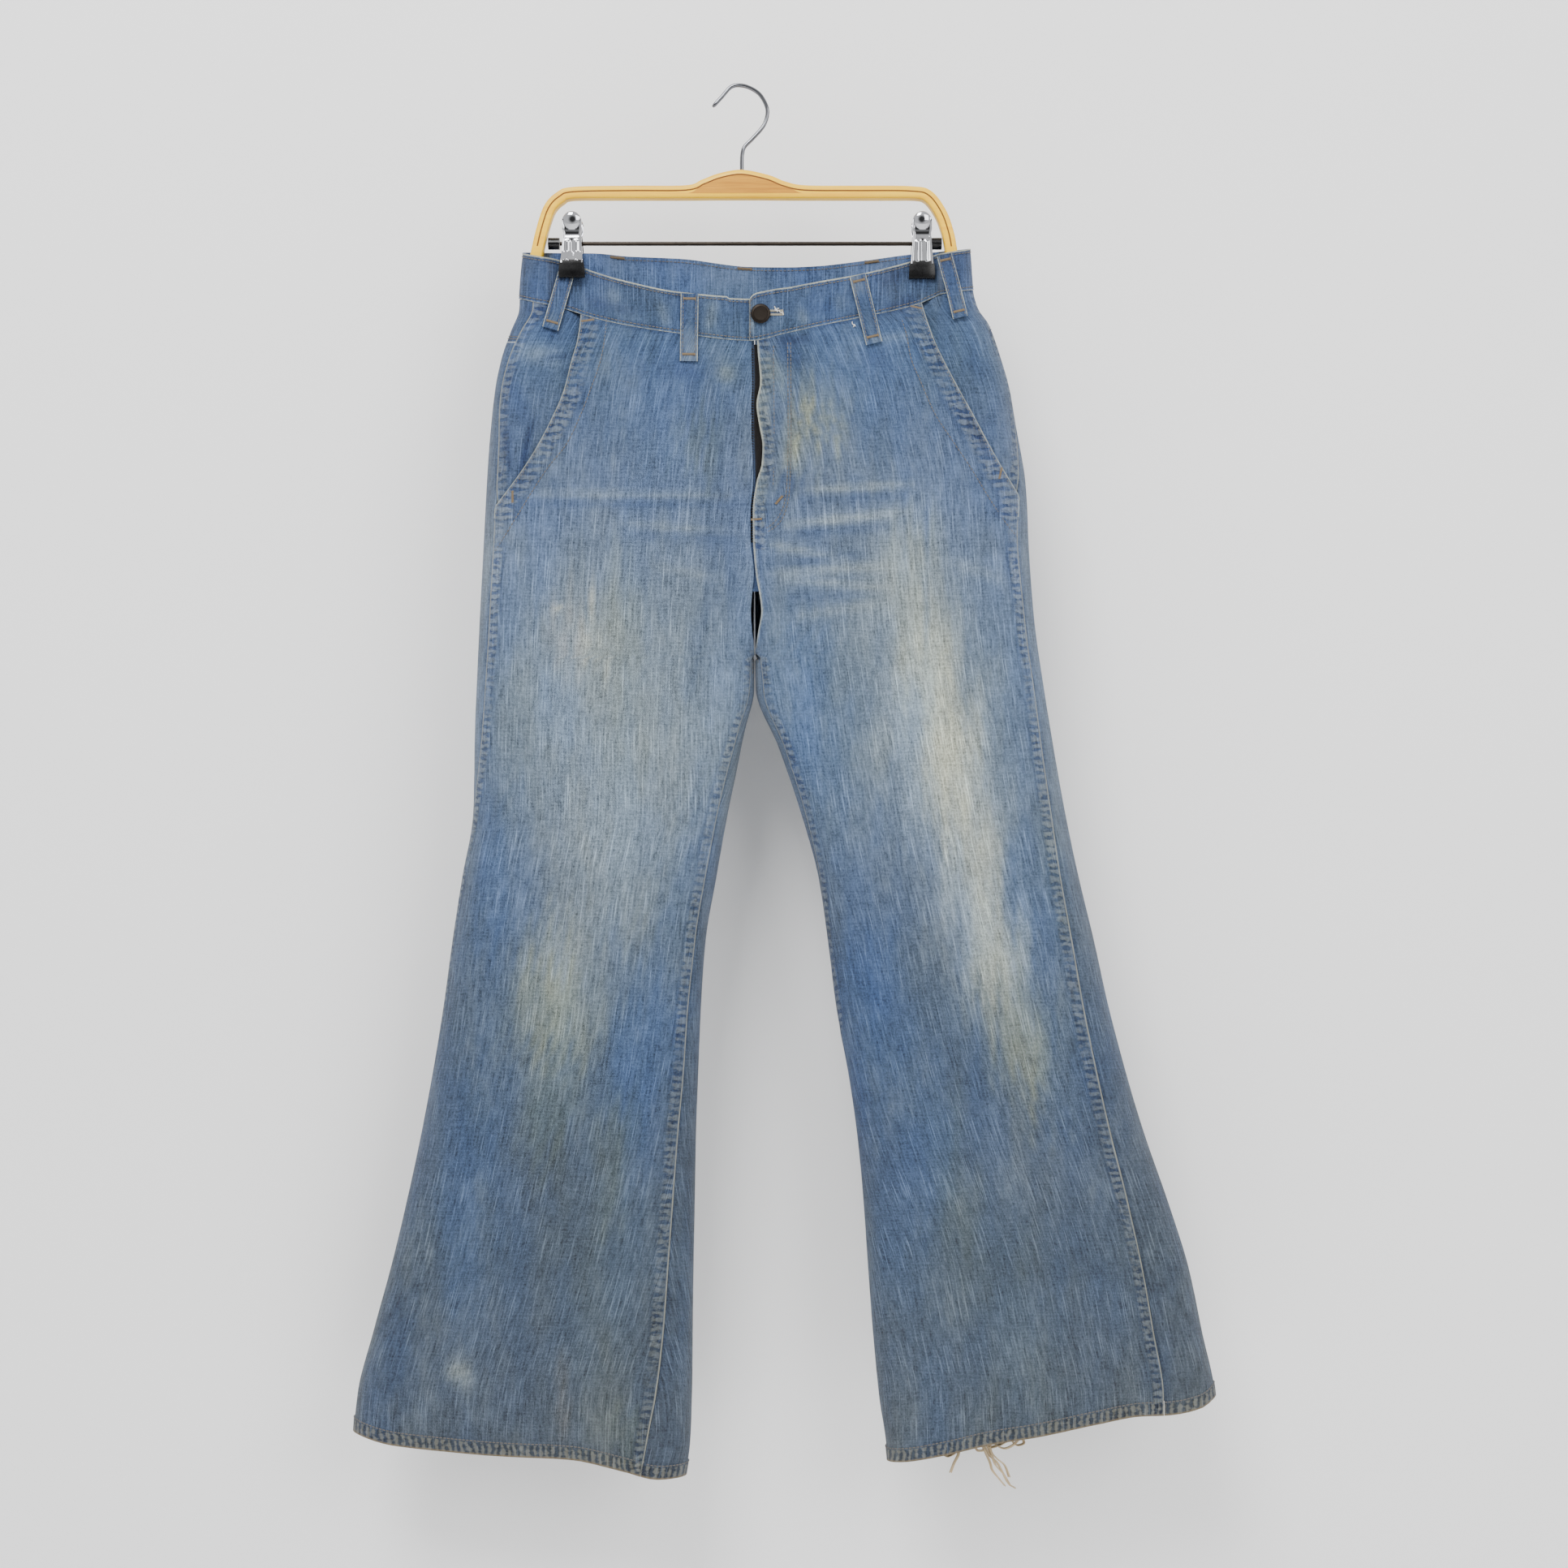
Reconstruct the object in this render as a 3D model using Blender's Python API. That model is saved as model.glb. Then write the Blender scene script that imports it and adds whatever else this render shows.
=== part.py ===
"""Wide-leg jeans on a wooden clip hanger, as closed solids in metres.

The origin is the inside top of the hook. X runs to the wearer's left, Y to the back and Z up.
Tables hold millimetres: a drop is a distance below the hook, and an arc is a distance round the
cloth from a leg's outer fold, positive over the front and negative over the back.
"""

import math

import bmesh
import bpy
import numpy as np
from mathutils import Matrix, Vector

MM = 0.001

# Cloth thickness and gaps
PANEL_WALL = 1.6
BAND_WALL = 2.5
LOOP_WALL = 1.8
POCKET_WALL = 1.5
SEAM_GAP = 0.3
LAP_GAP = 0.35
POCKET_GAP = 0.7
HELD_LOOP_GAP = 0.7
LOOP_SAMPLES = (-2.5, 0.0, 2.5)
BACK_BEND_SHARE = 0.24

# The outlines are those seen from a point this far in front of the middle of the jeans
EYE_DISTANCE = 1800.0
EYE_X = 37.4
EYE_DROP = 617.8

# Waist, crotch and hem
CENTRE_X = 11.3
TURN_DROP = 440.0
CROTCH_DROP = 505.0
HEM_TILT = 0.28
YOKE_SIDE = 38.0
YOKE_CENTRE = 68.0
HALF_WAIST = 190.0

# The band's overlap at the front
TAB_EDGE_X = 6.5
TAB_CORNER = 8.0
UNDERLAP_END_X = 31.0
UNDERLAP_START_X = -12.0
UNDERLAP_SINK = BAND_WALL + LAP_GAP

# Where the band turns round each side
BAND_SIDE = {-1: -178.0, 1: 188.0}

# Where the clips hold the band flat
CLIPS = {-1: (-150.0, 14.0), 1: (159.5, 9.0)}
CLIP_FLAT = 13.4
CLIP_CENTRE_SPREAD = 30.0
CLIP_HOLD_DROP = 173.0
CLIP_FADE = 34.0
HELD_HALF_DEPTH = BAND_WALL / 2 + 0.2
HELD_LOOP_BOW = 1.5

# The slanted pockets
POCKET_UNDERLAP = 13.0
FACING_SINK = PANEL_WALL + 1.3
FACING_RISE = 12.0
FACING_TOP_SINK = 2.5
FACING_TOP_DROP = 238.0
FACING_TOP_FADE = 30.0
FACING_END = {-1: 358.0, 1: 350.0}
FACING_LEAST = 3.0

# Metal, wood and rubber
WIRE_RADIUS = 1.8
WOOD_DEPTH = 12.5
ROD_DROP = 138.6
ROD_RADIUS = 1.8
ROD_END_RADIUS = 5.2
BUTTON_RADIUS = 8.5
BUTTON_HEIGHT = 3.4
BUTTON_PLACE = (16.6, 200.9)
CLIP_PLATE = 1.2
CLIP_WIDTH = 17.6
CLIP_TOP_DROP = 112.3
CLIP_FOOT_DROP = 155.6
RUBBER_FOOT_DROP = 170.6
RUBBER_WIDTH = 23.6


class Table:
    """Rows of sizes under named columns, read between rows along smooth curves that never overshoot."""

    def __init__(self, columns, rows):
        self.columns = columns.split()
        self.values = np.array(rows, float)

    def at(self, column, where):
        """Return a column's value at places along the first column."""
        keys = self.values[:, 0]
        values = self.values[:, self.columns.index(column)]
        steps = np.diff(keys)
        rates = np.diff(values) / steps
        slopes = np.zeros_like(values)
        slopes[0], slopes[-1] = rates[0], rates[-1]
        product = rates[:-1] * rates[1:]
        total = np.where(product > 0, rates[:-1] + rates[1:], 1.0)
        slopes[1:-1] = np.where(product > 0, 2 * product / total, 0.0)
        place = np.clip(np.asarray(where, float), keys[0], keys[-1])
        row = np.clip(np.searchsorted(keys, place, side="right") - 1, 0, len(keys) - 2)
        step = steps[row]
        t = (place - keys[row]) / step
        start = values[row] * (1 + 2 * t) * (1 - t) ** 2 + slopes[row] * step * t * (1 - t) ** 2
        end = values[row + 1] * t * t * (3 - 2 * t) + slopes[row + 1] * step * t * t * (t - 1)
        return start + end


SECTION_COLUMNS = "drop outer inner front back round middle outseam inseam"

RIGHT_SECTIONS = Table(SECTION_COLUMNS, (
    (140, -193.5, 11.3, 13, 13, 22, 0, 11, 0),
    (180, -197.0, 11.3, 14, 14, 23, 0, 11, 0),
    (196, -197.5, 11.3, 15, 16, 24, 0, 11, 0),
    (217, -205.2, 11.3, 18, 19, 25, 0, 8, 0),
    (240, -213.1, 11.3, 20, 22, 26, 0, 6, 0),
    (268, -218.9, 11.3, 22, 25, 28, 0, 5, 0),
    (325, -224.6, 11.3, 25, 28, 30, 0, 8, 0),
    (403, -229.0, 11.3, 28, 31, 33, 0, 8.6, 0),
    (470, -232.5, 11.3, 30, 33, 35, 0, 8.4, 1),
    (533, -235.4, 11.2, 30, 33, 37, 0, 7.5, 4),
    (570, -236.9, 3.0, 30, 32, 38, 1, 6.5, 5.6),
    (613, -237.6, -5.8, 29, 32, 38, 1, 3.0, 8.2),
    (642, -238.3, -11.8, 28, 31, 38, 2, 1.0, 9.0),
    (700, -247.7, -22.2, 27, 30, 38, 3, 0.1, 9.6),
    (757, -256.3, -31.8, 26, 29, 37, 4, 0, 9.2),
    (815, -264.2, -36.0, 25, 28, 36, 5, 0, 11),
    (873, -273.6, -38.4, 24, 27, 36, 6, -1, 12.5),
    (930, -284.4, -40.4, 23, 26, 36, 7, -2, 15.5),
    (988, -297.4, -41.5, 22, 25, 36, 8, -4, 18.5),
    (1045, -311.0, -42.5, 22, 25, 36, 8, -6, 21.6),
    (1103, -326.9, -43.2, 22, 25, 36, 9, -8, 25),
    (1160, -341.3, -43.9, 23, 26, 37, 9, -9, 31),
    (1200, -344.4, -45.5, 23, 27, 38, 9, -10, 37),
    (1240, -344.6, -51.0, 24, 28, 38, 9, -10, 39),
))

LEFT_SECTIONS = Table(SECTION_COLUMNS, (
    (140, 202.3, 11.3, 13, 13, 22, 0, 0.0, 0),
    (180, 205.2, 11.3, 14, 14, 23, 0, 0.0, 0),
    (196, 209.5, 11.3, 15, 16, 24, 0, 0.0, 0),
    (210, 218.9, 11.3, 17, 18, 25, 0, 0.0, 0),
    (240, 229.7, 11.3, 20, 22, 26, 0, 0.0, 0),
    (268, 237.6, 11.3, 22, 25, 28, 0, 0.0, 0),
    (297, 242.6, 11.3, 24, 27, 30, 0, 0.5, 0),
    (354, 252.0, 11.3, 26, 29, 32, 0, 6.0, 0),
    (412, 254.9, 11.3, 28, 31, 34, 0, 9.5, 0),
    (470, 259.2, 11.3, 30, 33, 35, 0, 8.2, 1),
    (533, 268.0, 12.2, 30, 33, 37, 0, 8.6, 6.5),
    (585, 276.5, 32.3, 30, 32, 38, -1, 10.2, 5.2),
    (642, 286.6, 51.7, 29, 32, 38, -2, 12.0, 4.0),
    (700, 298.8, 67.6, 28, 31, 38, -3, 15.5, 1.6),
    (757, 312.5, 76.1, 27, 30, 37, -4, 18.8, 0.4),
    (815, 325.4, 83.4, 26, 29, 36, -5, 21.5, 0.8),
    (873, 340.6, 94.4, 25, 28, 36, -6, 24.8, -2),
    (930, 357.8, 102.2, 24, 27, 36, -7, 29.0, -3.5),
    (988, 378.0, 107.6, 23, 26, 36, -8, 34.5, -5),
    (1045, 396.0, 111.6, 22, 25, 36, -8, 40.0, -6.5),
    (1103, 408.2, 115.9, 22, 25, 36, -9, 42.0, -8),
    (1160, 419.8, 121.3, 22, 26, 37, -9, 44.5, -9),
    (1200, 421.5, 127.5, 23, 27, 38, -9, 46.0, -10),
    (1240, 422.0, 131.0, 24, 28, 38, -9, 46.0, -10),
))

# Each front panel's edge at the centre: the left one is the fly's wavy edge
FRONT_CENTRE = Table("drop right left", (
    (215, 8.6, 12.6), (234, 9.0, 13.7), (261, 9.4, 15.8), (281, 8.8, 12.6), (300, 8.8, 15.1),
    (318, 9.4, 18.0), (333, 10.0, 17.3), (350, 10.4, 12.6), (376, 8.0, 9.4), (399, 8.0, 9.6),
    (431, 11.0, 12.0), (450, 9.4, 15.2), (464, 8.6, 16.6), (482, 9.8, 14.0), (498, 11.3, 11.9),
    (505, 11.3, 11.3),
))

# How far the middle of the front and back stands out past the plain section
BOW = Table("drop front back", (
    (140, 15, 4), (190, 15, 5), (240, 10, 7), (330, 5, 8), (410, 3, 5), (475, 0, 0), (1240, 0, 0),
))

# Drops of the band's edges across the waist
WAIST = Table("x front_top front_seam back_top back_seam", (
    (-196, 146.8, 187.7, 146.2, 187.7), (-157, 154.1, 196.6, 146.9, 187.4),
    (-134, 162.2, 203.8, 147.0, 187.6), (-102, 171.7, 211.0, 149.8, 189.8),
    (-55, 181.2, 218.2, 151.9, 192.0), (8, 185.8, 224.6, 159.1, 199.0),
    (38, 178.0, 218.2, 159.5, 199.2), (67, 172.2, 211.7, 158.4, 197.4),
    (106, 165.2, 203.8, 154.0, 192.6), (154, 153.2, 193.0, 147.6, 185.6),
    (180, 146.6, 182.9, 145.4, 181.6), (206, 142.4, 179.3, 142.6, 179.3),
))

# The bottom edge of each leg's front
HEMS = {
    -1: Table("x drop", (
        (-345, 1199.5), (-310, 1207.4), (-263, 1212.5), (-195, 1216.8), (-149, 1220.4),
        (-103, 1231.9), (-73, 1238.4), (-50, 1238.8),
    )),
    1: Table("x drop", (
        (130, 1221.1), (173, 1213.2), (220, 1201.7), (263, 1193.8), (315, 1183.7), (355, 1176.5),
        (375, 1175.8), (407, 1170.7), (420, 1162.8),
    )),
}

# The free edge of each slanted pocket
POCKET = Table("drop right left", (
    (185, -142.4, 158.0), (205, -143.5, 164.2), (224, -146.2, 171.0), (242, -151.4, 179.5),
    (269, -158.4, 193.8), (291, -167.8, 206.1), (316, -180.7, 219.2), (336, -193.0, 230.0),
    (363, -211.7, 245.5), (385, -228.0, 258.0),
))

# Long soft folds: height is outward, from the upper point to the lower one
FOLDS = Table("side face x_top drop_top x_end drop_end width height", (
    (-1, 1, -4, 440, -30, 565, 13, -7),
    (-1, 1, -26, 470, -62, 690, 22, 5),
    (-1, 1, -205, 380, -150, 720, 34, 4),
    (-1, 1, -150, 900, -215, 1225, 40, 6),
    (-1, 1, -90, 960, -105, 1230, 20, -4),
    (-1, -1, -60, 475, -90, 660, 30, -6),
    (-1, -1, -170, 700, -220, 1230, 34, -7),
    (-1, -1, -85, 860, -110, 1230, 30, 7),
    (1, 1, 40, 450, 92, 640, 26, -4),
    (1, 1, 170, 420, 235, 900, 42, 5),
    (1, 1, 210, 930, 262, 1200, 36, 6),
    (1, 1, 150, 1000, 165, 1215, 20, -4),
    (1, -1, 80, 475, 130, 680, 30, -6),
    (1, -1, 270, 700, 330, 1180, 36, -7),
    (1, -1, 170, 880, 205, 1210, 30, 7),
))

# Drops that the rows of neighbouring panels share along their seams
LEVELS = (
    245, 268, 291, 314, 337, 360, 384, 408, 430, 450, 466, 480, 490, 498, 505, 513, 545, 585, 630,
    675, 720, 765, 810, 855, 900, 945, 990, 1035, 1080, 1120, 1160, 1200,
)
TOP_FADE_DROP = 330.0
HEM_FADE_DROP = 945.0
YOKE_STEPS = 3

# Each loop's upper and lower end, its width and its least gap from the cloth
LOOPS = Table("face x_top drop_top x_end drop_end width gap", (
    (1, -153.1, 155.4, -169.9, 213.8, 14.0, 0.7),
    (1, -46.1, 182.6, -47.0, 242.6, 15.6, 0.35),
    (1, 102.6, 166.6, 117.4, 226.8, 14.2, 0.35),
    (1, 180.4, 148.4, 193.7, 203.8, 13.0, 0.7),
    (-1, -110.9, 150.0, -112.0, 208.0, 14.5, 0.35),
    (-1, 2.0, 159.5, 2.0, 218.0, 14.5, 0.35),
    (-1, 115.9, 153.2, 117.0, 211.0, 14.5, 0.35),
))
LOOP_NAMES = (
    "belt_loop_front_right_outer", "belt_loop_front_right_inner", "belt_loop_front_left_inner",
    "belt_loop_front_left_outer", "belt_loop_back_right", "belt_loop_back_centre",
    "belt_loop_back_left",
)

BACK_POCKETS = Table("side x drop width height point", (
    (-1, -92, 272, 142, 150, 18),
    (1, 116, 272, 142, 150, 18),
))

# The hook's wire and the wooden frame's outer edge, as X and drop
HOOK_PATH = (
    (-25.9, 17.3), (-18.0, 8.6), (-9.4, -0.6), (0.0, -1.8), (9.4, 1.4), (16.8, 7.2), (22.0, 17.0),
    (22.4, 25.0), (18.8, 34.6), (9.4, 45.4), (2.4, 52.6), (0.4, 59.0), (0.0, 66.0), (0.0, 73.4),
)
FRAME_EDGE = (
    (-187.5, 150.0), (-182.2, 126.7), (-175.0, 105.8), (-164.2, 94.3), (-149.8, 89.3),
    (-100.0, 88.2), (-49.7, 87.8), (-35.3, 82.8), (-20.2, 77.0), (0.0, 73.8), (23.8, 78.5),
    (38.2, 84.2), (56.2, 87.8), (100.0, 88.2), (149.8, 88.6), (167.8, 92.9), (180.7, 109.4),
    (188.0, 129.6), (191.5, 149.0),
)
FRAME_INSIDE_DROP = 99.4
FRAME_LEG = 10.8
INSERT = (-41.0, 47.5, 80.4, 95.4)

COLOURS = {
    "denim_front": ((0.16, 0.25, 0.38, 1), 0.9, 0.0),
    "denim_back": ((0.13, 0.21, 0.34, 1), 0.9, 0.0),
    "denim_band": ((0.12, 0.20, 0.34, 1), 0.9, 0.0),
    "denim_loop": ((0.20, 0.27, 0.36, 1), 0.9, 0.0),
    "denim_inside": ((0.22, 0.28, 0.34, 1), 0.9, 0.0),
    "antique_metal": ((0.05, 0.045, 0.04, 1), 0.45, 0.9),
    "chrome": ((0.75, 0.76, 0.78, 1), 0.12, 1.0),
    "pale_wood": ((0.83, 0.62, 0.30, 1), 0.45, 0.0),
    "dark_wood": ((0.45, 0.27, 0.10, 1), 0.5, 0.0),
    "dark_steel": ((0.03, 0.028, 0.025, 1), 0.35, 0.8),
    "black_rubber": ((0.008, 0.008, 0.009, 1), 0.4, 0.0),
}


def ease(share):
    """Return a smooth step from 0 to 1."""
    t = np.clip(share, 0.0, 1.0)
    return t * t * (3 - 2 * t)


def quarter(round_width, depth):
    """Return about a quarter of an ellipse's length."""
    return math.pi / 2 * np.sqrt((round_width**2 + depth**2) / 2)


class Half:
    """One leg and its half of the hip, as a flattened tube that opens at the centre above the crotch."""

    def __init__(self, side, sections):
        self.side = side
        self.sections = sections
        self.name = "left" if side > 0 else "right"
        drops = sections.values[:, 0]
        rows = []
        for drop in drops:
            out = self.arc_of_offset(float(sections.at("outseam", drop)), drop)
            inn = self.arc_of_inner_offset(float(sections.at("inseam", drop)), drop)
            rows.append((drop, out, inn))
        self.seams = Table("drop outseam inseam", rows)

    def shape(self, drop, front):
        """Return the section's sizes at drops, for the front or the back face."""
        at = self.sections.at
        wall = PANEL_WALL / 2
        outer = at("outer", drop) - self.side * wall
        turn = 2 / math.pi * np.arcsin(np.clip((drop - TURN_DROP) / (CROTCH_DROP - TURN_DROP), 0, 1))
        gap = 0.2 + wall * np.sin(turn * math.pi / 2)
        inner = at("inner", drop)
        edge = FRONT_CENTRE.at(self.name, drop)
        inner = np.where(front & (drop < CROTCH_DROP), edge, inner) + self.side * gap
        depth = np.where(front, at("front", drop), at("back", drop))
        bend = at("round", drop)
        width = np.abs(inner - outer)
        outer_arc = quarter(bend, depth)
        inner_arc = bend + turn * (quarter(bend, depth) - bend)
        middle_arc = width - 2 * bend
        return outer, depth, bend, width, outer_arc, middle_arc, inner_arc, turn

    def length(self, drop, front):
        """Return the arc from the outer fold to the inner end."""
        shape = self.shape(np.asarray(drop, float), np.asarray(front))
        return shape[4] + shape[5] + shape[6]

    def arc_of_offset(self, offset, drop):
        """Return the arc at a distance across from the outer fold: behind it if negative."""
        front = offset >= 0
        shape = self.shape(np.asarray(drop, float), np.asarray(front))
        bend, outer_arc = shape[2], shape[4]
        reach = abs(offset)
        angle = np.arccos(np.clip(1 - reach / bend, 0, 1))
        arc = np.where(reach < bend, outer_arc * angle / (math.pi / 2), outer_arc + reach - bend)
        return float(arc) if front else -float(arc)

    def arc_of_inner_offset(self, offset, drop):
        """Return the arc back from the leg's inner fold, at a distance across from it."""
        shape = self.shape(np.asarray(max(drop, CROTCH_DROP), float), np.asarray(offset >= 0))
        bend, inner_arc = shape[2], shape[6]
        reach = abs(offset)
        angle = np.arccos(np.clip(1 - reach / bend, 0, 1))
        arc = np.where(reach < bend, inner_arc * angle / (math.pi / 2), inner_arc + reach - bend)
        return float(arc) if offset >= 0 else -float(arc)

    def front_arc(self, x, drop):
        """Return the front face's arcs at places across."""
        drop = np.asarray(drop, float)
        outer, _, bend, _, outer_arc, _, _, _ = self.shape(drop, np.ones(drop.shape, bool))
        reach = np.maximum(-self.side * (x - outer), 0)
        angle = np.arccos(np.clip(1 - reach / bend, 0, 1))
        return np.where(reach < bend, outer_arc * angle / (math.pi / 2), outer_arc + reach - bend)

    def back_arc(self, x, drop):
        """Return the back face's arcs at places across."""
        drop = np.asarray(drop, float)
        outer, _, bend, _, outer_arc, _, _, _ = self.shape(drop, np.zeros(drop.shape, bool))
        reach = np.maximum(-self.side * (x - outer), 0)
        angle = np.arccos(np.clip(1 - reach / bend, 0, 1))
        return -np.where(reach < bend, outer_arc * angle / (math.pi / 2), outer_arc + reach - bend)

    def outseam(self, drop):
        """Return the arc of the seam down the outside."""
        return self.seams.at("outseam", drop)

    def front_inner(self, drop):
        """Return the front panel's inner end: the centre edge, then the inseam."""
        whole = self.length(drop, np.ones(np.shape(drop), bool))
        return whole - np.where(drop > CROTCH_DROP, self.seams.at("inseam", drop), 0)

    def back_inner(self, drop):
        """Return the back panel's inner end: the centre edge, then the inseam."""
        whole = self.length(drop, np.zeros(np.shape(drop), bool))
        return -whole - np.where(drop > CROTCH_DROP, self.seams.at("inseam", drop), 0)

    def surface(self, arc, drop):
        """Return points on the middle of the cloth at arcs and drops."""
        arc, drop = np.broadcast_arrays(np.asarray(arc, float), np.asarray(drop, float))
        closed = drop >= CROTCH_DROP
        front_length = self.length(drop, np.ones(drop.shape, bool))
        back_length = self.length(drop, np.zeros(drop.shape, bool))
        past_front = closed & (arc > front_length)
        past_back = closed & (arc < -back_length)
        arc = np.where(past_front, arc - front_length - back_length, arc)
        arc = np.where(past_back, arc + front_length + back_length, arc)
        front = arc >= 0
        face = np.where(front, 1.0, -1.0)
        reach = np.abs(arc)
        outer, depth, bend, width, outer_arc, middle_arc, inner_arc, turn = self.shape(drop, front)
        angle = np.clip(reach / outer_arc, 0, 1) * math.pi / 2
        share = (reach - outer_arc - middle_arc) / inner_arc
        lean = np.maximum(turn, 1e-4) * math.pi / 2
        swing = np.clip(share, 0, 1) * lean
        flat = bend + np.clip(reach - outer_arc, 0, middle_arc)
        inner_run = np.where(share > 1, share, np.sin(swing) / np.sin(lean)) * bend
        across = np.where(reach < outer_arc, bend * (1 - np.cos(angle)),
                          np.where(share < 0, flat, width - bend + inner_run))
        full = np.where(reach < outer_arc, np.sin(angle), np.where(share < 0, 1.0, np.cos(swing)))
        x = outer - self.side * across
        out = depth * full + self.relief(x, drop, face) * full**2
        hold = clip_hold(x, drop)
        out = out * (1 - hold) + HELD_HALF_DEPTH * hold
        y = self.sections.at("middle", drop) - face * out
        return np.stack((x, y, -drop), axis=-1)

    def relief(self, x, drop, face):
        """Return the bow of the hip and the folds, outward."""
        out = np.where(face > 0, BOW.at("front", drop), BOW.at("back", drop))
        spread = np.clip((x - 8.0) / 148.0, -1, 1)
        total = out * np.cos(spread * math.pi / 2) ** 2
        for fold in FOLDS.values:
            side, fold_face, x_top, drop_top, x_end, drop_end, width, height = fold
            if side != self.side:
                continue
            along = (drop - drop_top) / (drop_end - drop_top)
            middle = x_top + (x_end - x_top) * along
            ends = ease(along * 4 + 0.4) * ease((1.15 - along) * 4)
            ridge = height * np.exp(-(((x - middle) / width) ** 2)) * ends
            total = total + np.where(face == fold_face, ridge, 0)
        return total

    def normal(self, arc, drop):
        """Return the level outward direction of the cloth."""
        step = 0.5
        across = self.surface(arc + step, drop) - self.surface(arc - step, drop)
        down = self.surface(arc, drop + step) - self.surface(arc, drop - step)
        cross = np.cross(across, down) * self.side
        cross[..., 2] = 0
        return cross / np.linalg.norm(cross, axis=-1, keepdims=True)


def clip_hold(x, drop):
    """Return how far the clips press the two layers together."""
    fade = ease(1 - (drop - CLIP_HOLD_DROP) / CLIP_FADE)
    total = 0.0
    for place, side_spread in CLIPS.values():
        away = np.abs(x - place) - CLIP_FLAT
        spread = np.where((x - place) * place > 0, side_spread, CLIP_CENTRE_SPREAD)
        total = total + ease(1 - away / spread)
    return np.clip(total * fade, 0, 1)


def to_depth(points):
    """Bring points from the outline's plane to their own depth, along their lines of sight."""
    scale = 1 + points[..., 1] / EYE_DISTANCE
    x = EYE_X + (points[..., 0] - EYE_X) * scale
    z = -EYE_DROP + (points[..., 2] + EYE_DROP) * scale
    return np.stack((x, points[..., 1], z), axis=-1)


def waist_drop(column, arc, x):
    """Return the drop of the band's top or bottom edge, blended over the side folds."""
    front = ease((arc + 10) / 20)
    return WAIST.at(f"front_{column}", x) * front + WAIST.at(f"back_{column}", x) * (1 - front)


def hem_drop(half, arc, drop):
    """Return the drop of the hem at an arc."""
    points = half.surface(arc, drop)
    front_depth = half.sections.at("front", drop)
    return HEMS[half.side].at("drop", points[..., 0]) - HEM_TILT * (points[..., 1] + front_depth)


def yoke_drop(half, arc, x):
    """Return the drop of the yoke's lower seam."""
    inward = np.clip(1 - np.abs(x - CENTRE_X) / HALF_WAIST, 0, 1)
    return waist_drop("seam", arc, x) + YOKE_SIDE + (YOKE_CENTRE - YOKE_SIDE) * inward


def settle(arc_at, edge_at, columns, guess):
    """Return the drops where a piece's columns meet its top or bottom edge."""
    drop = np.full(np.shape(columns), guess)
    for _ in range(12):
        drop = edge_at(arc_at(columns, drop), drop)
    return drop


def grid(half, arc_at, top_at, end_at, levels, column_shares, lift=None):
    """Return middle points and outward directions over a piece, row by row from its top edge.

    The first and last levels are the edges' drops at the first column. Rows between them follow
    the top edge's slope near the top and the hem's near the hem.
    """
    columns = np.asarray(column_shares, float)
    top = settle(arc_at, top_at, columns, levels[0])
    end = settle(arc_at, end_at, columns, levels[-1])
    drops = np.array([top[0]] + list(levels[1:-1]) + [end[0]])
    fade_top = min(TOP_FADE_DROP, drops[-1])
    follow_top = np.clip((fade_top - drops) / (fade_top - drops[0]), 0, 1)
    fade_end = min(HEM_FADE_DROP, fade_top)
    if drops[-1] > HEM_FADE_DROP:
        fade_end = HEM_FADE_DROP
    follow_end = np.clip((drops - fade_end) / (drops[-1] - fade_end + 1e-9), 0, 1)
    if drops[-1] <= HEM_FADE_DROP:
        follow_end = 1 - follow_top
    drop = drops[:, None] + (top - top[0]) * follow_top[:, None]
    drop = drop + (end - end[0]) * follow_end[:, None]
    arc = arc_at(np.broadcast_to(columns, drop.shape), drop)
    middle = half.surface(arc, drop)
    normal = half.normal(arc, drop)
    if lift is not None:
        middle = middle + normal * np.asarray(lift(arc, drop))[..., None]
    return middle, normal


def skin(middle, normal, wall):
    """Return the outer and inner points of a cloth wall at its own depth, in metres."""
    outer = to_depth(middle + normal * wall / 2)
    inner = to_depth(middle - normal * wall / 2)
    return outer * MM, inner * MM


def grid_solid(name, outer, inner, finish):
    """Make one closed solid between two grids of points."""
    rows, columns = outer.shape[:2]
    points = np.concatenate((outer.reshape(-1, 3), inner.reshape(-1, 3)))
    count = rows * columns
    faces = []
    for r in range(rows - 1):
        for c in range(columns - 1):
            a = r * columns + c
            quad = (a, a + 1, a + columns + 1, a + columns)
            faces.append(quad)
            faces.append(tuple(count + i for i in reversed(quad)))
    rim = [c for c in range(columns)]
    rim += [r * columns + columns - 1 for r in range(1, rows)]
    rim += [(rows - 1) * columns + c for c in range(columns - 2, -1, -1)]
    rim += [r * columns for r in range(rows - 2, 0, -1)]
    for here, there in zip(rim, rim[1:] + rim[:1]):
        faces.append((there, here, count + here, count + there))
    return mesh_object(name, points, faces, finish)


def mesh_object(name, points, faces, finish):
    """Make an object from points in metres and faces, with its faces turned outward."""
    mesh = bpy.data.meshes.new(name)
    mesh.from_pydata([tuple(p) for p in points], [], faces)
    shaped = bmesh.new()
    shaped.from_mesh(mesh)
    bmesh.ops.triangulate(shaped, faces=shaped.faces)
    bmesh.ops.recalc_face_normals(shaped, faces=shaped.faces)
    if shaped.calc_volume(signed=True) < 0:
        bmesh.ops.reverse_faces(shaped, faces=shaped.faces)
    shaped.to_mesh(mesh)
    shaped.free()
    return add_object(name, mesh, finish)


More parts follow.
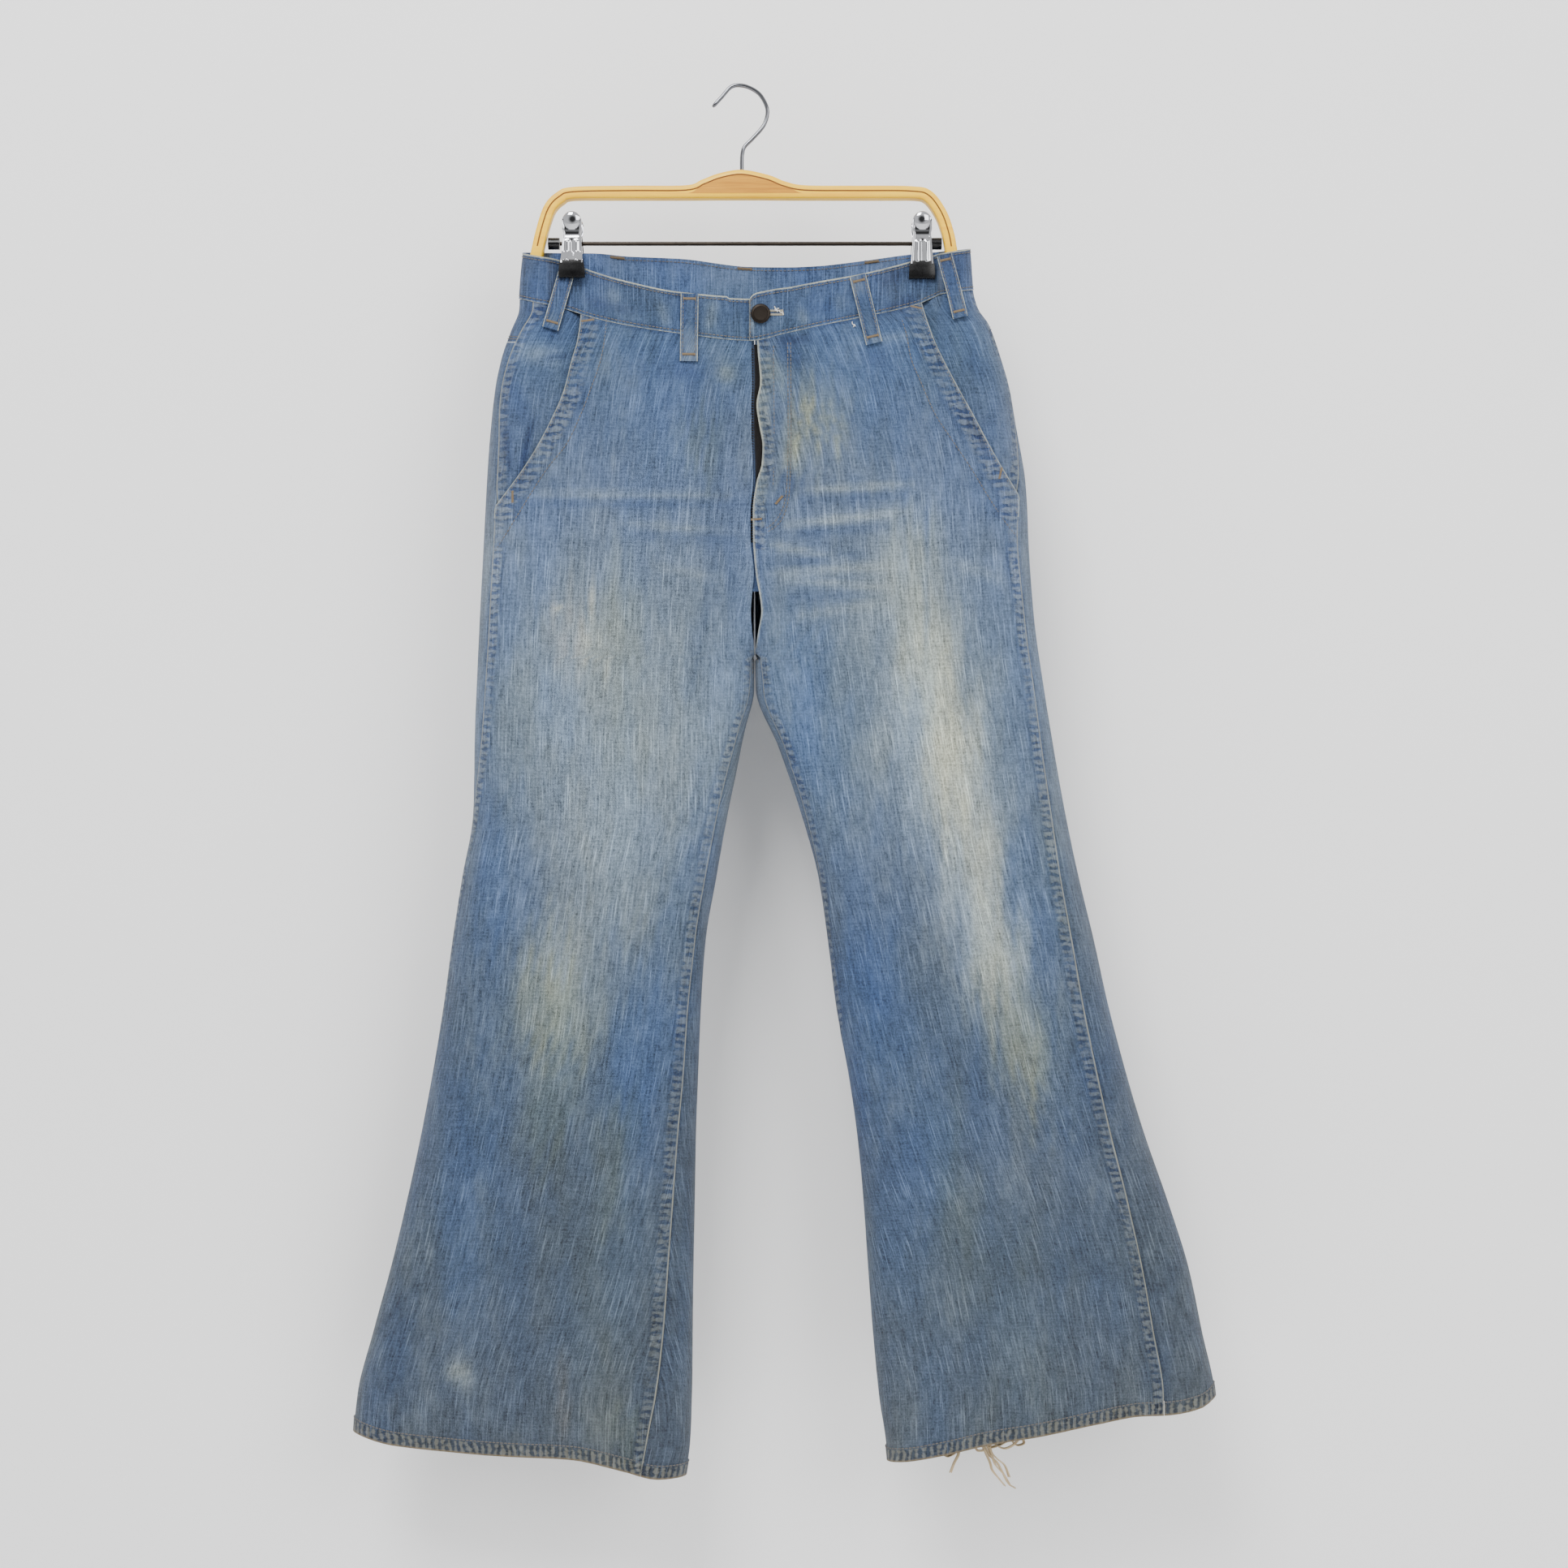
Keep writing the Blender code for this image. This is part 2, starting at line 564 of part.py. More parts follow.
def add_object(name, mesh, finish):
    """Link a mesh to the scene with its own material."""
    colour, roughness, metallic = COLOURS[finish]
    material = bpy.data.materials.new(f"{name}_{finish}")
    material.use_nodes = True
    shader = material.node_tree.nodes["Principled BSDF"]
    shader.inputs["Base Color"].default_value = colour
    shader.inputs["Roughness"].default_value = roughness
    shader.inputs["Metallic"].default_value = metallic
    mesh.materials.append(material)
    made = bpy.data.objects.new(name, mesh)
    bpy.context.collection.objects.link(made)
    return made


def closed_object(name, shaped, finish):
    """Finish a bmesh as a solid with its faces outward."""
    bmesh.ops.recalc_face_normals(shaped, faces=shaped.faces)
    if shaped.calc_volume(signed=True) < 0:
        bmesh.ops.reverse_faces(shaped, faces=shaped.faces)
    mesh = bpy.data.meshes.new(name)
    shaped.to_mesh(mesh)
    shaped.free()
    return add_object(name, mesh, finish)


def bent_shares(steps_out, steps_flat, steps_in, bend_share):
    """Return column shares, closer together over the folded ends."""
    out = np.linspace(0, bend_share, steps_out + 1)
    flat = np.linspace(bend_share, 1 - bend_share, steps_flat + 1)[1:]
    inn = np.linspace(1 - bend_share, 1, steps_in + 1)[1:]
    return np.concatenate((out, flat, inn))


def yoke_levels(half):
    """Return the drops of the yoke's rows at the side seam."""
    arc = float(half.outseam(200.0))
    x = float(half.surface(arc, 200.0)[0])
    top = float(waist_drop("seam", arc, x))
    end = float(yoke_drop(half, arc, x))
    return tuple(np.linspace(top, end, YOKE_STEPS + 1))


def make_front(half):
    """Make a front panel, cut away along the slanted pocket."""
    side = half.name

    def arc_at(share, drop):
        pocket = half.front_arc(POCKET.at(side, drop), drop)
        seam = half.outseam(drop)
        start = np.maximum(seam, np.where(drop < POCKET.values[-1, 0], pocket, seam)) + SEAM_GAP / 2
        return start + share * (half.front_inner(drop) - SEAM_GAP / 2 - start)

    def top_at(arc, drop):
        return waist_drop("seam", arc, half.surface(arc, drop)[..., 0]) + SEAM_GAP / 2

    def end_at(arc, drop):
        return hem_drop(half, arc, drop)

    levels = (205, 224) + LEVELS
    columns = bent_shares(3, 5, 3, 0.14)
    middle, normal = grid(half, arc_at, top_at, end_at, levels, columns)
    outer, inner = skin(middle, normal, PANEL_WALL)
    return grid_solid(f"front_{side}", outer, inner, "denim_front")


def make_back(half):
    """Make a back panel, from the yoke's seam to the hem."""

    def arc_at(share, drop):
        start = half.outseam(drop) - SEAM_GAP / 2
        return start + share * (half.back_inner(drop) + SEAM_GAP / 2 - start)

    def top_at(arc, drop):
        return yoke_drop(half, arc, half.surface(arc, drop)[..., 0]) + SEAM_GAP / 2

    def end_at(arc, drop):
        return hem_drop(half, arc, drop)

    columns = bent_shares(4, 5, 4, BACK_BEND_SHARE)
    middle, normal = grid(half, arc_at, top_at, end_at, (222,) + LEVELS, columns)
    outer, inner = skin(middle, normal, PANEL_WALL)
    return grid_solid(f"back_{half.name}", outer, inner, "denim_back")


def make_yoke(half):
    """Make the shaped piece between the band and the back panel."""

    def arc_at(share, drop):
        start = half.outseam(drop) - SEAM_GAP / 2
        return start + share * (half.back_inner(drop) + SEAM_GAP / 2 - start)

    def top_at(arc, drop):
        return waist_drop("seam", arc, half.surface(arc, drop)[..., 0]) + SEAM_GAP / 2

    def end_at(arc, drop):
        return yoke_drop(half, arc, half.surface(arc, drop)[..., 0]) - SEAM_GAP / 2

    columns = bent_shares(4, 5, 4, BACK_BEND_SHARE)
    middle, normal = grid(half, arc_at, top_at, end_at, yoke_levels(half), columns)
    outer, inner = skin(middle, normal, PANEL_WALL)
    return grid_solid(f"yoke_{half.name}", outer, inner, "denim_back")


def make_facing(half):
    """Make the denim that shows between the pocket's edge and the side seam."""
    side = half.name

    def arc_at(share, drop):
        seam = half.outseam(drop) + SEAM_GAP / 2
        edge = np.maximum(half.front_arc(POCKET.at(side, drop), drop), seam + FACING_LEAST)
        inside = seam + (edge - seam) * np.clip(share, 0, 1)
        return inside + POCKET_UNDERLAP * np.clip(share - 1, 0, 1)

    def sink(arc, drop):
        edge = half.front_arc(POCKET.at(side, drop), drop)
        deep = FACING_SINK + FACING_TOP_SINK * ease((FACING_TOP_DROP - drop) / FACING_TOP_FADE)
        return -deep * (1 - np.clip((edge - arc) / FACING_RISE, 0, 1))

    def top_at(arc, drop):
        return waist_drop("seam", arc, half.surface(arc, drop)[..., 0]) + SEAM_GAP / 2

    def end_at(arc, drop):
        return np.full(np.shape(arc), FACING_END[half.side])

    shares = (0.0, 0.33, 0.67, 1.0, 1.5, 2.0)
    end = FACING_END[half.side]
    levels = yoke_levels(half) + tuple(drop for drop in LEVELS if drop < end - 5) + (end,)
    middle, normal = grid(half, arc_at, top_at, end_at, levels, shares, sink)
    outer, inner = skin(middle, normal, PANEL_WALL)
    return grid_solid(f"pocket_facing_{side}", outer, inner, "denim_inside")


def make_underlap(half):
    """Make the strip behind the fly opening, on the wearer's right."""
    top, end = 228.0, 412.0
    left, right = -6.0, 31.0

    def arc_at(share, drop):
        return half.front_arc(left + (right - left) * share, drop)

    def sink(arc, drop):
        return np.full(np.shape(arc), -(PANEL_WALL + LAP_GAP + 0.15))

    def top_at(arc, drop):
        return np.full(np.shape(arc), top)

    def end_at(arc, drop):
        return np.full(np.shape(arc), end)

    levels = np.linspace(top, end, 8)
    middle, normal = grid(half, arc_at, top_at, end_at, levels, np.linspace(0, 1, 4), sink)
    outer, inner = skin(middle, normal, PANEL_WALL)
    return grid_solid("fly_underlap", outer, inner, "denim_inside")


def band_arc(half, face, place, drop):
    """Return a band column's arcs at drops, at a place across a face or a share round the side."""
    if face:
        return half.front_arc(place, drop) if face > 0 else half.back_arc(place, drop)
    start = half.front_arc(BAND_SIDE[half.side], drop)
    end = half.back_arc(BAND_SIDE[half.side], drop)
    return start + (end - start) * place


def band_stations(right, left):
    """Return the band's stations round the waist, as half, face, place and sink."""
    stations = []
    xs = [UNDERLAP_END_X, 22, 14, 7, 2, -5, UNDERLAP_START_X, -24, -42, -62, -82, -100, -114]
    xs += list(np.linspace(-122, BAND_SIDE[-1], 13))
    for x in xs:
        sink = UNDERLAP_SINK * ease((x - UNDERLAP_START_X) / (2.0 - UNDERLAP_START_X))
        stations.append((right, 1, x, float(sink)))
    stations += [(right, 0, share, 0.0) for share in np.linspace(0, 1, 8)[1:-1]]
    back_xs = list(np.linspace(BAND_SIDE[-1], -122, 13)) + [-112, -90, -66, -40, -14]
    stations += [(right, -1, x, 0.0) for x in back_xs]
    back_xs = [11, 36, 62, 90, 114, 126] + list(np.linspace(132, BAND_SIDE[1], 13))
    stations += [(left, -1, x, 0.0) for x in back_xs]
    stations += [(left, 0, share, 0.0) for share in np.linspace(1, 0, 8)[1:-1]]
    xs = list(np.linspace(BAND_SIDE[1], 132, 13))
    xs += [124, 108, 88, 68, 50, 34, 24, 17, 13, 10.5, 8.5, 7.2, TAB_EDGE_X]
    stations += [(left, 1, x, 0.0) for x in xs]
    return stations


def make_band(right, left):
    """Make the waistband: one strip round the waist whose ends lap at the front."""
    middles, normals = [], []
    for half, face, place, sink in band_stations(right, left):
        top, end = np.full(1, 150.0), np.full(1, 200.0)
        for _ in range(12):
            top_arc, end_arc = band_arc(half, face, place, top), band_arc(half, face, place, end)
            x = half.surface(top_arc, top)[..., 0]
            top = waist_drop("top", top_arc, x)
            end = waist_drop("seam", end_arc, half.surface(end_arc, end)[..., 0])
        end = end - SEAM_GAP / 2
        if half is left and face > 0:
            near = np.clip(TAB_CORNER - (x - TAB_EDGE_X), 0, TAB_CORNER)
            top = top - 3.5 * ease((45 - x) / 30)
            top = top + TAB_CORNER - np.sqrt(TAB_CORNER**2 - near**2)
        if sink > 0:
            top = top + 1.5
        held = np.maximum(CLIP_HOLD_DROP, top + 0.4 * (end - top))
        drops = np.concatenate((top, held, end))
        arc = band_arc(half, face, place, drops)
        middle = half.surface(arc, drops)
        normal = half.normal(arc, drops)
        middles.append(middle - normal * sink)
        normals.append(normal)
    outer, inner = skin(np.stack(middles, 1), np.stack(normals, 1), BAND_WALL)
    return grid_solid("waistband", outer, inner, "denim_band")


def loop_base(half, face, x, drop):
    """Return points on the middle of the cloth under a loop."""
    arc = half.front_arc(x, drop) if face > 0 else half.back_arc(x, drop)
    return half.surface(arc, drop)


def make_loop(name, row, right, left):
    """Make a belt loop that lies on the cloth from its upper end to its lower one."""
    face, x_top, drop_top, x_end, drop_end, width, gap = row
    half = right if (x_top + x_end) / 2 < CENTRE_X else left
    along = np.linspace(0, 1, 8)[:, None]
    across = np.linspace(-0.5, 0.5, 5)[None, :]
    lean = (x_end - x_top) / (drop_end - drop_top)
    x = x_top + (x_end - x_top) * along + width * across
    drop = drop_top + (drop_end - drop_top) * along - lean * width * across
    points = np.stack([loop_base(half, face, x, drop + shift) for shift in LOOP_SAMPLES])
    depth = np.max(-face * points[..., 1], axis=0)
    line = depth[:, :1] + (depth[:, -1:] - depth[:, :1]) * (across + 0.5)
    line = line + np.max(depth - line, axis=1, keepdims=True)
    bow = 1.2 * np.sin(math.pi * along) ** 2
    lift = line + BAND_WALL / 2 + gap + LOOP_WALL / 2 + bow
    middle = np.stack((x, -face * lift, -drop), axis=-1)
    slope = (lift[:, -1] - lift[:, 0]) / width
    normal = np.stack((-slope, np.full_like(slope, -face), np.zeros_like(slope)), axis=-1)
    normal = normal / np.linalg.norm(normal, axis=1, keepdims=True)
    normal = np.broadcast_to(normal[:, None, :], middle.shape)
    outer, inner = skin(middle, normal, LOOP_WALL)
    return grid_solid(name, outer, inner, "denim_loop")


def make_back_pocket(half, row):
    """Make a patch pocket that lies on the back panel."""
    _, centre, drop_top, width, height, point = row
    across = np.linspace(-0.5, 0.5, 9)[None, :]
    along = np.linspace(0, 1, 9)[:, None]
    end = height - point * np.abs(across) * 2
    drop = drop_top + end * along
    x = centre + width * (1 - 0.12 * along) * across
    arc = half.back_arc(x, drop)
    normal = half.normal(arc, drop)
    lift = PANEL_WALL / 2 + POCKET_GAP + POCKET_WALL / 2
    middle = half.surface(arc, drop) + normal * lift
    outer, inner = skin(middle, normal, POCKET_WALL)
    return grid_solid(f"back_pocket_{half.name}", outer, inner, "denim_back")


def smooth_path(points, per_step):
    """Return points along a smooth curve through a few given ones."""
    ends = [2 * points[0] - points[1]] + list(points) + [2 * points[-1] - points[-2]]
    path = []
    for a, b, c, d in zip(ends, ends[1:], ends[2:], ends[3:]):
        for t in np.linspace(0, 1, per_step, endpoint=False):
            blend = 2 * b + (c - a) * t + (2 * a - 5 * b + 4 * c - d) * t**2
            path.append((blend + (3 * b - a - 3 * c + d) * t**3) / 2)
    path.append(points[-1])
    return path


def make_hook():
    """Make the hook of bent wire."""
    curve = bpy.data.curves.new("hook", "CURVE")
    curve.dimensions = "3D"
    curve.bevel_depth = WIRE_RADIUS * MM
    curve.bevel_resolution = 2
    curve.use_fill_caps = True
    given = [np.array((x, 0.0, -drop)) for x, drop in HOOK_PATH]
    path = smooth_path(given, 3)
    spline = curve.splines.new("POLY")
    spline.points.add(len(path) - 1)
    for place, point in zip(spline.points, path):
        place.co = (*(point * MM), 1)
    shaped = bpy.data.objects.new("hook_wire", curve)
    bpy.context.collection.objects.link(shaped)
    mesh = bpy.data.meshes.new_from_object(shaped)
    bpy.data.objects.remove(shaped)
    solid = bmesh.new()
    solid.from_mesh(mesh)
    bpy.data.meshes.remove(mesh)
    bmesh.ops.remove_doubles(solid, verts=solid.verts, dist=1e-6)
    return closed_object("hook", solid, "chrome")


def frame_outline():
    """Return the wooden frame's outer and inner edges as paired points."""
    outer = [np.array(point) for point in smooth_path([np.array(p) for p in FRAME_EDGE], 2)]
    inner = []
    for index, point in enumerate(outer):
        before = outer[max(index - 1, 0)]
        after = outer[min(index + 1, len(outer) - 1)]
        along = (after - before) / np.linalg.norm(after - before)
        inward = np.array((-along[1], along[0]))
        place = point + inward * FRAME_LEG
        if abs(point[0]) < 150:
            place = np.array((point[0], FRAME_INSIDE_DROP))
        inner.append(place)
    return outer, inner


def make_frame():
    """Make the bent wooden frame, with an opening for the lens-shaped insert."""
    outer, inner = frame_outline()
    half = WOOD_DEPTH / 2
    layers = []
    for y in (-half, half):
        layers.append([[(x, y, -drop) for x, drop in edge] for edge in (outer, inner)])
    points = np.array(layers[0] + layers[1]) * MM
    outer_grid, inner_grid = points[0:2], points[2:4]
    frame = grid_solid("hanger_frame", outer_grid, inner_grid, "pale_wood")
    cutter = lens_object("lens_cutter", WOOD_DEPTH + 4, 0.0, "dark_wood")
    cut = frame.modifiers.new("lens", "BOOLEAN")
    cut.operation = "DIFFERENCE"
    cut.solver = "EXACT"
    cut.object = cutter
    bpy.context.view_layer.update()
    graph = bpy.context.evaluated_depsgraph_get()
    shaped = bmesh.new()
    shaped.from_mesh(bpy.data.meshes.new_from_object(frame.evaluated_get(graph)))
    frame.modifiers.clear()
    bmesh.ops.triangulate(shaped, faces=shaped.faces)
    shaped.to_mesh(frame.data)
    shaped.free()
    bpy.data.objects.remove(cutter)
    return frame


def lens_object(name, depth, gap, finish):
    """Make a lens-shaped block, smaller all round by a gap."""
    left, right, top, end = INSERT
    steps = 12
    reach = (right - left) / 2 - gap * 3
    tall = (end - top) / 2 - gap
    centre = ((left + right) / 2, (top + end) / 2)
    angles = np.linspace(0, 2 * math.pi, 2 * steps, endpoint=False)
    outline = []
    for angle in angles:
        across = math.cos(angle)
        height = tall * (1 - across**2) * (1 if math.sin(angle) >= 0 else -1)
        outline.append((centre[0] + reach * across, -centre[1] + height))
    shaped = bmesh.new()
    ring = [shaped.verts.new((x * MM, -depth / 2 * MM, z * MM)) for x, z in outline]
    face = shaped.faces.new(ring)
    made = bmesh.ops.extrude_face_region(shaped, geom=[face])
    moved = [item for item in made["geom"] if isinstance(item, bmesh.types.BMVert)]
    bmesh.ops.translate(shaped, verts=moved, vec=(0, depth * MM, 0))
    return closed_object(name, shaped, finish)


def cylinder(name, radius, start, end, finish, sides=20, bore=0.0):
    """Make a round bar or tube from one point to another."""
    start, end = Vector(start) * MM, Vector(end) * MM
    axis = end - start
    shaped = bmesh.new()
    rings = []
    for place in (0.0, axis.length):
        for size in ((radius, bore) if bore else (radius,)):
            ring = bmesh.ops.create_circle(shaped, segments=sides, radius=size * MM)["verts"]
            bmesh.ops.translate(shaped, verts=ring, vec=(0, 0, place))
            rings.append(ring)
    if bore:
        pairs = ((0, 2), (1, 3), (0, 1), (2, 3))
    else:
        pairs = ((0, 1),)
        shaped.faces.new(rings[0])
        shaped.faces.new(rings[1])
    for first, second in pairs:
        for i in range(sides):
            j = (i + 1) % sides
            corners = (rings[first][i], rings[first][j], rings[second][j], rings[second][i])
            shaped.faces.new(corners)
    turn = axis.to_track_quat("Z", "Y").to_matrix().to_4x4()
    bmesh.ops.transform(shaped, matrix=Matrix.Translation(start) @ turn, verts=shaped.verts)
    return closed_object(name, shaped, finish)


def make_rod():
    """Make the rod between the frame's legs, with a black cap at each end."""
    drop = ROD_DROP
    inside_left, inside_right = -171.9, 177.4
    cap = 10.0
    gap = SEAM_GAP
    height = -drop
    cylinder("rod_cap_right", ROD_END_RADIUS, (inside_left + gap, 0, height),
             (inside_left + gap + cap, 0, height), "black_rubber")
    cylinder("rod_cap_left", ROD_END_RADIUS, (inside_right - gap, 0, height),
             (inside_right - gap - cap, 0, height), "black_rubber")
    cylinder("rod", ROD_RADIUS, (inside_left + cap + 2 * gap, 0, height),
             (inside_right - cap - 2 * gap, 0, height), "dark_steel")


def leaf_solid(name, centre, profile, widths, wall, finish):
    """Make a plate from a profile of (y, drop) points with a width at each."""
    rows = []
    for (y, drop), width in zip(profile, widths):
        across = np.linspace(-width / 2, width / 2, 5)
        rows.append([(centre + a, y, -drop) for a in across])
    middle = np.array(rows)
    along = np.gradient(middle[:, 2, 1:], axis=0)
    along /= np.linalg.norm(along, axis=1, keepdims=True)
    side = -np.sign(profile[0][0])
    normal = np.stack((np.zeros(len(along)), along[:, 1] * side, -along[:, 0] * side), axis=-1)
    offset = normal[:, None, :] * wall / 2
    return grid_solid(name, (middle + offset) * MM, (middle - offset) * MM, finish)


def make_clip(side, centre, front_stack, back_stack):
    """Make a clip: two sprung leaves, an eye on the rod and two rubber jaws."""
    rubber = 2.4
    steps = np.linspace(0, math.pi / 2, 6)
    for face, stack in ((-1, front_stack), (1, back_stack)):
        word = "front" if face < 0 else "back"
        jaw = stack + SEAM_GAP + rubber / 2
        foot = jaw + rubber / 2 + SEAM_GAP + CLIP_PLATE / 2
        dome = [(CLIP_TOP_DROP + 9 * (1 - math.sin(a)), CLIP_WIDTH * math.cos(a)) for a in steps]
        dome = dome[:-1][::-1]
        drops = [CLIP_TOP_DROP + 0.3] + [d for d, _ in dome] + [130.0, 138.6, 147.0, CLIP_FOOT_DROP]
        drops.append(RUBBER_FOOT_DROP - 1.5)
        widths = [4.0] + [w for _, w in dome] + [CLIP_WIDTH, CLIP_WIDTH, 18.4, 20.0, 21.6]
        bulge = Table("drop y", (
            (110, 9.6), (121, 8.4), (130, 7.2), (138.6, 6.8), (147, 6.0), (155.6, foot), (171, foot)
        ))
        order = np.argsort(drops)
        profile = [(face * float(bulge.at("y", drops[i])), drops[i]) for i in order]
        widths = [widths[i] for i in order]
        leaf_solid(f"clip_{side}_{word}", centre, profile, widths, CLIP_PLATE, "chrome")
        pad = bmesh.new()
        bmesh.ops.create_cube(pad, size=1.0)
        size = (RUBBER_WIDTH * MM, rubber * MM, (RUBBER_FOOT_DROP - CLIP_FOOT_DROP) * MM)
        bmesh.ops.scale(pad, vec=size, verts=pad.verts)
        place = (centre * MM, face * jaw * MM, -(RUBBER_FOOT_DROP + CLIP_FOOT_DROP) / 2 * MM)
        bmesh.ops.translate(pad, vec=place, verts=pad.verts)
        bmesh.ops.bevel(pad, geom=pad.edges[:], offset=0.5 * MM, segments=2, affect="EDGES")
        closed_object(f"clip_{side}_jaw_{word}", pad, "black_rubber")
    reach = 6.8 - CLIP_PLATE / 2 - SEAM_GAP
    eye_half = 7.0
    cylinder(f"clip_{side}_eye", reach, (centre - eye_half, 0, -ROD_DROP),
             (centre + eye_half, 0, -ROD_DROP), "dark_steel", bore=ROD_RADIUS + SEAM_GAP)


def make_button(left):
    """Make the metal button on the band's tab."""
    x, drop = BUTTON_PLACE
    arc = left.front_arc(np.array(x), np.array(drop))
    normal = left.normal(arc, np.array(drop))
    base = left.surface(arc, np.array(drop)) + normal * (BAND_WALL / 2 + LAP_GAP)
    base = to_depth(base)
    profile = ((3.2, 0.0), (3.2, 1.0), (7.9, 1.2), (BUTTON_RADIUS, 1.8), (BUTTON_RADIUS, 2.5),
               (7.8, 3.1), (6.4, BUTTON_HEIGHT), (6.0, 3.0), (3.0, 2.9))
    sides = 24
    shaped = bmesh.new()
    rings = []
    for radius, height in profile:
        ring = []
        for i in range(sides):
            angle = 2 * math.pi * i / sides
            ring.append(shaped.verts.new((radius * math.cos(angle), radius * math.sin(angle), height)))
        rings.append(ring)
    shaped.faces.new(rings[0])
    shaped.faces.new(rings[-1])
    for low, high in zip(rings, rings[1:]):
        for i in range(sides):
            j = (i + 1) % sides
            shaped.faces.new((low[i], low[j], high[j], high[i]))
    bmesh.ops.scale(shaped, vec=(MM, MM, MM), verts=shaped.verts)
    turn = Vector(normal).to_track_quat("Z", "Y").to_matrix().to_4x4()
    place = Matrix.Translation(Vector(base * MM))
    bmesh.ops.transform(shaped, matrix=place @ turn, verts=shaped.verts)
    return closed_object("button", shaped, "antique_metal")


def main():
    """Clear the scene and make every piece."""
    for old in list(bpy.data.objects):
        bpy.data.objects.remove(old)
    right = Half(-1, RIGHT_SECTIONS)
    left = Half(1, LEFT_SECTIONS)
    for half, pocket in zip((right, left), BACK_POCKETS.values):
        make_front(half)
        make_back(half)
        make_yoke(half)
        make_facing(half)
        make_back_pocket(half, pocket)
    make_underlap(right)
    make_band(right, left)
    make_button(left)
    for name, row in zip(LOOP_NAMES, LOOPS.values):
        make_loop(name, row, right, left)
    make_hook()
    make_frame()
    lens_object("frame_insert", WOOD_DEPTH, SEAM_GAP, "dark_wood")
    make_rod()
    held = HELD_HALF_DEPTH + BAND_WALL / 2
    make_clip("right", CLIPS[-1][0], held + HELD_LOOP_GAP + LOOP_WALL + HELD_LOOP_BOW, held)
    make_clip("left", CLIPS[1][0], held, held)


main()
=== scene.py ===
"""Looks for a pair of wide-leg jeans that hangs from a wooden clip hanger.

Lengths in the tables are millimetres. X runs to the wearer's left, Y to the back and Z up. A drop is
a distance below the inside top of the hook. An arc is a distance round the cloth from a leg's outer
fold, positive over the front and negative over the back. Cloth is shaped as it is seen from the
camera's place and then moved to its own depth along the lines of sight.
"""

import logging
import math
from dataclasses import dataclass, field
from enum import Enum
from typing import Callable, Sequence

import bmesh
import bpy
import numpy as np
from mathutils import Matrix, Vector


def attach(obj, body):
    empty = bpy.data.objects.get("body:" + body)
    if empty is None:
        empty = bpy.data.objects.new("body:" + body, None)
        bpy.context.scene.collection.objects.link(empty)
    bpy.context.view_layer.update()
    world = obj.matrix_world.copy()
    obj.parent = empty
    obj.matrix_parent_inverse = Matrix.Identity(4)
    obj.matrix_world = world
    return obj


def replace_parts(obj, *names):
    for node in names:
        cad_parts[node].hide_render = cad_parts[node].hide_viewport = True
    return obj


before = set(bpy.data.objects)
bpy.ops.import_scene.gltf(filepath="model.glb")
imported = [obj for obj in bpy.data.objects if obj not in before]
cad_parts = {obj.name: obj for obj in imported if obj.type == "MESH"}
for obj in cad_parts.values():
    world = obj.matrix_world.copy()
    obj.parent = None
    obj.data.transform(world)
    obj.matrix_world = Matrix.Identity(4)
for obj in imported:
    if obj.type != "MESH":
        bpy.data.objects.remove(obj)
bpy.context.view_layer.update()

LOG = logging.getLogger("jeans")

Array = np.ndarray
ArcRule = Callable[[Array, Array], Array]

MM = 0.001

# Walls of the cloth and the gaps between pieces
PANEL_WALL = 1.6
BAND_WALL = 2.5
LOOP_WALL = 1.8
POCKET_WALL = 1.5
SEAM_GAP = 0.3
LAP_GAP = 0.35
POCKET_GAP = 0.7
LOOP_SAMPLES = (-2.5, 0.0, 2.5)

# The camera's distance and place, and how wide its picture is at the hook
EYE_DISTANCE = 1800.0
EYE_X = 37.4
EYE_DROP = 617.8
FRAME_WIDTH = 1391.0

# The hip, crotch and hems
CENTRE_X = 11.3
TURN_DROP = 440.0
CROTCH_DROP = 505.0
FLY_END_DROP = 410.0
HEM_TILT = 0.28
HEM_HEIGHT = 13.0
YOKE_SIDE = 38.0
YOKE_CENTRE = 68.0
HALF_WAIST = 190.0

# The band: its tab, the end that the tab laps over, and where its side folds start
TAB_EDGE_X = 6.5
TAB_CORNER = 8.0
TAB_RISE = 3.5
UNDERLAP_END_X = 31.0
UNDERLAP_START_X = -12.0
UNDERLAP_SINK = BAND_WALL + LAP_GAP
SUNK_TOP_DROP = 1.5
BAND_SIDE = {-1: -178.0, 1: 188.0}
BAND_BACK_COLUMNS = (122, 298)

# Each clip's X and how far its press spreads to the side, and how the clips press the cloth
CLIPS = {-1: (-150.0, 14.0), 1: (159.5, 9.0)}
CLIP_FLAT = 13.4
CLIP_CENTRE_SPREAD = 30.0
CLIP_HOLD_DROP = 173.0
CLIP_FADE = 34.0
HELD_HALF_DEPTH = BAND_WALL / 2 + 0.2

# The pocket facings and the fly's underlap, which lie deeper than the panels
POCKET_UNDERLAP = 13.0
POCKET_END = 385.0
FACING_SINK = PANEL_WALL + 1.3
FACING_RISE = 12.0
FACING_TOP_SINK = 2.5
FACING_TOP_DROP = 238.0
FACING_TOP_FADE = 30.0
FACING_END = {-1: 384.0, 1: 383.0}
FACING_LEAST = 3.0
UNDERLAP_DROPS = (228.0, 447.0)
# The drop where the painted shadow in the fly's gape ends
GAPE_END_DROP = 376.0

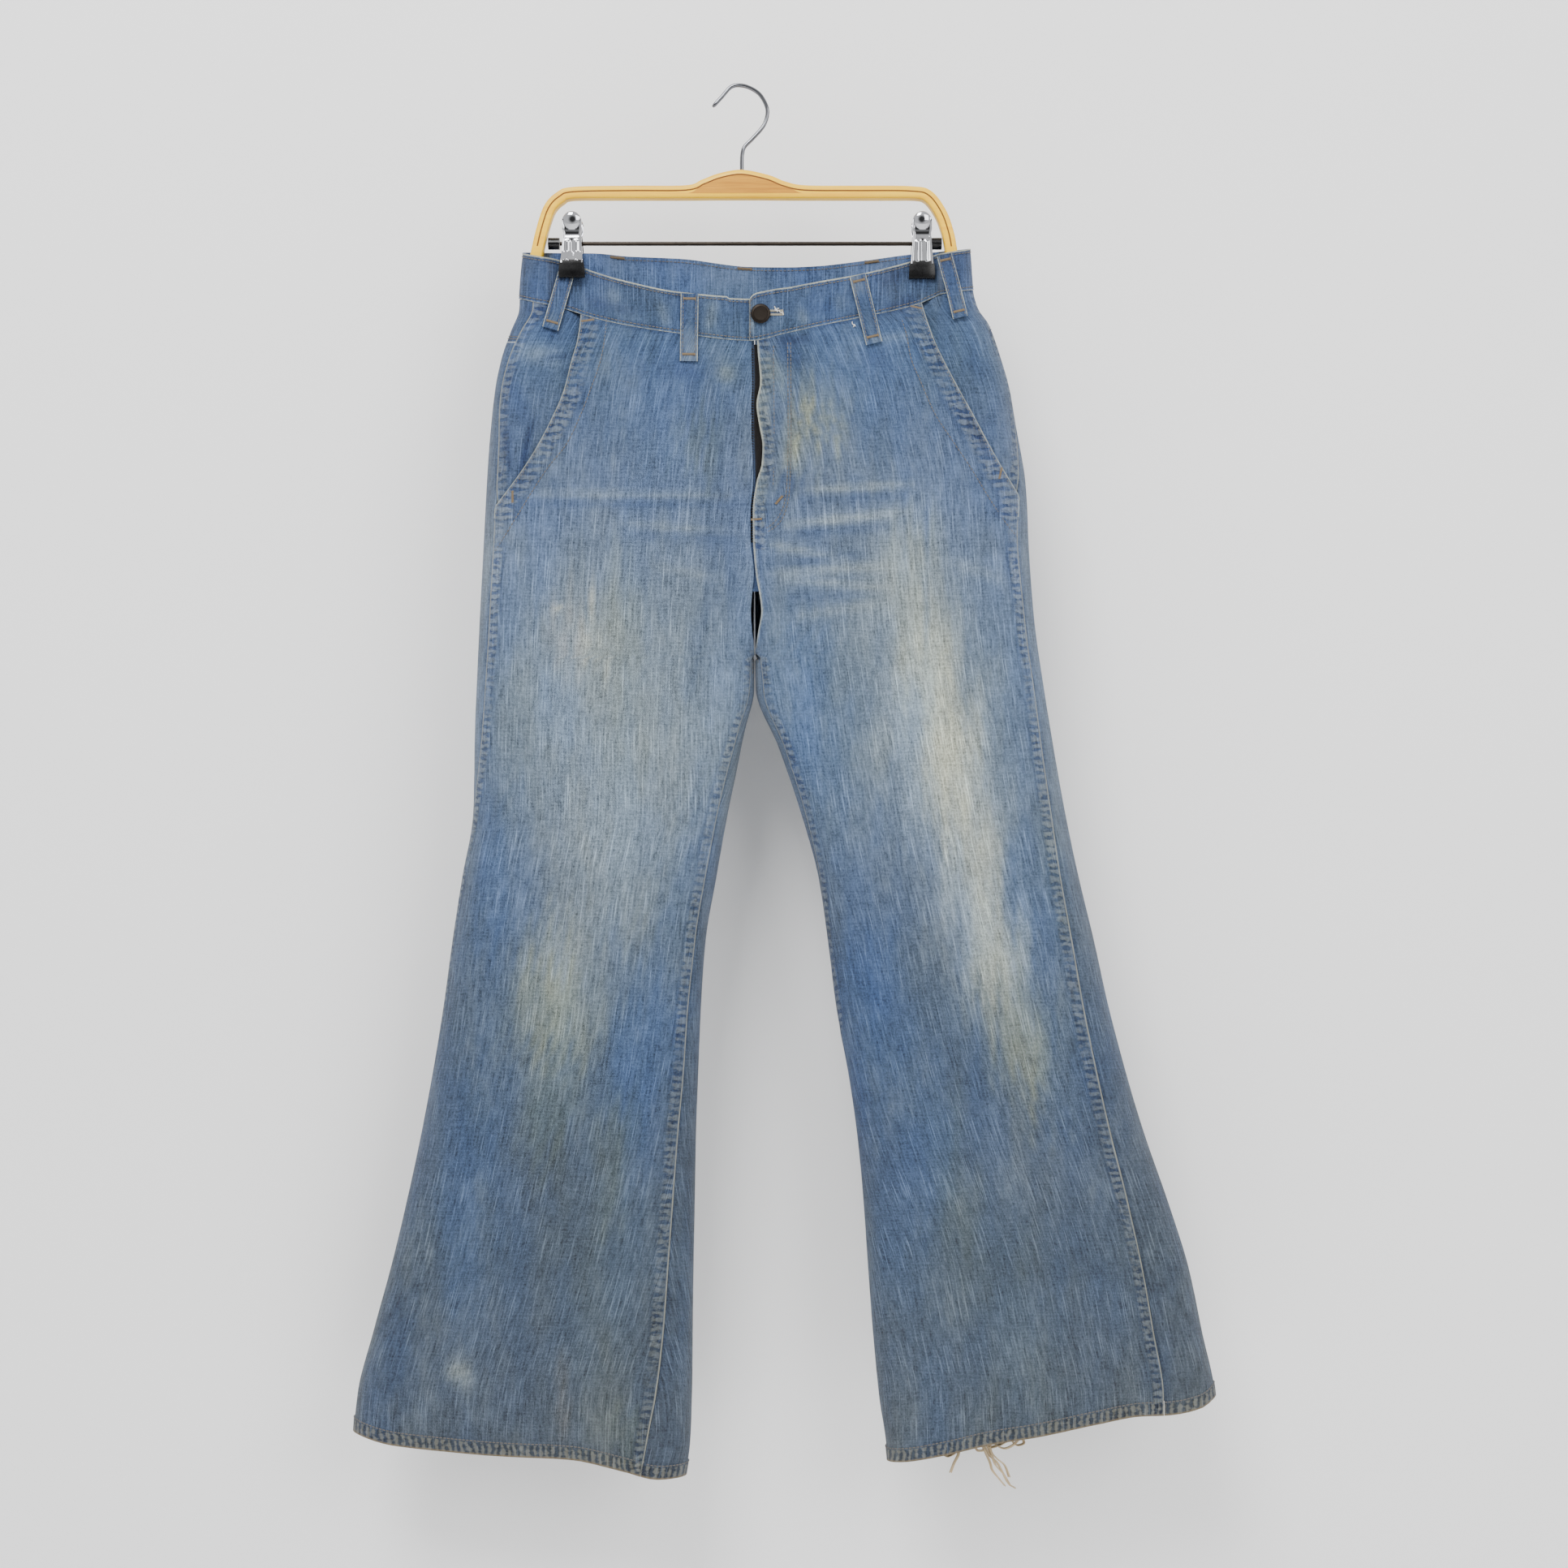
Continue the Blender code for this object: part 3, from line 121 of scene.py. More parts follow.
# How a piece's rows and columns are laid: first guesses at its edges, and rows close to them
BAND_DROPS = (150.0, 200.0)
PANEL_DROPS = (210.0, 1200.0)
SETTLE_STEPS = 12
TOP_FADE_DROP = 330.0
HEM_FADE_DROP = 945.0
HEM_ROWS = (0, 0.8, 1.8, 4, 7, 10, 12, 13, 14, 15.5)
BACK_NEAR = (0.0, 1.0, 2.2, 4.0, 7.0)

# The sewing: the buttonhole's start, the zip's first and last drop and pitch, and the frays' Y
BUTTONHOLE = (19.0, 199.6)
BUTTONHOLE_LENGTH = 16.0
ZIP_DROPS = (232.0, 404.0, 2.4)
ZIP_EDGES = (7.2, 10.4)
FRAY_Y = -21.0

# The looks: a mark far from any edge, lengths of the seams' ticks and the hem's roping in metres,
# and the width in millimetres past which a wash's outline wanders
FAR = 99.0
TICK_LENGTH = 0.0070
ROPE_LENGTH = 0.0058
BROAD_WASH = 11.0

# The frame's depth, and where the lights aim, in metres
WOOD_DEPTH = 12.5
AIM = (0.04, 0.0, -0.65)


class Table:
    """Rows of sizes under named columns, read between rows along curves that never overshoot."""

    def __init__(self, columns: str, rows: Sequence[Sequence[float]]) -> None:
        """Keep the rows.

        Args:
            columns: The columns' names, parted by spaces.
            rows: The rows, each with a value for every column.
        """
        self.columns = columns.split()
        self.values = np.array(rows, float)

    def at(self, column: str, where: Array | float) -> Array:
        """Read a column between its rows.

        Args:
            column: The column's name.
            where: Places along the first column.

        Returns:
            The column's values there.
        """
        keys = self.values[:, 0]
        values = self.values[:, self.columns.index(column)]
        steps = np.diff(keys)
        rates = np.diff(values) / steps
        slopes = np.zeros_like(values)
        slopes[0], slopes[-1] = rates[0], rates[-1]
        product = rates[:-1] * rates[1:]
        total = np.where(product > 0, rates[:-1] + rates[1:], 1.0)
        slopes[1:-1] = np.where(product > 0, 2 * product / total, 0.0)
        place = np.clip(np.asarray(where, float), keys[0], keys[-1])
        row = np.clip(np.searchsorted(keys, place, side="right") - 1, 0, len(keys) - 2)
        step = steps[row]
        t = (place - keys[row]) / step
        start = values[row] * (1 + 2 * t) * (1 - t) ** 2 + slopes[row] * step * t * (1 - t) ** 2
        end = values[row + 1] * t * t * (3 - 2 * t) + slopes[row + 1] * step * t * t * (t - 1)
        return start + end


SECTION_COLUMNS = "drop outer inner front back round middle outseam inseam"

RIGHT_SECTIONS = Table(SECTION_COLUMNS, (
    (140, -193.5, 11.3, 13, 13, 22, 0, 11, 0),
    (180, -197.0, 11.3, 14, 14, 23, 0, 11, 0),
    (196, -197.5, 11.3, 15, 16, 24, 0, 11, 0),
    (217, -205.2, 11.3, 18, 19, 25, 0, 8, 0),
    (240, -213.1, 11.3, 20, 22, 26, 0, 6, 0),
    (268, -218.9, 11.3, 22, 25, 28, 0, 5, 0),
    (325, -224.6, 11.3, 25, 28, 30, 0, 8, 0),
    (403, -229.0, 11.3, 28, 31, 33, 0, 8.6, 0),
    (470, -232.5, 11.3, 30, 33, 35, 0, 8.4, 1),
    (533, -235.4, 11.2, 30, 33, 37, 0, 7.5, 4),
    (570, -236.9, 3.0, 30, 32, 38, 1, 6.5, 5.6),
    (613, -237.6, -5.8, 29, 32, 38, 1, 3.0, 8.2),
    (642, -238.3, -11.8, 28, 31, 38, 2, 1.0, 9.0),
    (700, -247.7, -22.2, 27, 30, 38, 3, 0.1, 9.6),
    (757, -256.3, -31.8, 26, 29, 37, 4, 0, 9.2),
    (815, -264.2, -36.0, 25, 28, 36, 5, 0, 11),
    (873, -273.6, -38.4, 24, 27, 36, 6, -1, 12.5),
    (930, -284.4, -40.4, 23, 26, 36, 7, -2, 15.5),
    (988, -297.4, -41.5, 22, 25, 36, 8, -4, 18.5),
    (1045, -311.0, -42.5, 22, 25, 36, 8, -6, 21.6),
    (1103, -326.9, -43.2, 22, 25, 36, 9, -8, 25),
    (1160, -341.3, -43.9, 23, 26, 37, 9, -9, 31),
    (1200, -344.4, -45.5, 23, 27, 38, 9, -10, 37),
    (1240, -344.6, -51.0, 24, 28, 38, 9, -10, 39),
))

LEFT_SECTIONS = Table(SECTION_COLUMNS, (
    (140, 202.3, 11.3, 13, 13, 22, 0, 0.0, 0),
    (180, 205.2, 11.3, 14, 14, 23, 0, 0.0, 0),
    (196, 209.5, 11.3, 15, 16, 24, 0, 0.0, 0),
    (210, 218.9, 11.3, 17, 18, 25, 0, 0.0, 0),
    (240, 229.7, 11.3, 20, 22, 26, 0, 0.0, 0),
    (268, 237.6, 11.3, 22, 25, 28, 0, 0.0, 0),
    (297, 242.6, 11.3, 24, 27, 30, 0, 0.5, 0),
    (354, 252.0, 11.3, 26, 29, 32, 0, 6.0, 0),
    (412, 254.9, 11.3, 28, 31, 34, 0, 9.5, 0),
    (470, 259.2, 11.3, 30, 33, 35, 0, 8.2, 1),
    (533, 268.0, 12.2, 30, 33, 37, 0, 8.6, 6.5),
    (585, 276.5, 32.3, 30, 32, 38, -1, 10.2, 5.2),
    (642, 286.6, 51.7, 29, 32, 38, -2, 12.0, 4.0),
    (700, 298.8, 67.6, 28, 31, 38, -3, 15.5, 1.6),
    (757, 312.5, 76.1, 27, 30, 37, -4, 18.8, 0.4),
    (815, 325.4, 83.4, 26, 29, 36, -5, 21.5, 0.8),
    (873, 340.6, 94.4, 25, 28, 36, -6, 24.8, -2),
    (930, 357.8, 102.2, 24, 27, 36, -7, 29.0, -3.5),
    (988, 378.0, 107.6, 23, 26, 36, -8, 34.5, -5),
    (1045, 396.0, 111.6, 22, 25, 36, -8, 40.0, -6.5),
    (1103, 408.2, 115.9, 22, 25, 36, -9, 42.0, -8),
    (1160, 419.8, 121.3, 22, 26, 37, -9, 44.5, -9),
    (1200, 421.5, 127.5, 23, 27, 38, -9, 46.0, -10),
    (1240, 422.0, 131.0, 24, 28, 38, -9, 46.0, -10),
))

# Each front panel's edge at the centre: the left one is the fly's wavy edge
FRONT_CENTRE = Table("drop right left", (
    (215, 8.6, 12.6), (234, 9.0, 13.7), (261, 9.4, 15.8), (281, 8.8, 12.6), (300, 8.8, 15.1),
    (318, 9.4, 18.0), (333, 10.0, 17.3), (350, 10.4, 12.6), (376, 8.0, 9.4), (399, 8.0, 9.6),
    (431, 11.0, 12.0), (450, 9.4, 15.2), (464, 8.6, 16.6), (482, 9.8, 14.0), (498, 11.3, 11.9),
    (505, 11.3, 11.3),
))

# How far the middle of the front and back stands out past the plain section
BOW = Table("drop front back", (
    (140, 15, 4), (190, 15, 5), (240, 10, 7), (330, 5, 8), (410, 3, 5), (475, 0, 0), (1240, 0, 0),
))

# Drops of the band's edges across the waist
WAIST = Table("x front_top front_seam back_top back_seam", (
    (-196, 146.8, 187.7, 146.2, 187.7), (-157, 154.1, 196.6, 146.9, 187.4),
    (-134, 162.2, 203.8, 147.0, 187.6), (-102, 171.7, 211.0, 149.8, 189.8),
    (-55, 181.2, 218.2, 151.9, 192.0), (8, 185.8, 224.6, 159.1, 199.0),
    (38, 178.0, 218.2, 159.5, 199.2), (67, 172.2, 211.7, 158.4, 197.4),
    (106, 165.2, 203.8, 154.0, 192.6), (154, 153.2, 193.0, 147.6, 185.6),
    (180, 146.6, 182.9, 145.4, 181.6), (206, 142.4, 179.3, 142.6, 179.3),
))

# The bottom edge of each leg's front
HEMS = {
    -1: Table("x drop", (
        (-345, 1199.5), (-310, 1207.4), (-263, 1212.5), (-195, 1216.8), (-149, 1220.4),
        (-103, 1231.9), (-73, 1238.4), (-50, 1238.8),
    )),
    1: Table("x drop", (
        (130, 1221.1), (173, 1213.2), (220, 1201.7), (263, 1193.8), (315, 1183.7), (355, 1176.5),
        (375, 1175.8), (407, 1170.7), (420, 1162.8),
    )),
}

# The free edge of each slanted pocket
POCKET = Table("drop right left", (
    (185, -142.4, 158.0), (205, -143.5, 164.2), (224, -146.2, 171.0), (242, -151.4, 179.5),
    (269, -158.4, 193.8), (291, -167.8, 206.1), (316, -180.7, 219.2), (336, -193.0, 230.0),
    (363, -211.7, 245.5), (385, -228.0, 258.0),
))

# Long soft folds and smaller creases: height is outward, from the upper point to the lower one
FOLD_COLUMNS = "side face x_top drop_top x_end drop_end width height"
FOLDS = Table(FOLD_COLUMNS, (
    (-1, 1, -4, 440, -30, 565, 13, -7),
    (-1, 1, -26, 470, -62, 690, 22, 5),
    (-1, 1, -205, 380, -150, 720, 34, 4),
    (-1, 1, -150, 900, -215, 1225, 40, 6),
    (-1, 1, -90, 960, -105, 1230, 20, -4),
    (-1, -1, -60, 475, -90, 660, 30, -6),
    (-1, -1, -170, 700, -220, 1230, 34, -7),
    (-1, -1, -85, 860, -110, 1230, 30, 7),
    (1, 1, 40, 450, 92, 640, 26, -4),
    (1, 1, 170, 420, 235, 900, 42, 5),
    (1, 1, 210, 930, 262, 1200, 36, 6),
    (1, 1, 150, 1000, 165, 1215, 20, -4),
    (1, -1, 80, 475, 130, 680, 30, -6),
    (1, -1, 270, 700, 330, 1180, 36, -7),
    (1, -1, 170, 880, 205, 1210, 30, 7),
))

CREASES = Table(FOLD_COLUMNS, (
    (-1, 1, 0, 352, -74, 362, 4.5, 0.7),
    (-1, 1, -4, 376, -96, 392, 5.0, 0.8),
    (-1, 1, 2, 404, -60, 430, 5.5, 0.8),
    (-1, 1, -6, 430, -44, 520, 7.0, -1.6),
    (-1, 1, -30, 545, -64, 640, 9.0, 1.2),
    (-1, 1, -200, 395, -120, 402, 6.0, 0.6),
    (-1, 1, -222, 520, -150, 610, 12.0, 1.0),
    (-1, 1, -225, 640, -180, 760, 12.0, -1.0),
    (-1, 1, -66, 760, -96, 880, 10.0, 1.2),
    (-1, 1, -118, 700, -132, 900, 12.0, -0.9),
    (-1, 1, -160, 1120, -152, 1215, 5.0, 1.1),
    (-1, 1, -215, 1130, -178, 1150, 5.0, -0.9),
    (-1, 1, -262, 1010, -300, 1190, 14.0, -1.2),
    (-1, 1, -110, 1150, -84, 1205, 5.0, 1.2),
    (1, 1, 20, 372, 70, 366, 4.0, 0.9),
    (1, 1, 18, 402, 128, 398, 5.0, 1.1),
    (1, 1, 22, 424, 112, 436, 5.0, -0.9),
    (1, 1, 16, 446, 96, 470, 6.0, 1.2),
    (1, 1, 70, 352, 150, 345, 5.0, 0.8),
    (1, 1, 140, 410, 215, 400, 7.0, 0.7),
    (1, 1, 44, 560, 96, 690, 9.0, 1.1),
    (1, 1, 236, 470, 226, 610, 12.0, -1.0),
    (1, 1, 108, 760, 138, 900, 12.0, -1.1),
    (1, 1, 262, 780, 300, 960, 14.0, -1.1),
    (1, 1, 168, 1140, 152, 1205, 6.0, 1.1),
    (1, 1, 246, 1120, 262, 1190, 6.0, -1.0),
    (1, 1, 300, 1090, 312, 1180, 6.0, 1.0),
    (-1, -1, -40, 392, -130, 430, 6.0, 1.0),
    (-1, -1, -50, 430, -150, 478, 7.0, -1.1),
    (-1, -1, -80, 690, -190, 712, 8.0, 1.2),
    (-1, -1, -210, 716, -110, 742, 7.0, -1.0),
    (-1, -1, -96, 758, -176, 776, 8.0, 1.1),
    (-1, -1, -250, 960, -280, 1160, 14.0, 1.0),
    (1, -1, 56, 392, 150, 430, 6.0, 1.0),
    (1, -1, 66, 430, 172, 474, 7.0, -1.1),
    (1, -1, 120, 690, 226, 706, 8.0, 1.2),
    (1, -1, 250, 712, 150, 738, 7.0, -1.0),
    (1, -1, 140, 756, 230, 772, 8.0, 1.1),
    (1, -1, 330, 980, 350, 1150, 14.0, 1.0),
))

# Each loop's upper and lower end, its width and its least gap from the cloth
LOOPS = Table("face x_top drop_top x_end drop_end width gap", (
    (1, -153.1, 155.4, -169.9, 213.8, 14.0, 0.7),
    (1, -46.1, 182.6, -47.0, 242.6, 15.6, 0.35),
    (1, 102.6, 166.6, 117.4, 226.8, 14.2, 0.35),
    (1, 180.4, 148.4, 193.7, 203.8, 13.0, 0.7),
    (-1, -110.9, 150.0, -112.0, 208.0, 14.5, 0.35),
    (-1, 2.0, 159.5, 2.0, 218.0, 14.5, 0.35),
    (-1, 115.9, 153.2, 117.0, 211.0, 14.5, 0.35),
))
LOOP_NAMES = (
    "belt_loop_front_right_outer", "belt_loop_front_right_inner", "belt_loop_front_left_inner",
    "belt_loop_front_left_outer", "belt_loop_back_right", "belt_loop_back_centre",
    "belt_loop_back_left",
)

BACK_POCKETS = Table("side x drop width height point", (
    (-1, -92, 272, 142, 150, 18),
    (1, 116, 272, 142, 150, 18),
))


class Tone(Enum):
    """Colours of wear, wash, stains, painted shade and painted highlights on the denim, as screen values 0 to
    255.
    """

    INDIGO = (42, 60, 96)
    NAVY = (32, 46, 78)
    BLUE = (72, 94, 128)
    PALE = (150, 162, 166)
    CHALK = (184, 190, 182)
    STRAW = (138, 142, 118)
    CREAM = (188, 190, 168)
    AZURE = (62, 88, 130)
    OLIVE = (92, 100, 86)
    ROSE = (160, 158, 160)
    TAN = (132, 116, 92)
    RUST = (74, 54, 38)
    UNDERLAP = (58, 74, 102)
    # The near black of the painted shadow in the fly's gape
    GAPE_SHADOW = (20, 17, 17)


# Wash, wear and stains by side and face, with painted shadow in the pocket gaps and a facing crease, and
# painted shade and highlights on the band's wrinkles: each is a soft streak from its upper point to its lower
# one, as x_top, drop_top, x_end, drop_end, width and strength
WASHES: dict[tuple[int, int], tuple[tuple[Tone, tuple[float, ...]], ...]] = {
    (-1, 1): (
        (Tone.AZURE, (-110, 240, -60, 330, 34, 0.30)), (Tone.AZURE, (-212, 640, -226, 760, 20, 0.40)),
        (Tone.AZURE, (-92, 800, -96, 960, 20, 0.35)), (Tone.AZURE, (-230, 880, -250, 1060, 26, 0.30)),
        (Tone.STRAW, (-108, 400, -106, 640, 18, 0.32)), (Tone.PALE, (-48, 480, -64, 700, 38, 0.32)),
        (Tone.CREAM, (-138, 470, -132, 505, 15, 0.45)), (Tone.PALE, (-118, 630, -114, 700, 40, 0.32)),
        (Tone.STRAW, (-160, 770, -164, 870, 36, 0.52)), (Tone.OLIVE, (-168, 890, -176, 960, 18, 0.30)),
        (Tone.OLIVE, (-112, 900, -116, 1000, 16, 0.35)), (Tone.CREAM, (-255, 1132, -251, 1146, 9, 0.40)),
        # The NAVY streaks from (-186, 296) and (-210, 300): painted shadow in the pocket's gap and in a
        # crease of the facing
        (Tone.PALE, (-226, 395, -232, 470, 9, 0.30)), (Tone.NAVY, (-186, 296, -197, 346, 3.2, 0.75)),
        (Tone.NAVY, (-210, 300, -206, 340, 4.0, 0.45)), (Tone.PALE, (-200, 232, -160, 240, 9.0, 0.35)),
        (Tone.NAVY, (-176, 240, -152, 238, 3.0, 0.50)), (Tone.STRAW, (-14, 246, -12, 262, 9.0, 0.35)),
        # From the NAVY streak at (-136, 188) to the PALE one at (-118, 178): painted shade and painted
        # highlights on the band's wrinkles
        (Tone.OLIVE, (-36, 290, -30, 330, 16.0, 0.30)), (Tone.NAVY, (-136, 188, -94, 199, 5.0, 0.50)),
        (Tone.NAVY, (-190, 196, -172, 199, 4.0, 0.45)), (Tone.INDIGO, (-186, 168, -176, 190, 6.0, 0.35)),
        (Tone.PALE, (-72, 190, -66, 212, 5.0, 0.28)), (Tone.PALE, (-24, 188, -30, 214, 6.0, 0.30)),
        (Tone.PALE, (-118, 178, -112, 192, 6.0, 0.22)), (Tone.INDIGO, (-60, 250, -34, 252, 9.0, 0.50)),
        (Tone.INDIGO, (-204, 262, -190, 300, 8.0, 0.30)), (Tone.INDIGO, (-176, 214, -160, 220, 6.0, 0.45)),
        (Tone.PALE, (-190, 360, -10, 362, 3.6, 0.30)), (Tone.INDIGO, (-200, 368, 2, 370, 4.5, 0.30)),
        (Tone.PALE, (-110, 386, -6, 394, 3.6, 0.28)), (Tone.INDIGO, (-100, 396, -10, 402, 5.0, 0.20)),
        (Tone.PALE, (-80, 424, -16, 436, 4.0, 0.20)), (Tone.INDIGO, (-26, 430, -46, 540, 7.0, 0.35)),
        (Tone.PALE, (-150, 450, -140, 600, 48, 0.34)), (Tone.ROSE, (-154, 470, -150, 500, 20, 0.34)),
        (Tone.CHALK, (-164, 460, -163, 464, 4, 0.7)), (Tone.PALE, (-140, 600, -120, 780, 56, 0.34)),
        (Tone.STRAW, (-100, 660, -96, 760, 40, 0.20)), (Tone.STRAW, (-166, 770, -172, 850, 26, 0.48)),
        (Tone.PALE, (-152, 740, -166, 790, 24, 0.30)), (Tone.OLIVE, (-160, 870, -176, 940, 30, 0.22)),
        (Tone.BLUE, (-46, 640, -66, 780, 22, 0.40)), (Tone.BLUE, (-70, 800, -80, 900, 30, 0.30)),
        (Tone.INDIGO, (-40, 250, -10, 470, 12, 0.24)), (Tone.INDIGO, (-110, 245, -40, 250, 16, 0.28)),
        (Tone.OLIVE, (-60, 300, -24, 340, 18, 0.16)), (Tone.INDIGO, (-226, 470, -236, 760, 14, 0.20)),
        (Tone.INDIGO, (-300, 1080, -330, 1190, 26, 0.30)), (Tone.OLIVE, (-120, 940, -130, 1180, 44, 0.16)),
        (Tone.PALE, (-250, 1138, -240, 1152, 10, 0.26)), (Tone.TAN, (-160, 1120, -158, 1200, 6, 0.28)),
        (Tone.OLIVE, (-110, 1180, -90, 1220, 16, 0.30)), (Tone.RUST, (-46.5, 866, -45.5, 869, 3, 0.75)),
    ),
    (-1, -1): (
        (Tone.PALE, (-110, 400, -120, 520, 60, 0.34)), (Tone.BLUE, (-150, 680, -160, 800, 50, 0.30)),
        (Tone.PALE, (-170, 900, -190, 1010, 40, 0.16)),
    ),
    (1, 1): (
        (Tone.PALE, (144, 380, 166, 545, 30, 0.48)), (Tone.STRAW, (146, 390, 166, 545, 22, 0.30)),
        (Tone.PALE, (166, 545, 202, 690, 42, 0.60)), (Tone.CREAM, (160, 480, 206, 690, 25, 0.72)),
        (Tone.PALE, (202, 690, 234, 810, 36, 0.66)), (Tone.CREAM, (206, 690, 230, 800, 20, 0.52)),
        (Tone.STRAW, (228, 790, 268, 900, 24, 0.55)), (Tone.PALE, (128, 430, 150, 640, 24, 0.20)),
        (Tone.AZURE, (40, 480, 70, 620, 26, 0.40)), (Tone.AZURE, (108, 760, 124, 900, 30, 0.45)),
        (Tone.AZURE, (240, 640, 262, 760, 20, 0.35)), (Tone.AZURE, (160, 880, 178, 990, 26, 0.30)),
        (Tone.OLIVE, (184, 900, 196, 1040, 16, 0.25)), (Tone.AZURE, (90, 236, 130, 330, 26, 0.30)),
        (Tone.PALE, (55, 357, 150, 352, 3.6, 0.50)), (Tone.PALE, (40, 388, 150, 376, 4.2, 0.55)),
        (Tone.PALE, (20, 404, 96, 420, 3.6, 0.45)), (Tone.PALE, (28, 430, 140, 424, 4.6, 0.45)),
        (Tone.PALE, (36, 436, 130, 444, 3.4, 0.40)), (Tone.PALE, (44, 470, 120, 458, 5.0, 0.30)),
        (Tone.INDIGO, (50, 366, 150, 362, 5.0, 0.28)), (Tone.INDIGO, (30, 396, 130, 390, 5.0, 0.30)),
        (Tone.INDIGO, (24, 424, 110, 414, 5.0, 0.28)), (Tone.INDIGO, (30, 452, 120, 450, 5.0, 0.25)),
        # From the NAVY streak at (128, 196) to the PALE one at (84, 184): painted shade and painted
        # highlights on the band's wrinkles
        (Tone.NAVY, (128, 196, 152, 188, 5.0, 0.40)), (Tone.NAVY, (122, 172, 146, 164, 6.0, 0.45)),
        (Tone.INDIGO, (40, 200, 96, 192, 8.0, 0.30)), (Tone.PALE, (52, 196, 56, 210, 4.0, 0.30)),
        (Tone.PALE, (84, 184, 88, 198, 5.0, 0.25)), (Tone.CHALK, (9, 188, 8, 218, 3.0, 0.35)),
        (Tone.NAVY, (34, 226, 60, 222, 5.0, 0.45)), (Tone.NAVY, (34, 236, 56, 246, 7.0, 0.35)),
        (Tone.INDIGO, (112, 236, 124, 244, 9.0, 0.45)), (Tone.PALE, (100, 226, 160, 218, 4.0, 0.22)),
        (Tone.PALE, (186, 420, 230, 436, 6.0, 0.25)), (Tone.PALE, (100, 330, 108, 345, 5.0, 0.20)),
        (Tone.INDIGO, (200, 236, 216, 262, 9.0, 0.30)), (Tone.STRAW, (66, 282, 58, 308, 27.0, 0.55)),
        # The NAVY streak from (196, 288): painted shadow in the pocket's gap
        (Tone.STRAW, (46, 300, 44, 340, 8.0, 0.35)), (Tone.NAVY, (196, 288, 222, 332, 3.0, 0.60)),
        (Tone.STRAW, (14, 250, 16, 380, 9.0, 0.45)), (Tone.STRAW, (24, 234, 30, 262, 10.0, 0.35)),
        (Tone.NAVY, (22, 222, 58, 224, 5.0, 0.45)), (Tone.NAVY, (32, 344, 58, 356, 8.0, 0.40)),
        (Tone.NAVY, (20, 300, 22, 344, 3.0, 0.45)), (Tone.STRAW, (62, 284, 62, 302, 17, 0.42)),
        (Tone.STRAW, (44, 318, 40, 338, 12, 0.28)), (Tone.INDIGO, (24, 232, 56, 238, 10, 0.45)),
        (Tone.INDIGO, (32, 362, 40, 378, 12, 0.35)), (Tone.INDIGO, (215, 330, 245, 420, 14, 0.22)),
        (Tone.BLUE, (60, 480, 88, 700, 30, 0.30)), (Tone.INDIGO, (250, 520, 300, 760, 22, 0.25)),
        (Tone.INDIGO, (96, 760, 116, 940, 26, 0.30)), (Tone.OLIVE, (268, 640, 288, 760, 10, 0.30)),
        (Tone.BLUE, (150, 930, 170, 1190, 40, 0.20)), (Tone.OLIVE, (220, 1010, 260, 1180, 40, 0.16)),
        (Tone.PALE, (236, 900, 246, 990, 14, 0.16)),
    ),
    (1, -1): (
        (Tone.PALE, (130, 400, 150, 520, 60, 0.34)), (Tone.BLUE, (190, 680, 210, 800, 50, 0.30)),
        (Tone.PALE, (240, 900, 270, 1010, 40, 0.16)),
    ),
}

# The plain denim's screen colour down the garment: palest at the thighs, darker at the band and towards the
# hems
DENIM = Table("drop red green blue", (
    (140, 60, 76, 108), (215, 64, 84, 114), (300, 76, 92, 118), (420, 88, 104, 128),
    (560, 92, 108, 128), (720, 76, 90, 112), (860, 66, 80, 102), (1000, 66, 78, 96),
    (1120, 68, 78, 92), (1240, 70, 78, 88),
))


def ease(share: Array | float) -> Array:
    """Return a smooth step from 0 to 1."""
    t = np.clip(share, 0.0, 1.0)
    return t * t * (3 - 2 * t)


def unit(vectors: Array) -> Array:
    """Return vectors at a length of 1."""
    return vectors / np.linalg.norm(vectors, axis=-1, keepdims=True)


def quarter(round_width: Array, depth: Array) -> Array:
    """Return about a quarter of an ellipse's length."""
    return math.pi / 2 * np.sqrt((round_width**2 + depth**2) / 2)


def linear(screen: Array) -> Array:
    """Return light values from 0 to 1 for screen values from 0 to 255."""
    share = np.asarray(screen, float) / 255
    return np.where(share <= 0.04045, share / 12.92, ((share + 0.055) / 1.055) ** 2.4)


def colour(red: float, green: float, blue: float) -> tuple[float, float, float, float]:
    """Return a shader colour for screen values from 0 to 255."""
    made = linear(np.array((red, green, blue)))
    return float(made[0]), float(made[1]), float(made[2]), 1.0


def streak(row: Sequence[float], x: Array, drop: Array) -> Array:
    """Tell how near points lie to a streak's line.

    Args:
        row: The streak, as x_top, drop_top, x_end, drop_end and width.
        x: Places across.
        drop: Places down.

    Returns:
        Values from 0, far from it, to 1 on it.
    """
    x_top, drop_top, x_end, drop_end, width = row
    line = np.array((x_end - x_top, drop_end - drop_top))
    along = ((x - x_top) * line[0] + (drop - drop_top) * line[1]) / max(float(line @ line), 1e-6)
    along = np.clip(along, 0, 1)
    away = (x - x_top - line[0] * along) ** 2 + (drop - drop_top - line[1] * along) ** 2
    return np.exp(-away / width**2) * (1 - 0.6 * np.abs(2 * along - 1) ** 3)


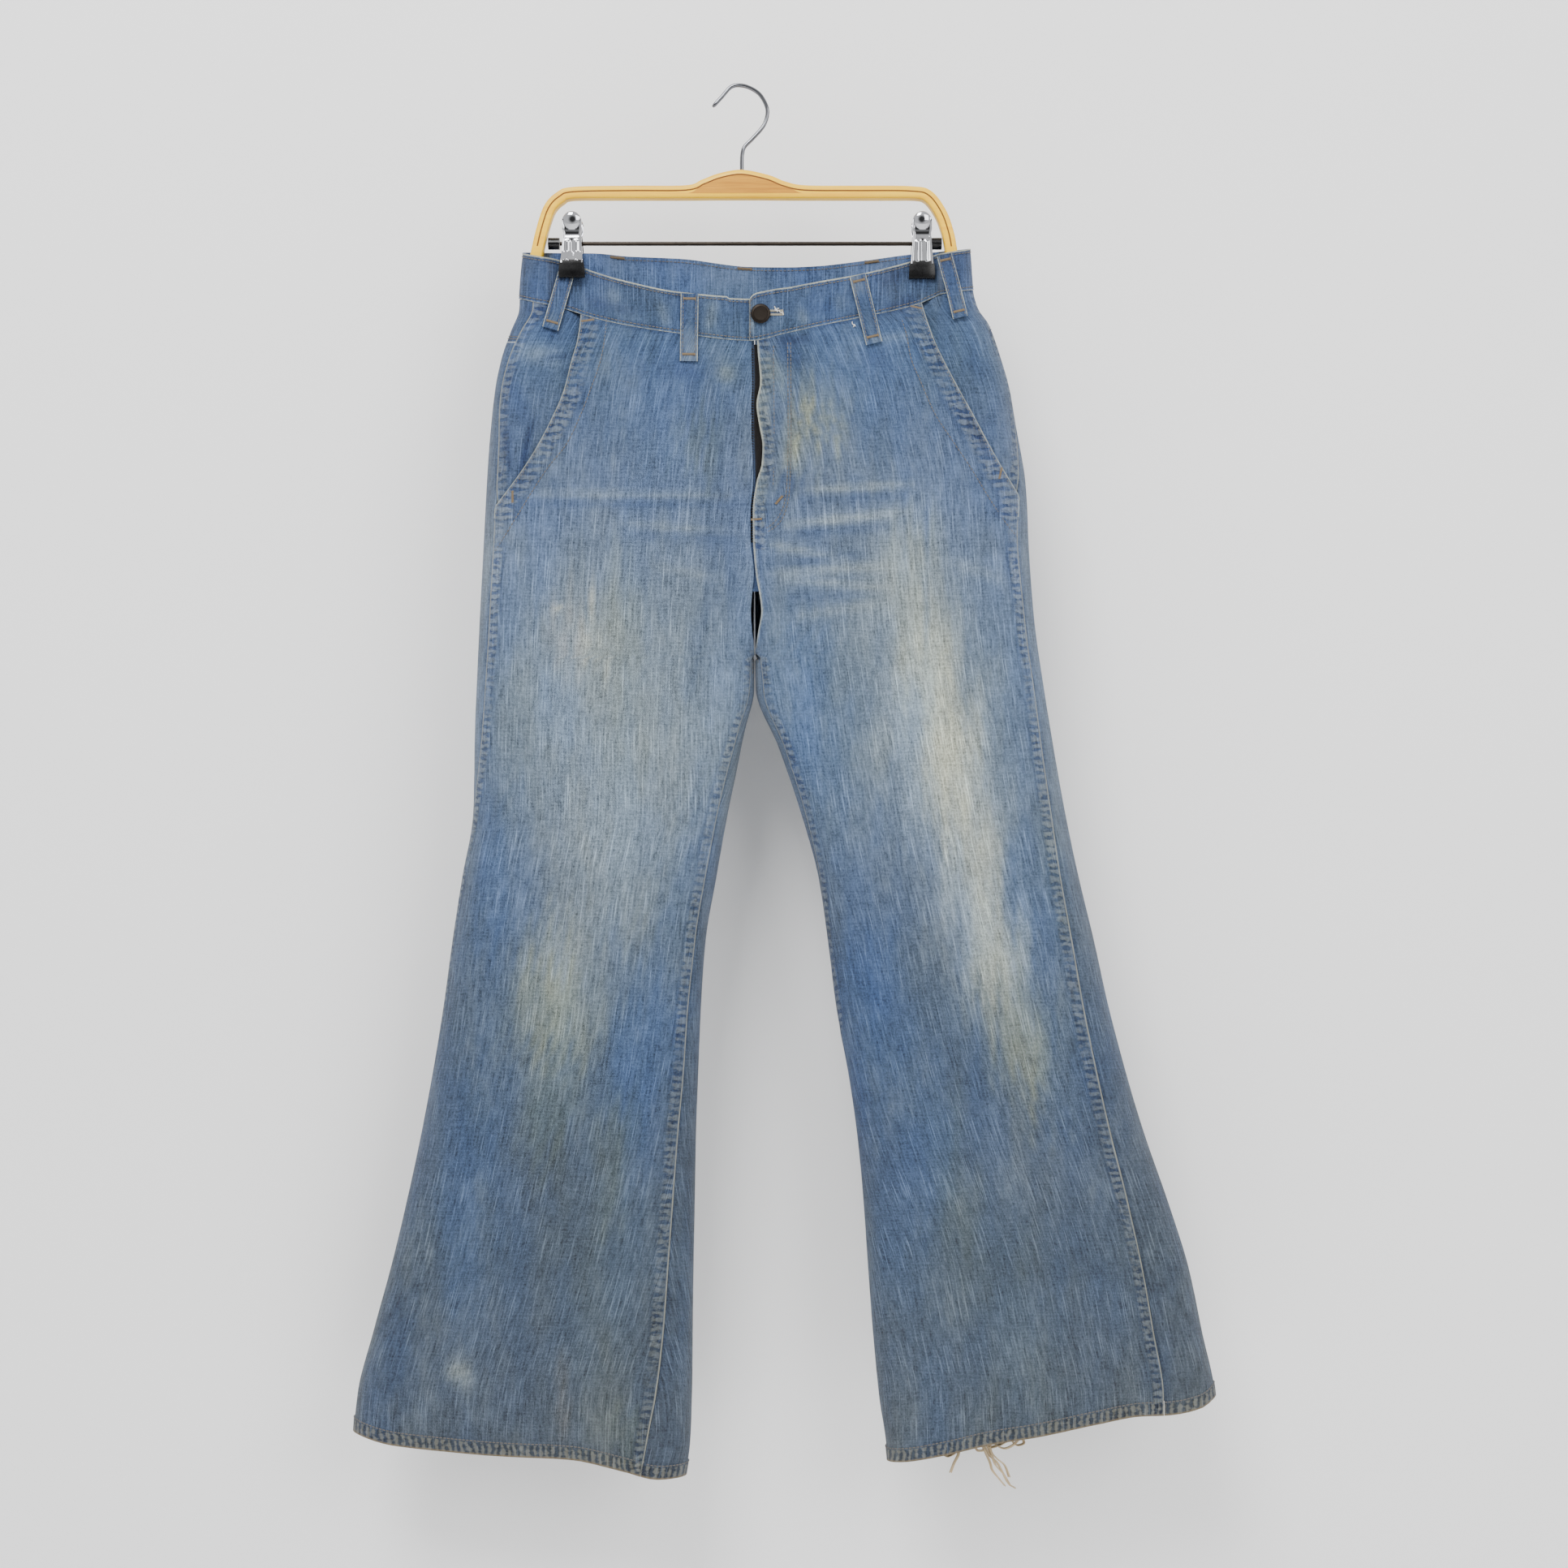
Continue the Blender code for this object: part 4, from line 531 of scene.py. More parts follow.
@dataclass
class Half:
    """One leg and its half of the hip, as a flattened tube that opens at the centre above the crotch."""

    side: int
    sections: Table
    seams: Table = field(init=False)

    def __post_init__(self) -> None:
        """Work out where the outseam and inseam lie round the cloth."""
        rows = []
        for drop in self.sections.values[:, 0]:
            out = self.arc_of_offset(float(self.sections.at("outseam", drop)), drop)
            inn = self.arc_of_inner_offset(float(self.sections.at("inseam", drop)), drop)
            rows.append((drop, out, inn))
        self.seams = Table("drop outseam inseam", rows)

    @property
    def name(self) -> str:
        """Return the wearer's side."""
        return "left" if self.side > 0 else "right"

    def shape(self, drop: Array, front: Array) -> tuple[Array, ...]:
        """Work out the section's sizes.

        Args:
            drop: Drops of the points.
            front: Whether each point is on the front face.

        Returns:
            The outer end, depth, bend, width, arcs of outer bend, middle and inner bend, and turn.
        """
        at = self.sections.at
        wall = PANEL_WALL / 2
        outer = at("outer", drop) - self.side * wall
        turn = 2 / math.pi * np.arcsin(np.clip((drop - TURN_DROP) / (CROTCH_DROP - TURN_DROP), 0, 1))
        gap = 0.2 + wall * np.sin(turn * math.pi / 2)
        inner = at("inner", drop)
        edge = FRONT_CENTRE.at(self.name, drop)
        inner = np.where(front & (drop < CROTCH_DROP), edge, inner) + self.side * gap
        depth = np.where(front, at("front", drop), at("back", drop))
        bend = at("round", drop)
        width = np.abs(inner - outer)
        outer_arc = quarter(bend, depth)
        inner_arc = bend + turn * (quarter(bend, depth) - bend)
        return outer, depth, bend, width, outer_arc, width - 2 * bend, inner_arc, turn

    def length(self, drop: Array, front: Array) -> Array:
        """Return the arc from the outer fold to the inner end."""
        shape = self.shape(np.asarray(drop, float), np.asarray(front))
        return shape[4] + shape[5] + shape[6]

    def arc_of_offset(self, offset: float, drop: float) -> float:
        """Return the arc at a distance across from the outer fold: behind it if negative."""
        shape = self.shape(np.asarray(drop, float), np.asarray(offset >= 0))
        arc = float(self.bend_arc(abs(offset), shape[2], shape[4]))
        return arc if offset >= 0 else -arc

    def arc_of_inner_offset(self, offset: float, drop: float) -> float:
        """Return the arc back from the leg's inner fold, at a distance across from it."""
        shape = self.shape(np.asarray(max(drop, CROTCH_DROP), float), np.asarray(offset >= 0))
        arc = float(self.bend_arc(abs(offset), shape[2], shape[6]))
        return arc if offset >= 0 else -arc

    @staticmethod
    def bend_arc(reach: Array | float, bend: Array, bend_arc: Array) -> Array:
        """Return the arc at a distance in from a fold."""
        angle = np.arccos(np.clip(1 - reach / bend, 0, 1))
        return np.where(reach < bend, bend_arc * angle / (math.pi / 2), bend_arc + reach - bend)

    def face_arc(self, face: int, x: Array | float, drop: Array | float) -> Array:
        """Find the arcs of places across a face.

        Args:
            face: 1 for the front and -1 for the back.
            x: Places across.
            drop: Drops of the places.

        Returns:
            The arcs.
        """
        drop = np.asarray(drop, float)
        shape = self.shape(drop, np.full(drop.shape, face > 0))
        reach = np.maximum(-self.side * (x - shape[0]), 0)
        return face * self.bend_arc(reach, shape[2], shape[4])

    def outseam(self, drop: Array) -> Array:
        """Return the arc of the seam down the outside."""
        return self.seams.at("outseam", drop)

    def front_inner(self, drop: Array) -> Array:
        """Return the front panel's inner end: the centre edge, then the inseam."""
        whole = self.length(drop, np.ones(np.shape(drop), bool))
        return whole - np.where(drop > CROTCH_DROP, self.seams.at("inseam", drop), 0)

    def back_inner(self, drop: Array) -> Array:
        """Return the back panel's inner end: the centre edge, then the inseam."""
        whole = self.length(drop, np.zeros(np.shape(drop), bool))
        return -whole - np.where(drop > CROTCH_DROP, self.seams.at("inseam", drop), 0)

    def surface(self, arc: Array, drop: Array, fine: bool = False) -> Array:
        """Find points on the middle of the cloth.

        Args:
            arc: Arcs of the points.
            drop: Drops of the points.
            fine: Whether the small creases are added.

        Returns:
            The points, as X, Y and minus the drop.
        """
        arc, drop = np.broadcast_arrays(np.asarray(arc, float), np.asarray(drop, float))
        closed = drop >= CROTCH_DROP
        front_length = self.length(drop, np.ones(drop.shape, bool))
        back_length = self.length(drop, np.zeros(drop.shape, bool))
        past_front = closed & (arc > front_length)
        past_back = closed & (arc < -back_length)
        arc = np.where(past_front, arc - front_length - back_length, arc)
        arc = np.where(past_back, arc + front_length + back_length, arc)
        front = arc >= 0
        face = np.where(front, 1.0, -1.0)
        reach = np.abs(arc)
        outer, depth, bend, width, outer_arc, middle_arc, inner_arc, turn = self.shape(drop, front)
        angle = np.clip(reach / outer_arc, 0, 1) * math.pi / 2
        share = (reach - outer_arc - middle_arc) / inner_arc
        lean = np.maximum(turn, 1e-4) * math.pi / 2
        swing = np.clip(share, 0, 1) * lean
        flat = bend + np.clip(reach - outer_arc, 0, middle_arc)
        inner_run = np.where(share > 1, share, np.sin(swing) / np.sin(lean)) * bend
        across = np.where(reach < outer_arc, bend * (1 - np.cos(angle)),
                          np.where(share < 0, flat, width - bend + inner_run))
        full = np.where(reach < outer_arc, np.sin(angle), np.where(share < 0, 1.0, np.cos(swing)))
        x = outer - self.side * across
        out = depth * full + self.relief(x, drop, face, fine) * full**2
        hold = self.clip_hold(x, drop)
        out = out * (1 - hold) + HELD_HALF_DEPTH * hold
        y = self.sections.at("middle", drop) - face * out
        return np.stack((x, y, -drop), axis=-1)

    def relief(self, x: Array, drop: Array, face: Array, fine: bool) -> Array:
        """Add up the bow of the hip, the folds and the creases.

        Args:
            x: Places across.
            drop: Drops of the places.
            face: 1 where they are on the front and -1 on the back.
            fine: Whether the small creases are added.

        Returns:
            Distances outward.
        """
        out = np.where(face > 0, BOW.at("front", drop), BOW.at("back", drop))
        spread = np.clip((x - 8.0) / 148.0, -1, 1)
        total = out * np.cos(spread * math.pi / 2) ** 2
        for fold in FOLDS.values:
            side, fold_face, x_top, drop_top, x_end, drop_end, width, height = fold
            if side != self.side:
                continue
            along = (drop - drop_top) / (drop_end - drop_top)
            middle = x_top + (x_end - x_top) * along
            ends = ease(along * 4 + 0.4) * ease((1.15 - along) * 4)
            ridge = height * np.exp(-(((x - middle) / width) ** 2)) * ends
            total = total + np.where(face == fold_face, ridge, 0)
        if fine:
            for crease in CREASES.values:
                if crease[0] == self.side:
                    ridge = crease[7] * streak(crease[2:7], x, drop)
                    total = total + np.where(face == crease[1], ridge, 0)
        return total

    @staticmethod
    def clip_hold(x: Array, drop: Array) -> Array:
        """Return how far the clips press the two layers together, from 0 to 1."""
        fade = ease(1 - (drop - CLIP_HOLD_DROP) / CLIP_FADE)
        total = 0.0
        for place, side_spread in CLIPS.values():
            away = np.abs(x - place) - CLIP_FLAT
            spread = np.where((x - place) * place > 0, side_spread, CLIP_CENTRE_SPREAD)
            total = total + ease(1 - away / spread)
        return np.clip(total * fade, 0, 1)

    def normal(self, arc: Array, drop: Array, fine: bool = False) -> Array:
        """Find the level outward direction of the cloth.

        Args:
            arc: Arcs of the points.
            drop: Drops of the points.
            fine: Whether the small creases count.

        Returns:
            Unit directions.
        """
        step = 0.5
        across = self.surface(arc + step, drop, fine) - self.surface(arc - step, drop, fine)
        down = self.surface(arc, drop + step, fine) - self.surface(arc, drop - step, fine)
        cross = np.cross(across, down) * self.side
        cross[..., 2] = 0
        return unit(cross)

    def waist_drop(self, column: str, arc: Array, x: Array) -> Array:
        """Return the drop of the band's top or seam edge, blended over the side folds."""
        front = ease((np.asarray(arc) + 10) / 20)
        return WAIST.at(f"front_{column}", x) * front + WAIST.at(f"back_{column}", x) * (1 - front)

    def seam_drop(self, arc: Array, drop: Array) -> Array:
        """Return the drop of the seam under the band."""
        return self.waist_drop("seam", arc, self.surface(arc, drop)[..., 0])

    def hem_drop(self, arc: Array, drop: Array) -> Array:
        """Return the drop of the hem."""
        points = self.surface(arc, drop)
        front_depth = self.sections.at("front", drop)
        return HEMS[self.side].at("drop", points[..., 0]) - HEM_TILT * (points[..., 1] + front_depth)

    def yoke_drop(self, arc: Array, drop: Array) -> Array:
        """Return the drop of the yoke's lower seam."""
        x = self.surface(arc, drop)[..., 0]
        inward = np.clip(1 - np.abs(x - CENTRE_X) / HALF_WAIST, 0, 1)
        return self.waist_drop("seam", arc, x) + YOKE_SIDE + (YOKE_CENTRE - YOKE_SIDE) * inward


def to_depth(points: Array) -> Array:
    """Return points moved from the outline's plane to their own depth, in metres."""
    scale = 1 + points[..., 1] / EYE_DISTANCE
    x = EYE_X + (points[..., 0] - EYE_X) * scale
    z = -EYE_DROP + (points[..., 2] + EYE_DROP) * scale
    return np.stack((x, points[..., 1], z), axis=-1) * MM


@dataclass
class Cloth:
    """A stretch of cloth laid out in rows and columns, before it is made a mesh."""

    half: Half
    arc: Array
    drop: Array
    middle: Array
    normal: Array
    marks: dict[str, Array] = field(default_factory=dict)

    def raised(self, height: Array | float) -> Array:
        """Return the points at a height over the cloth's middle, in metres at their own depth."""
        return to_depth(self.middle + self.normal * np.asarray(height)[..., None])


@dataclass
class Patch:
    """The rule for a piece of cloth: its edges, and how closely its rows and columns lie."""

    half: Half
    start: ArcRule
    end: ArcRule
    top: ArcRule
    bottom: ArcRule
    near: tuple[float, ...] = (0.0, 0.7, 1.4, 2.4, 4.0, 6.0, 8.5, 11.0, 13.0)
    rows: int = 60
    columns: int = 30
    top_near: tuple[float, ...] = (0.0, 1.2, 2.6)
    bottom_near: tuple[float, ...] = (0.0, 1.2, 2.6)

    def arc_at(self, share: Array, inset: Array, drop: Array) -> Array:
        """Return arcs at shares of the width, moved in by an inset from either edge."""
        start, end = self.start(drop, drop), self.end(drop, drop)
        squeeze = np.minimum(np.abs(end - start) / 2 / self.near[-1], 1.0) * np.sign(end - start)
        inset = inset * squeeze
        inner_start = start + self.near[-1] * squeeze
        inner_end = end - self.near[-1] * squeeze
        inside = inner_start + (inner_end - inner_start) * share
        return np.where(inset == 0, np.where(share < 0, start, np.where(share > 1, end, inside)),
                        np.where(share < 0.5, start + inset, end + inset))

    def lay(self, lift: ArcRule | None = None, fine: bool = True) -> Cloth:
        """Lay the piece out.

        Args:
            lift: How far the cloth lies above its plain place, from arcs and drops.
            fine: Whether the small creases are added.

        Returns:
            The laid-out cloth.
        """
        near = np.array(self.near)
        share = np.concatenate((np.full(len(near) - 1, -1.0), np.linspace(0, 1, self.columns),
                                np.full(len(near) - 1, 2.0)))
        inset = np.concatenate((near[:-1], np.zeros(self.columns), -near[:-1][::-1]))
        settled = []
        for rule, guess in zip((self.top, self.bottom), PANEL_DROPS):
            drop = np.full(share.shape, guess)
            for _ in range(SETTLE_STEPS):
                drop = rule(self.arc_at(share, inset, drop), drop)
            settled.append(drop)
        top, end = settled
        upper = top[0] + np.array(self.top_near)
        lower = end[0] - np.array(self.bottom_near)[::-1]
        drops = np.concatenate((upper, np.linspace(upper[-1], lower[0], self.rows + 2)[1:-1], lower))
        fade_top = min(TOP_FADE_DROP, drops[-1])
        follow_top = np.clip((fade_top - drops) / (fade_top - drops[0]), 0, 1)
        if drops[-1] > HEM_FADE_DROP:
            span = drops[-1] - HEM_FADE_DROP - (self.bottom_near[-1] if self.bottom_near else 0)
            follow_end = np.clip((drops - HEM_FADE_DROP) / span, 0, 1)
        else:
            follow_end = 1 - follow_top
        drop = drops[:, None] + (top - top[0]) * follow_top[:, None] + (end - end[0]) * follow_end[:, None]
        wide = np.broadcast_to(share, drop.shape)
        arc = self.arc_at(wide, np.broadcast_to(inset, drop.shape), drop)
        middle = self.half.surface(arc, drop, fine)
        normal = self.half.normal(arc, drop, fine)
        if lift is not None:
            middle = middle + normal * np.asarray(lift(arc, drop))[..., None]
        cloth = Cloth(self.half, arc, drop, middle, normal)
        cloth.marks["hem"] = end[None, :] - drop
        cloth.marks["start_mm"] = np.abs(arc - self.start(drop, drop))
        cloth.marks["end_mm"] = np.abs(self.end(drop, drop) - arc)
        cloth.marks["top_mm"] = drop - top[None, :]
        return cloth


class Paint:
    """Lays the wash, wear and stains, with some painted shade, shadow and highlights, over a stretch of
    cloth.
    """

    def __init__(self, half: Half, face: int | None = None, shade: float = 1.0) -> None:
        """Keep what is painted.

        Args:
            half: The half that the cloth is on.
            face: The face whose washes are used, or None to tell it from the arc.
            shade: A factor on the plain denim's brightness.
        """
        self.half, self.face, self.shade = half, face, shade

    def over(self, cloth: Cloth) -> Array:
        """Paint a stretch of cloth.

        Args:
            cloth: The cloth.

        Returns:
            Light values of red, green and blue at its points.
        """
        x, drop = cloth.middle[..., 0], cloth.drop
        wide_x = x + 5 * np.sin(drop * 0.045 + x * 0.11) + 3 * np.sin(drop * 0.017 - x * 0.23)
        wide_drop = drop + 16 * np.sin(x * 0.71 + drop * 0.004) + 12 * np.sin(x * 0.33 + 1.3)
        base = np.stack([DENIM.at(name, drop) for name in ("red", "green", "blue")], axis=-1)
        base = base * self.shade
        front = cloth.arc >= 0 if self.face is None else np.full(drop.shape, self.face > 0)
        edge = ease(np.abs(cloth.arc) / 26)
        for face in (1, -1):
            for tone, (*line, strength) in WASHES[self.half.side, face]:
                places = (wide_x, wide_drop) if line[-1] > BROAD_WASH else (x, drop)
                amount = np.where(front == (face > 0), strength * streak(line, *places) * edge, 0)
                base = base + (np.array(tone.value) - base) * amount[..., None]
        return linear(base)


def mesh_piece(name: str, points: Array, faces: Sequence[Sequence[int]]) -> bpy.types.Object:
    """Make an object from points in metres and faces."""
    mesh = bpy.data.meshes.new(name)
    mesh.from_pydata(points.tolist(), [], faces)
    mesh.update()
    made = bpy.data.objects.new(name, mesh)
    bpy.context.scene.collection.objects.link(made)
    return made


def smooth(piece: bpy.types.Object, turn: float) -> None:
    """Shade a piece smooth, with sharp edges where it turns by more degrees than this."""
    piece.data.shade_smooth()
    piece.data.set_sharp_from_angle(angle=math.radians(turn))


def rim_edges(index: Array) -> tuple[Array, Array]:
    """Return the points round a grid's rim, and the point after each."""
    rim = np.concatenate((index[0, :], index[1:, -1], index[-1, -2::-1], index[-2:0:-1, 0]))
    return rim, np.roll(rim, -1)


def cloth_shell(name: str, cloth: Cloth, wall: float, wash: Array,
                swell: Array | float = 0.0, inside: float = 0.9) -> bpy.types.Object:
    """Make a closed thin shell from a laid-out stretch of cloth.

    Args:
        name: The piece's name.
        cloth: The laid-out cloth.
        wall: Its thickness in millimetres.
        wash: Its colour at each point.
        swell: How far the outer face stands out past the plain wall.
        inside: A factor on the inner face's brightness: painted shade below 1, painted light above it.

    Returns:
        The object, with UVs in metres and its marks as attributes.
    """
    outer = cloth.raised(np.broadcast_to(wall / 2 + np.asarray(swell), cloth.arc.shape))
    inner = cloth.raised(np.full(cloth.arc.shape, -wall / 2))
    rows, columns = cloth.arc.shape
    count = rows * columns
    index = np.arange(count).reshape(rows, columns)
    quads = np.stack((index[:-1, :-1], index[:-1, 1:], index[1:, 1:], index[1:, :-1]), -1).reshape(-1, 4)
    across = outer[:-1, 1:] - outer[:-1, :-1]
    down = outer[1:, :-1] - outer[:-1, :-1]
    facing = np.sum(np.cross(across, down) * cloth.normal[:-1, :-1])
    if facing < 0:
        quads = quads[:, ::-1]
    rim, after = rim_edges(index)
    edge = np.stack((after, rim, rim + count, after + count), -1)
    if facing < 0:
        edge = edge[:, ::-1]
    faces = np.concatenate((quads, quads[:, ::-1] + count, edge))
    made = mesh_piece(name, np.concatenate((outer.reshape(-1, 3), inner.reshape(-1, 3))), faces.tolist())
    smooth(made, 55)
    mesh = made.data
    uv = np.stack((cloth.arc * MM, -cloth.drop * MM), -1).reshape(-1, 2)
    uv = np.concatenate((uv, uv))
    corner = np.zeros(len(mesh.loops), np.int32)
    mesh.loops.foreach_get("vertex_index", corner)
    layer = mesh.uv_layers.new(name="cut")
    layer.data.foreach_set("uv", uv[corner].astype(np.float32).ravel())
    # The inner face's wash times inside: painted shade below 1, painted light above it
    tint = np.concatenate((wash.reshape(-1, 3), wash.reshape(-1, 3) * inside))
    tint = np.concatenate((tint, np.ones((len(tint), 1))), axis=1)
    layer = mesh.attributes.new("wash", "FLOAT_COLOR", "POINT")
    layer.data.foreach_set("color", tint.astype(np.float32).ravel())
    for mark in ("rail", "brim", "hem"):
        values = cloth.marks.get(mark, np.full(cloth.arc.shape, FAR)).reshape(-1)
        layer = mesh.attributes.new(mark, "FLOAT", "POINT")
        layer.data.foreach_set("value", np.concatenate((values, np.full(count, FAR))).astype(np.float32))
    return made


class Nodes:
    """A hand for wiring the nodes of a material or a world."""

    def __init__(self, owner: bpy.types.Material | bpy.types.World, shader: str = "Principled BSDF") -> None:
        """Open a material or a world with its plain shader, ready for wiring."""
        owner.use_nodes = True
        self.owner, self.tree = owner, owner.node_tree
        self.shader = self.tree.nodes[shader]

    def put(self, kind: str, inputs: dict[str | int, object] | None = None,
            **settings: object) -> bpy.types.Node:
        """Add a node.

        Args:
            kind: The node's type without its ShaderNode prefix.
            inputs: Values or sockets for its inputs.
            settings: Values for its own settings.

        Returns:
            The node.
        """
        node = self.tree.nodes.new("ShaderNode" + kind)
        for key, value in settings.items():
            setattr(node, key, value)
        for key, value in (inputs or {}).items():
            if isinstance(value, bpy.types.NodeSocket):
                self.tree.links.new(value, node.inputs[key])
            else:
                node.inputs[key].default_value = value
        return node

    def maths(self, operation: str, first: object, second: object = 0.0,
              clamp: bool = False) -> bpy.types.NodeSocket:
        """Return one number made from two."""
        return self.put("Math", {0: first, 1: second}, operation=operation, use_clamp=clamp).outputs[0]

    def plus(self, *terms: object) -> bpy.types.NodeSocket:
        """Return the sum of two or more terms."""
        total = terms[0]
        for term in terms[1:]:
            total = self.maths("ADD", total, term)
        return total

    def times(self, first: object, second: object, clamp: bool = False) -> bpy.types.NodeSocket:
        """Return a product."""
        return self.maths("MULTIPLY", first, second, clamp)

    def rest(self, value: object) -> bpy.types.NodeSocket:
        """Return what is left of 1."""
        return self.maths("SUBTRACT", 1.0, value)

    def swing(self, value: object, strength: float) -> bpy.types.NodeSocket:
        """Return a noise about 0, at a strength."""
        return self.times(self.maths("SUBTRACT", value, 0.5), strength)

    def dyed(self, base: object, factors: object) -> bpy.types.NodeSocket:
        """Return a colour times a factor for each of its channels."""
        return self.put("VectorMath", {0: base, 1: factors}, operation="MULTIPLY").outputs[0]

    def step(self, value: object, low: float, high: float) -> bpy.types.NodeSocket:
        """Return a smooth step from 0 at low to 1 at high."""
        return self.put("MapRange", {0: value, 1: low, 2: high, 3: 0.0, 4: 1.0},
                        interpolation_type="SMOOTHSTEP").outputs[0]

    def noise(self, vector: object, scale: float, detail: float = 2.0,
              rough: float = 0.5) -> bpy.types.NodeSocket:
        """Return a noise's value."""
        return self.put("TexNoise", {"Vector": vector, "Scale": scale, "Detail": detail,
                                     "Roughness": rough}).outputs[0]

    def stretch(self, vector: object, scale: tuple[float, float, float],
                turn: float = 0.0) -> bpy.types.NodeSocket:
        """Return a vector scaled on each axis and turned about Z."""
        return self.put("Mapping", {"Vector": vector, "Scale": scale, "Rotation": (0, 0, turn)}).outputs[0]

    def mix(self, share: object, first: object, second: object) -> bpy.types.NodeSocket:
        """Return two colours mixed."""
        return self.put("Mix", {0: share, 6: first, 7: second}, data_type="RGBA").outputs[2]

    def mark(self, name: str, output: str = "Fac") -> bpy.types.NodeSocket:
        """Return an attribute of the mesh."""
        return self.put("Attribute", attribute_name=name).outputs[output]

    def bump(self, height: object, distance: float, strength: float = 1.0) -> bpy.types.NodeSocket:
        """Return a bumped normal."""
        return self.put("Bump", {"Height": height, "Distance": distance, "Strength": strength}).outputs[0]

    def finish(self, **values: object) -> bpy.types.Material | bpy.types.World:
        """Set the shader's inputs.

        Args:
            values: Values or sockets, by input name with underscores for spaces.

        Returns:
            The material or world.
        """
        for key, value in values.items():
            socket = self.shader.inputs[key.replace("_", " ")]
            if isinstance(value, bpy.types.NodeSocket):
                self.tree.links.new(value, socket)
            else:
                socket.default_value = value
        return self.owner


@dataclass(frozen=True)
class Ground:
    """What the parts of a denim share: the cut's coordinates in metres, and noises of three speeds."""

    uv: object
    wander: object
    blot: object
    fray: object


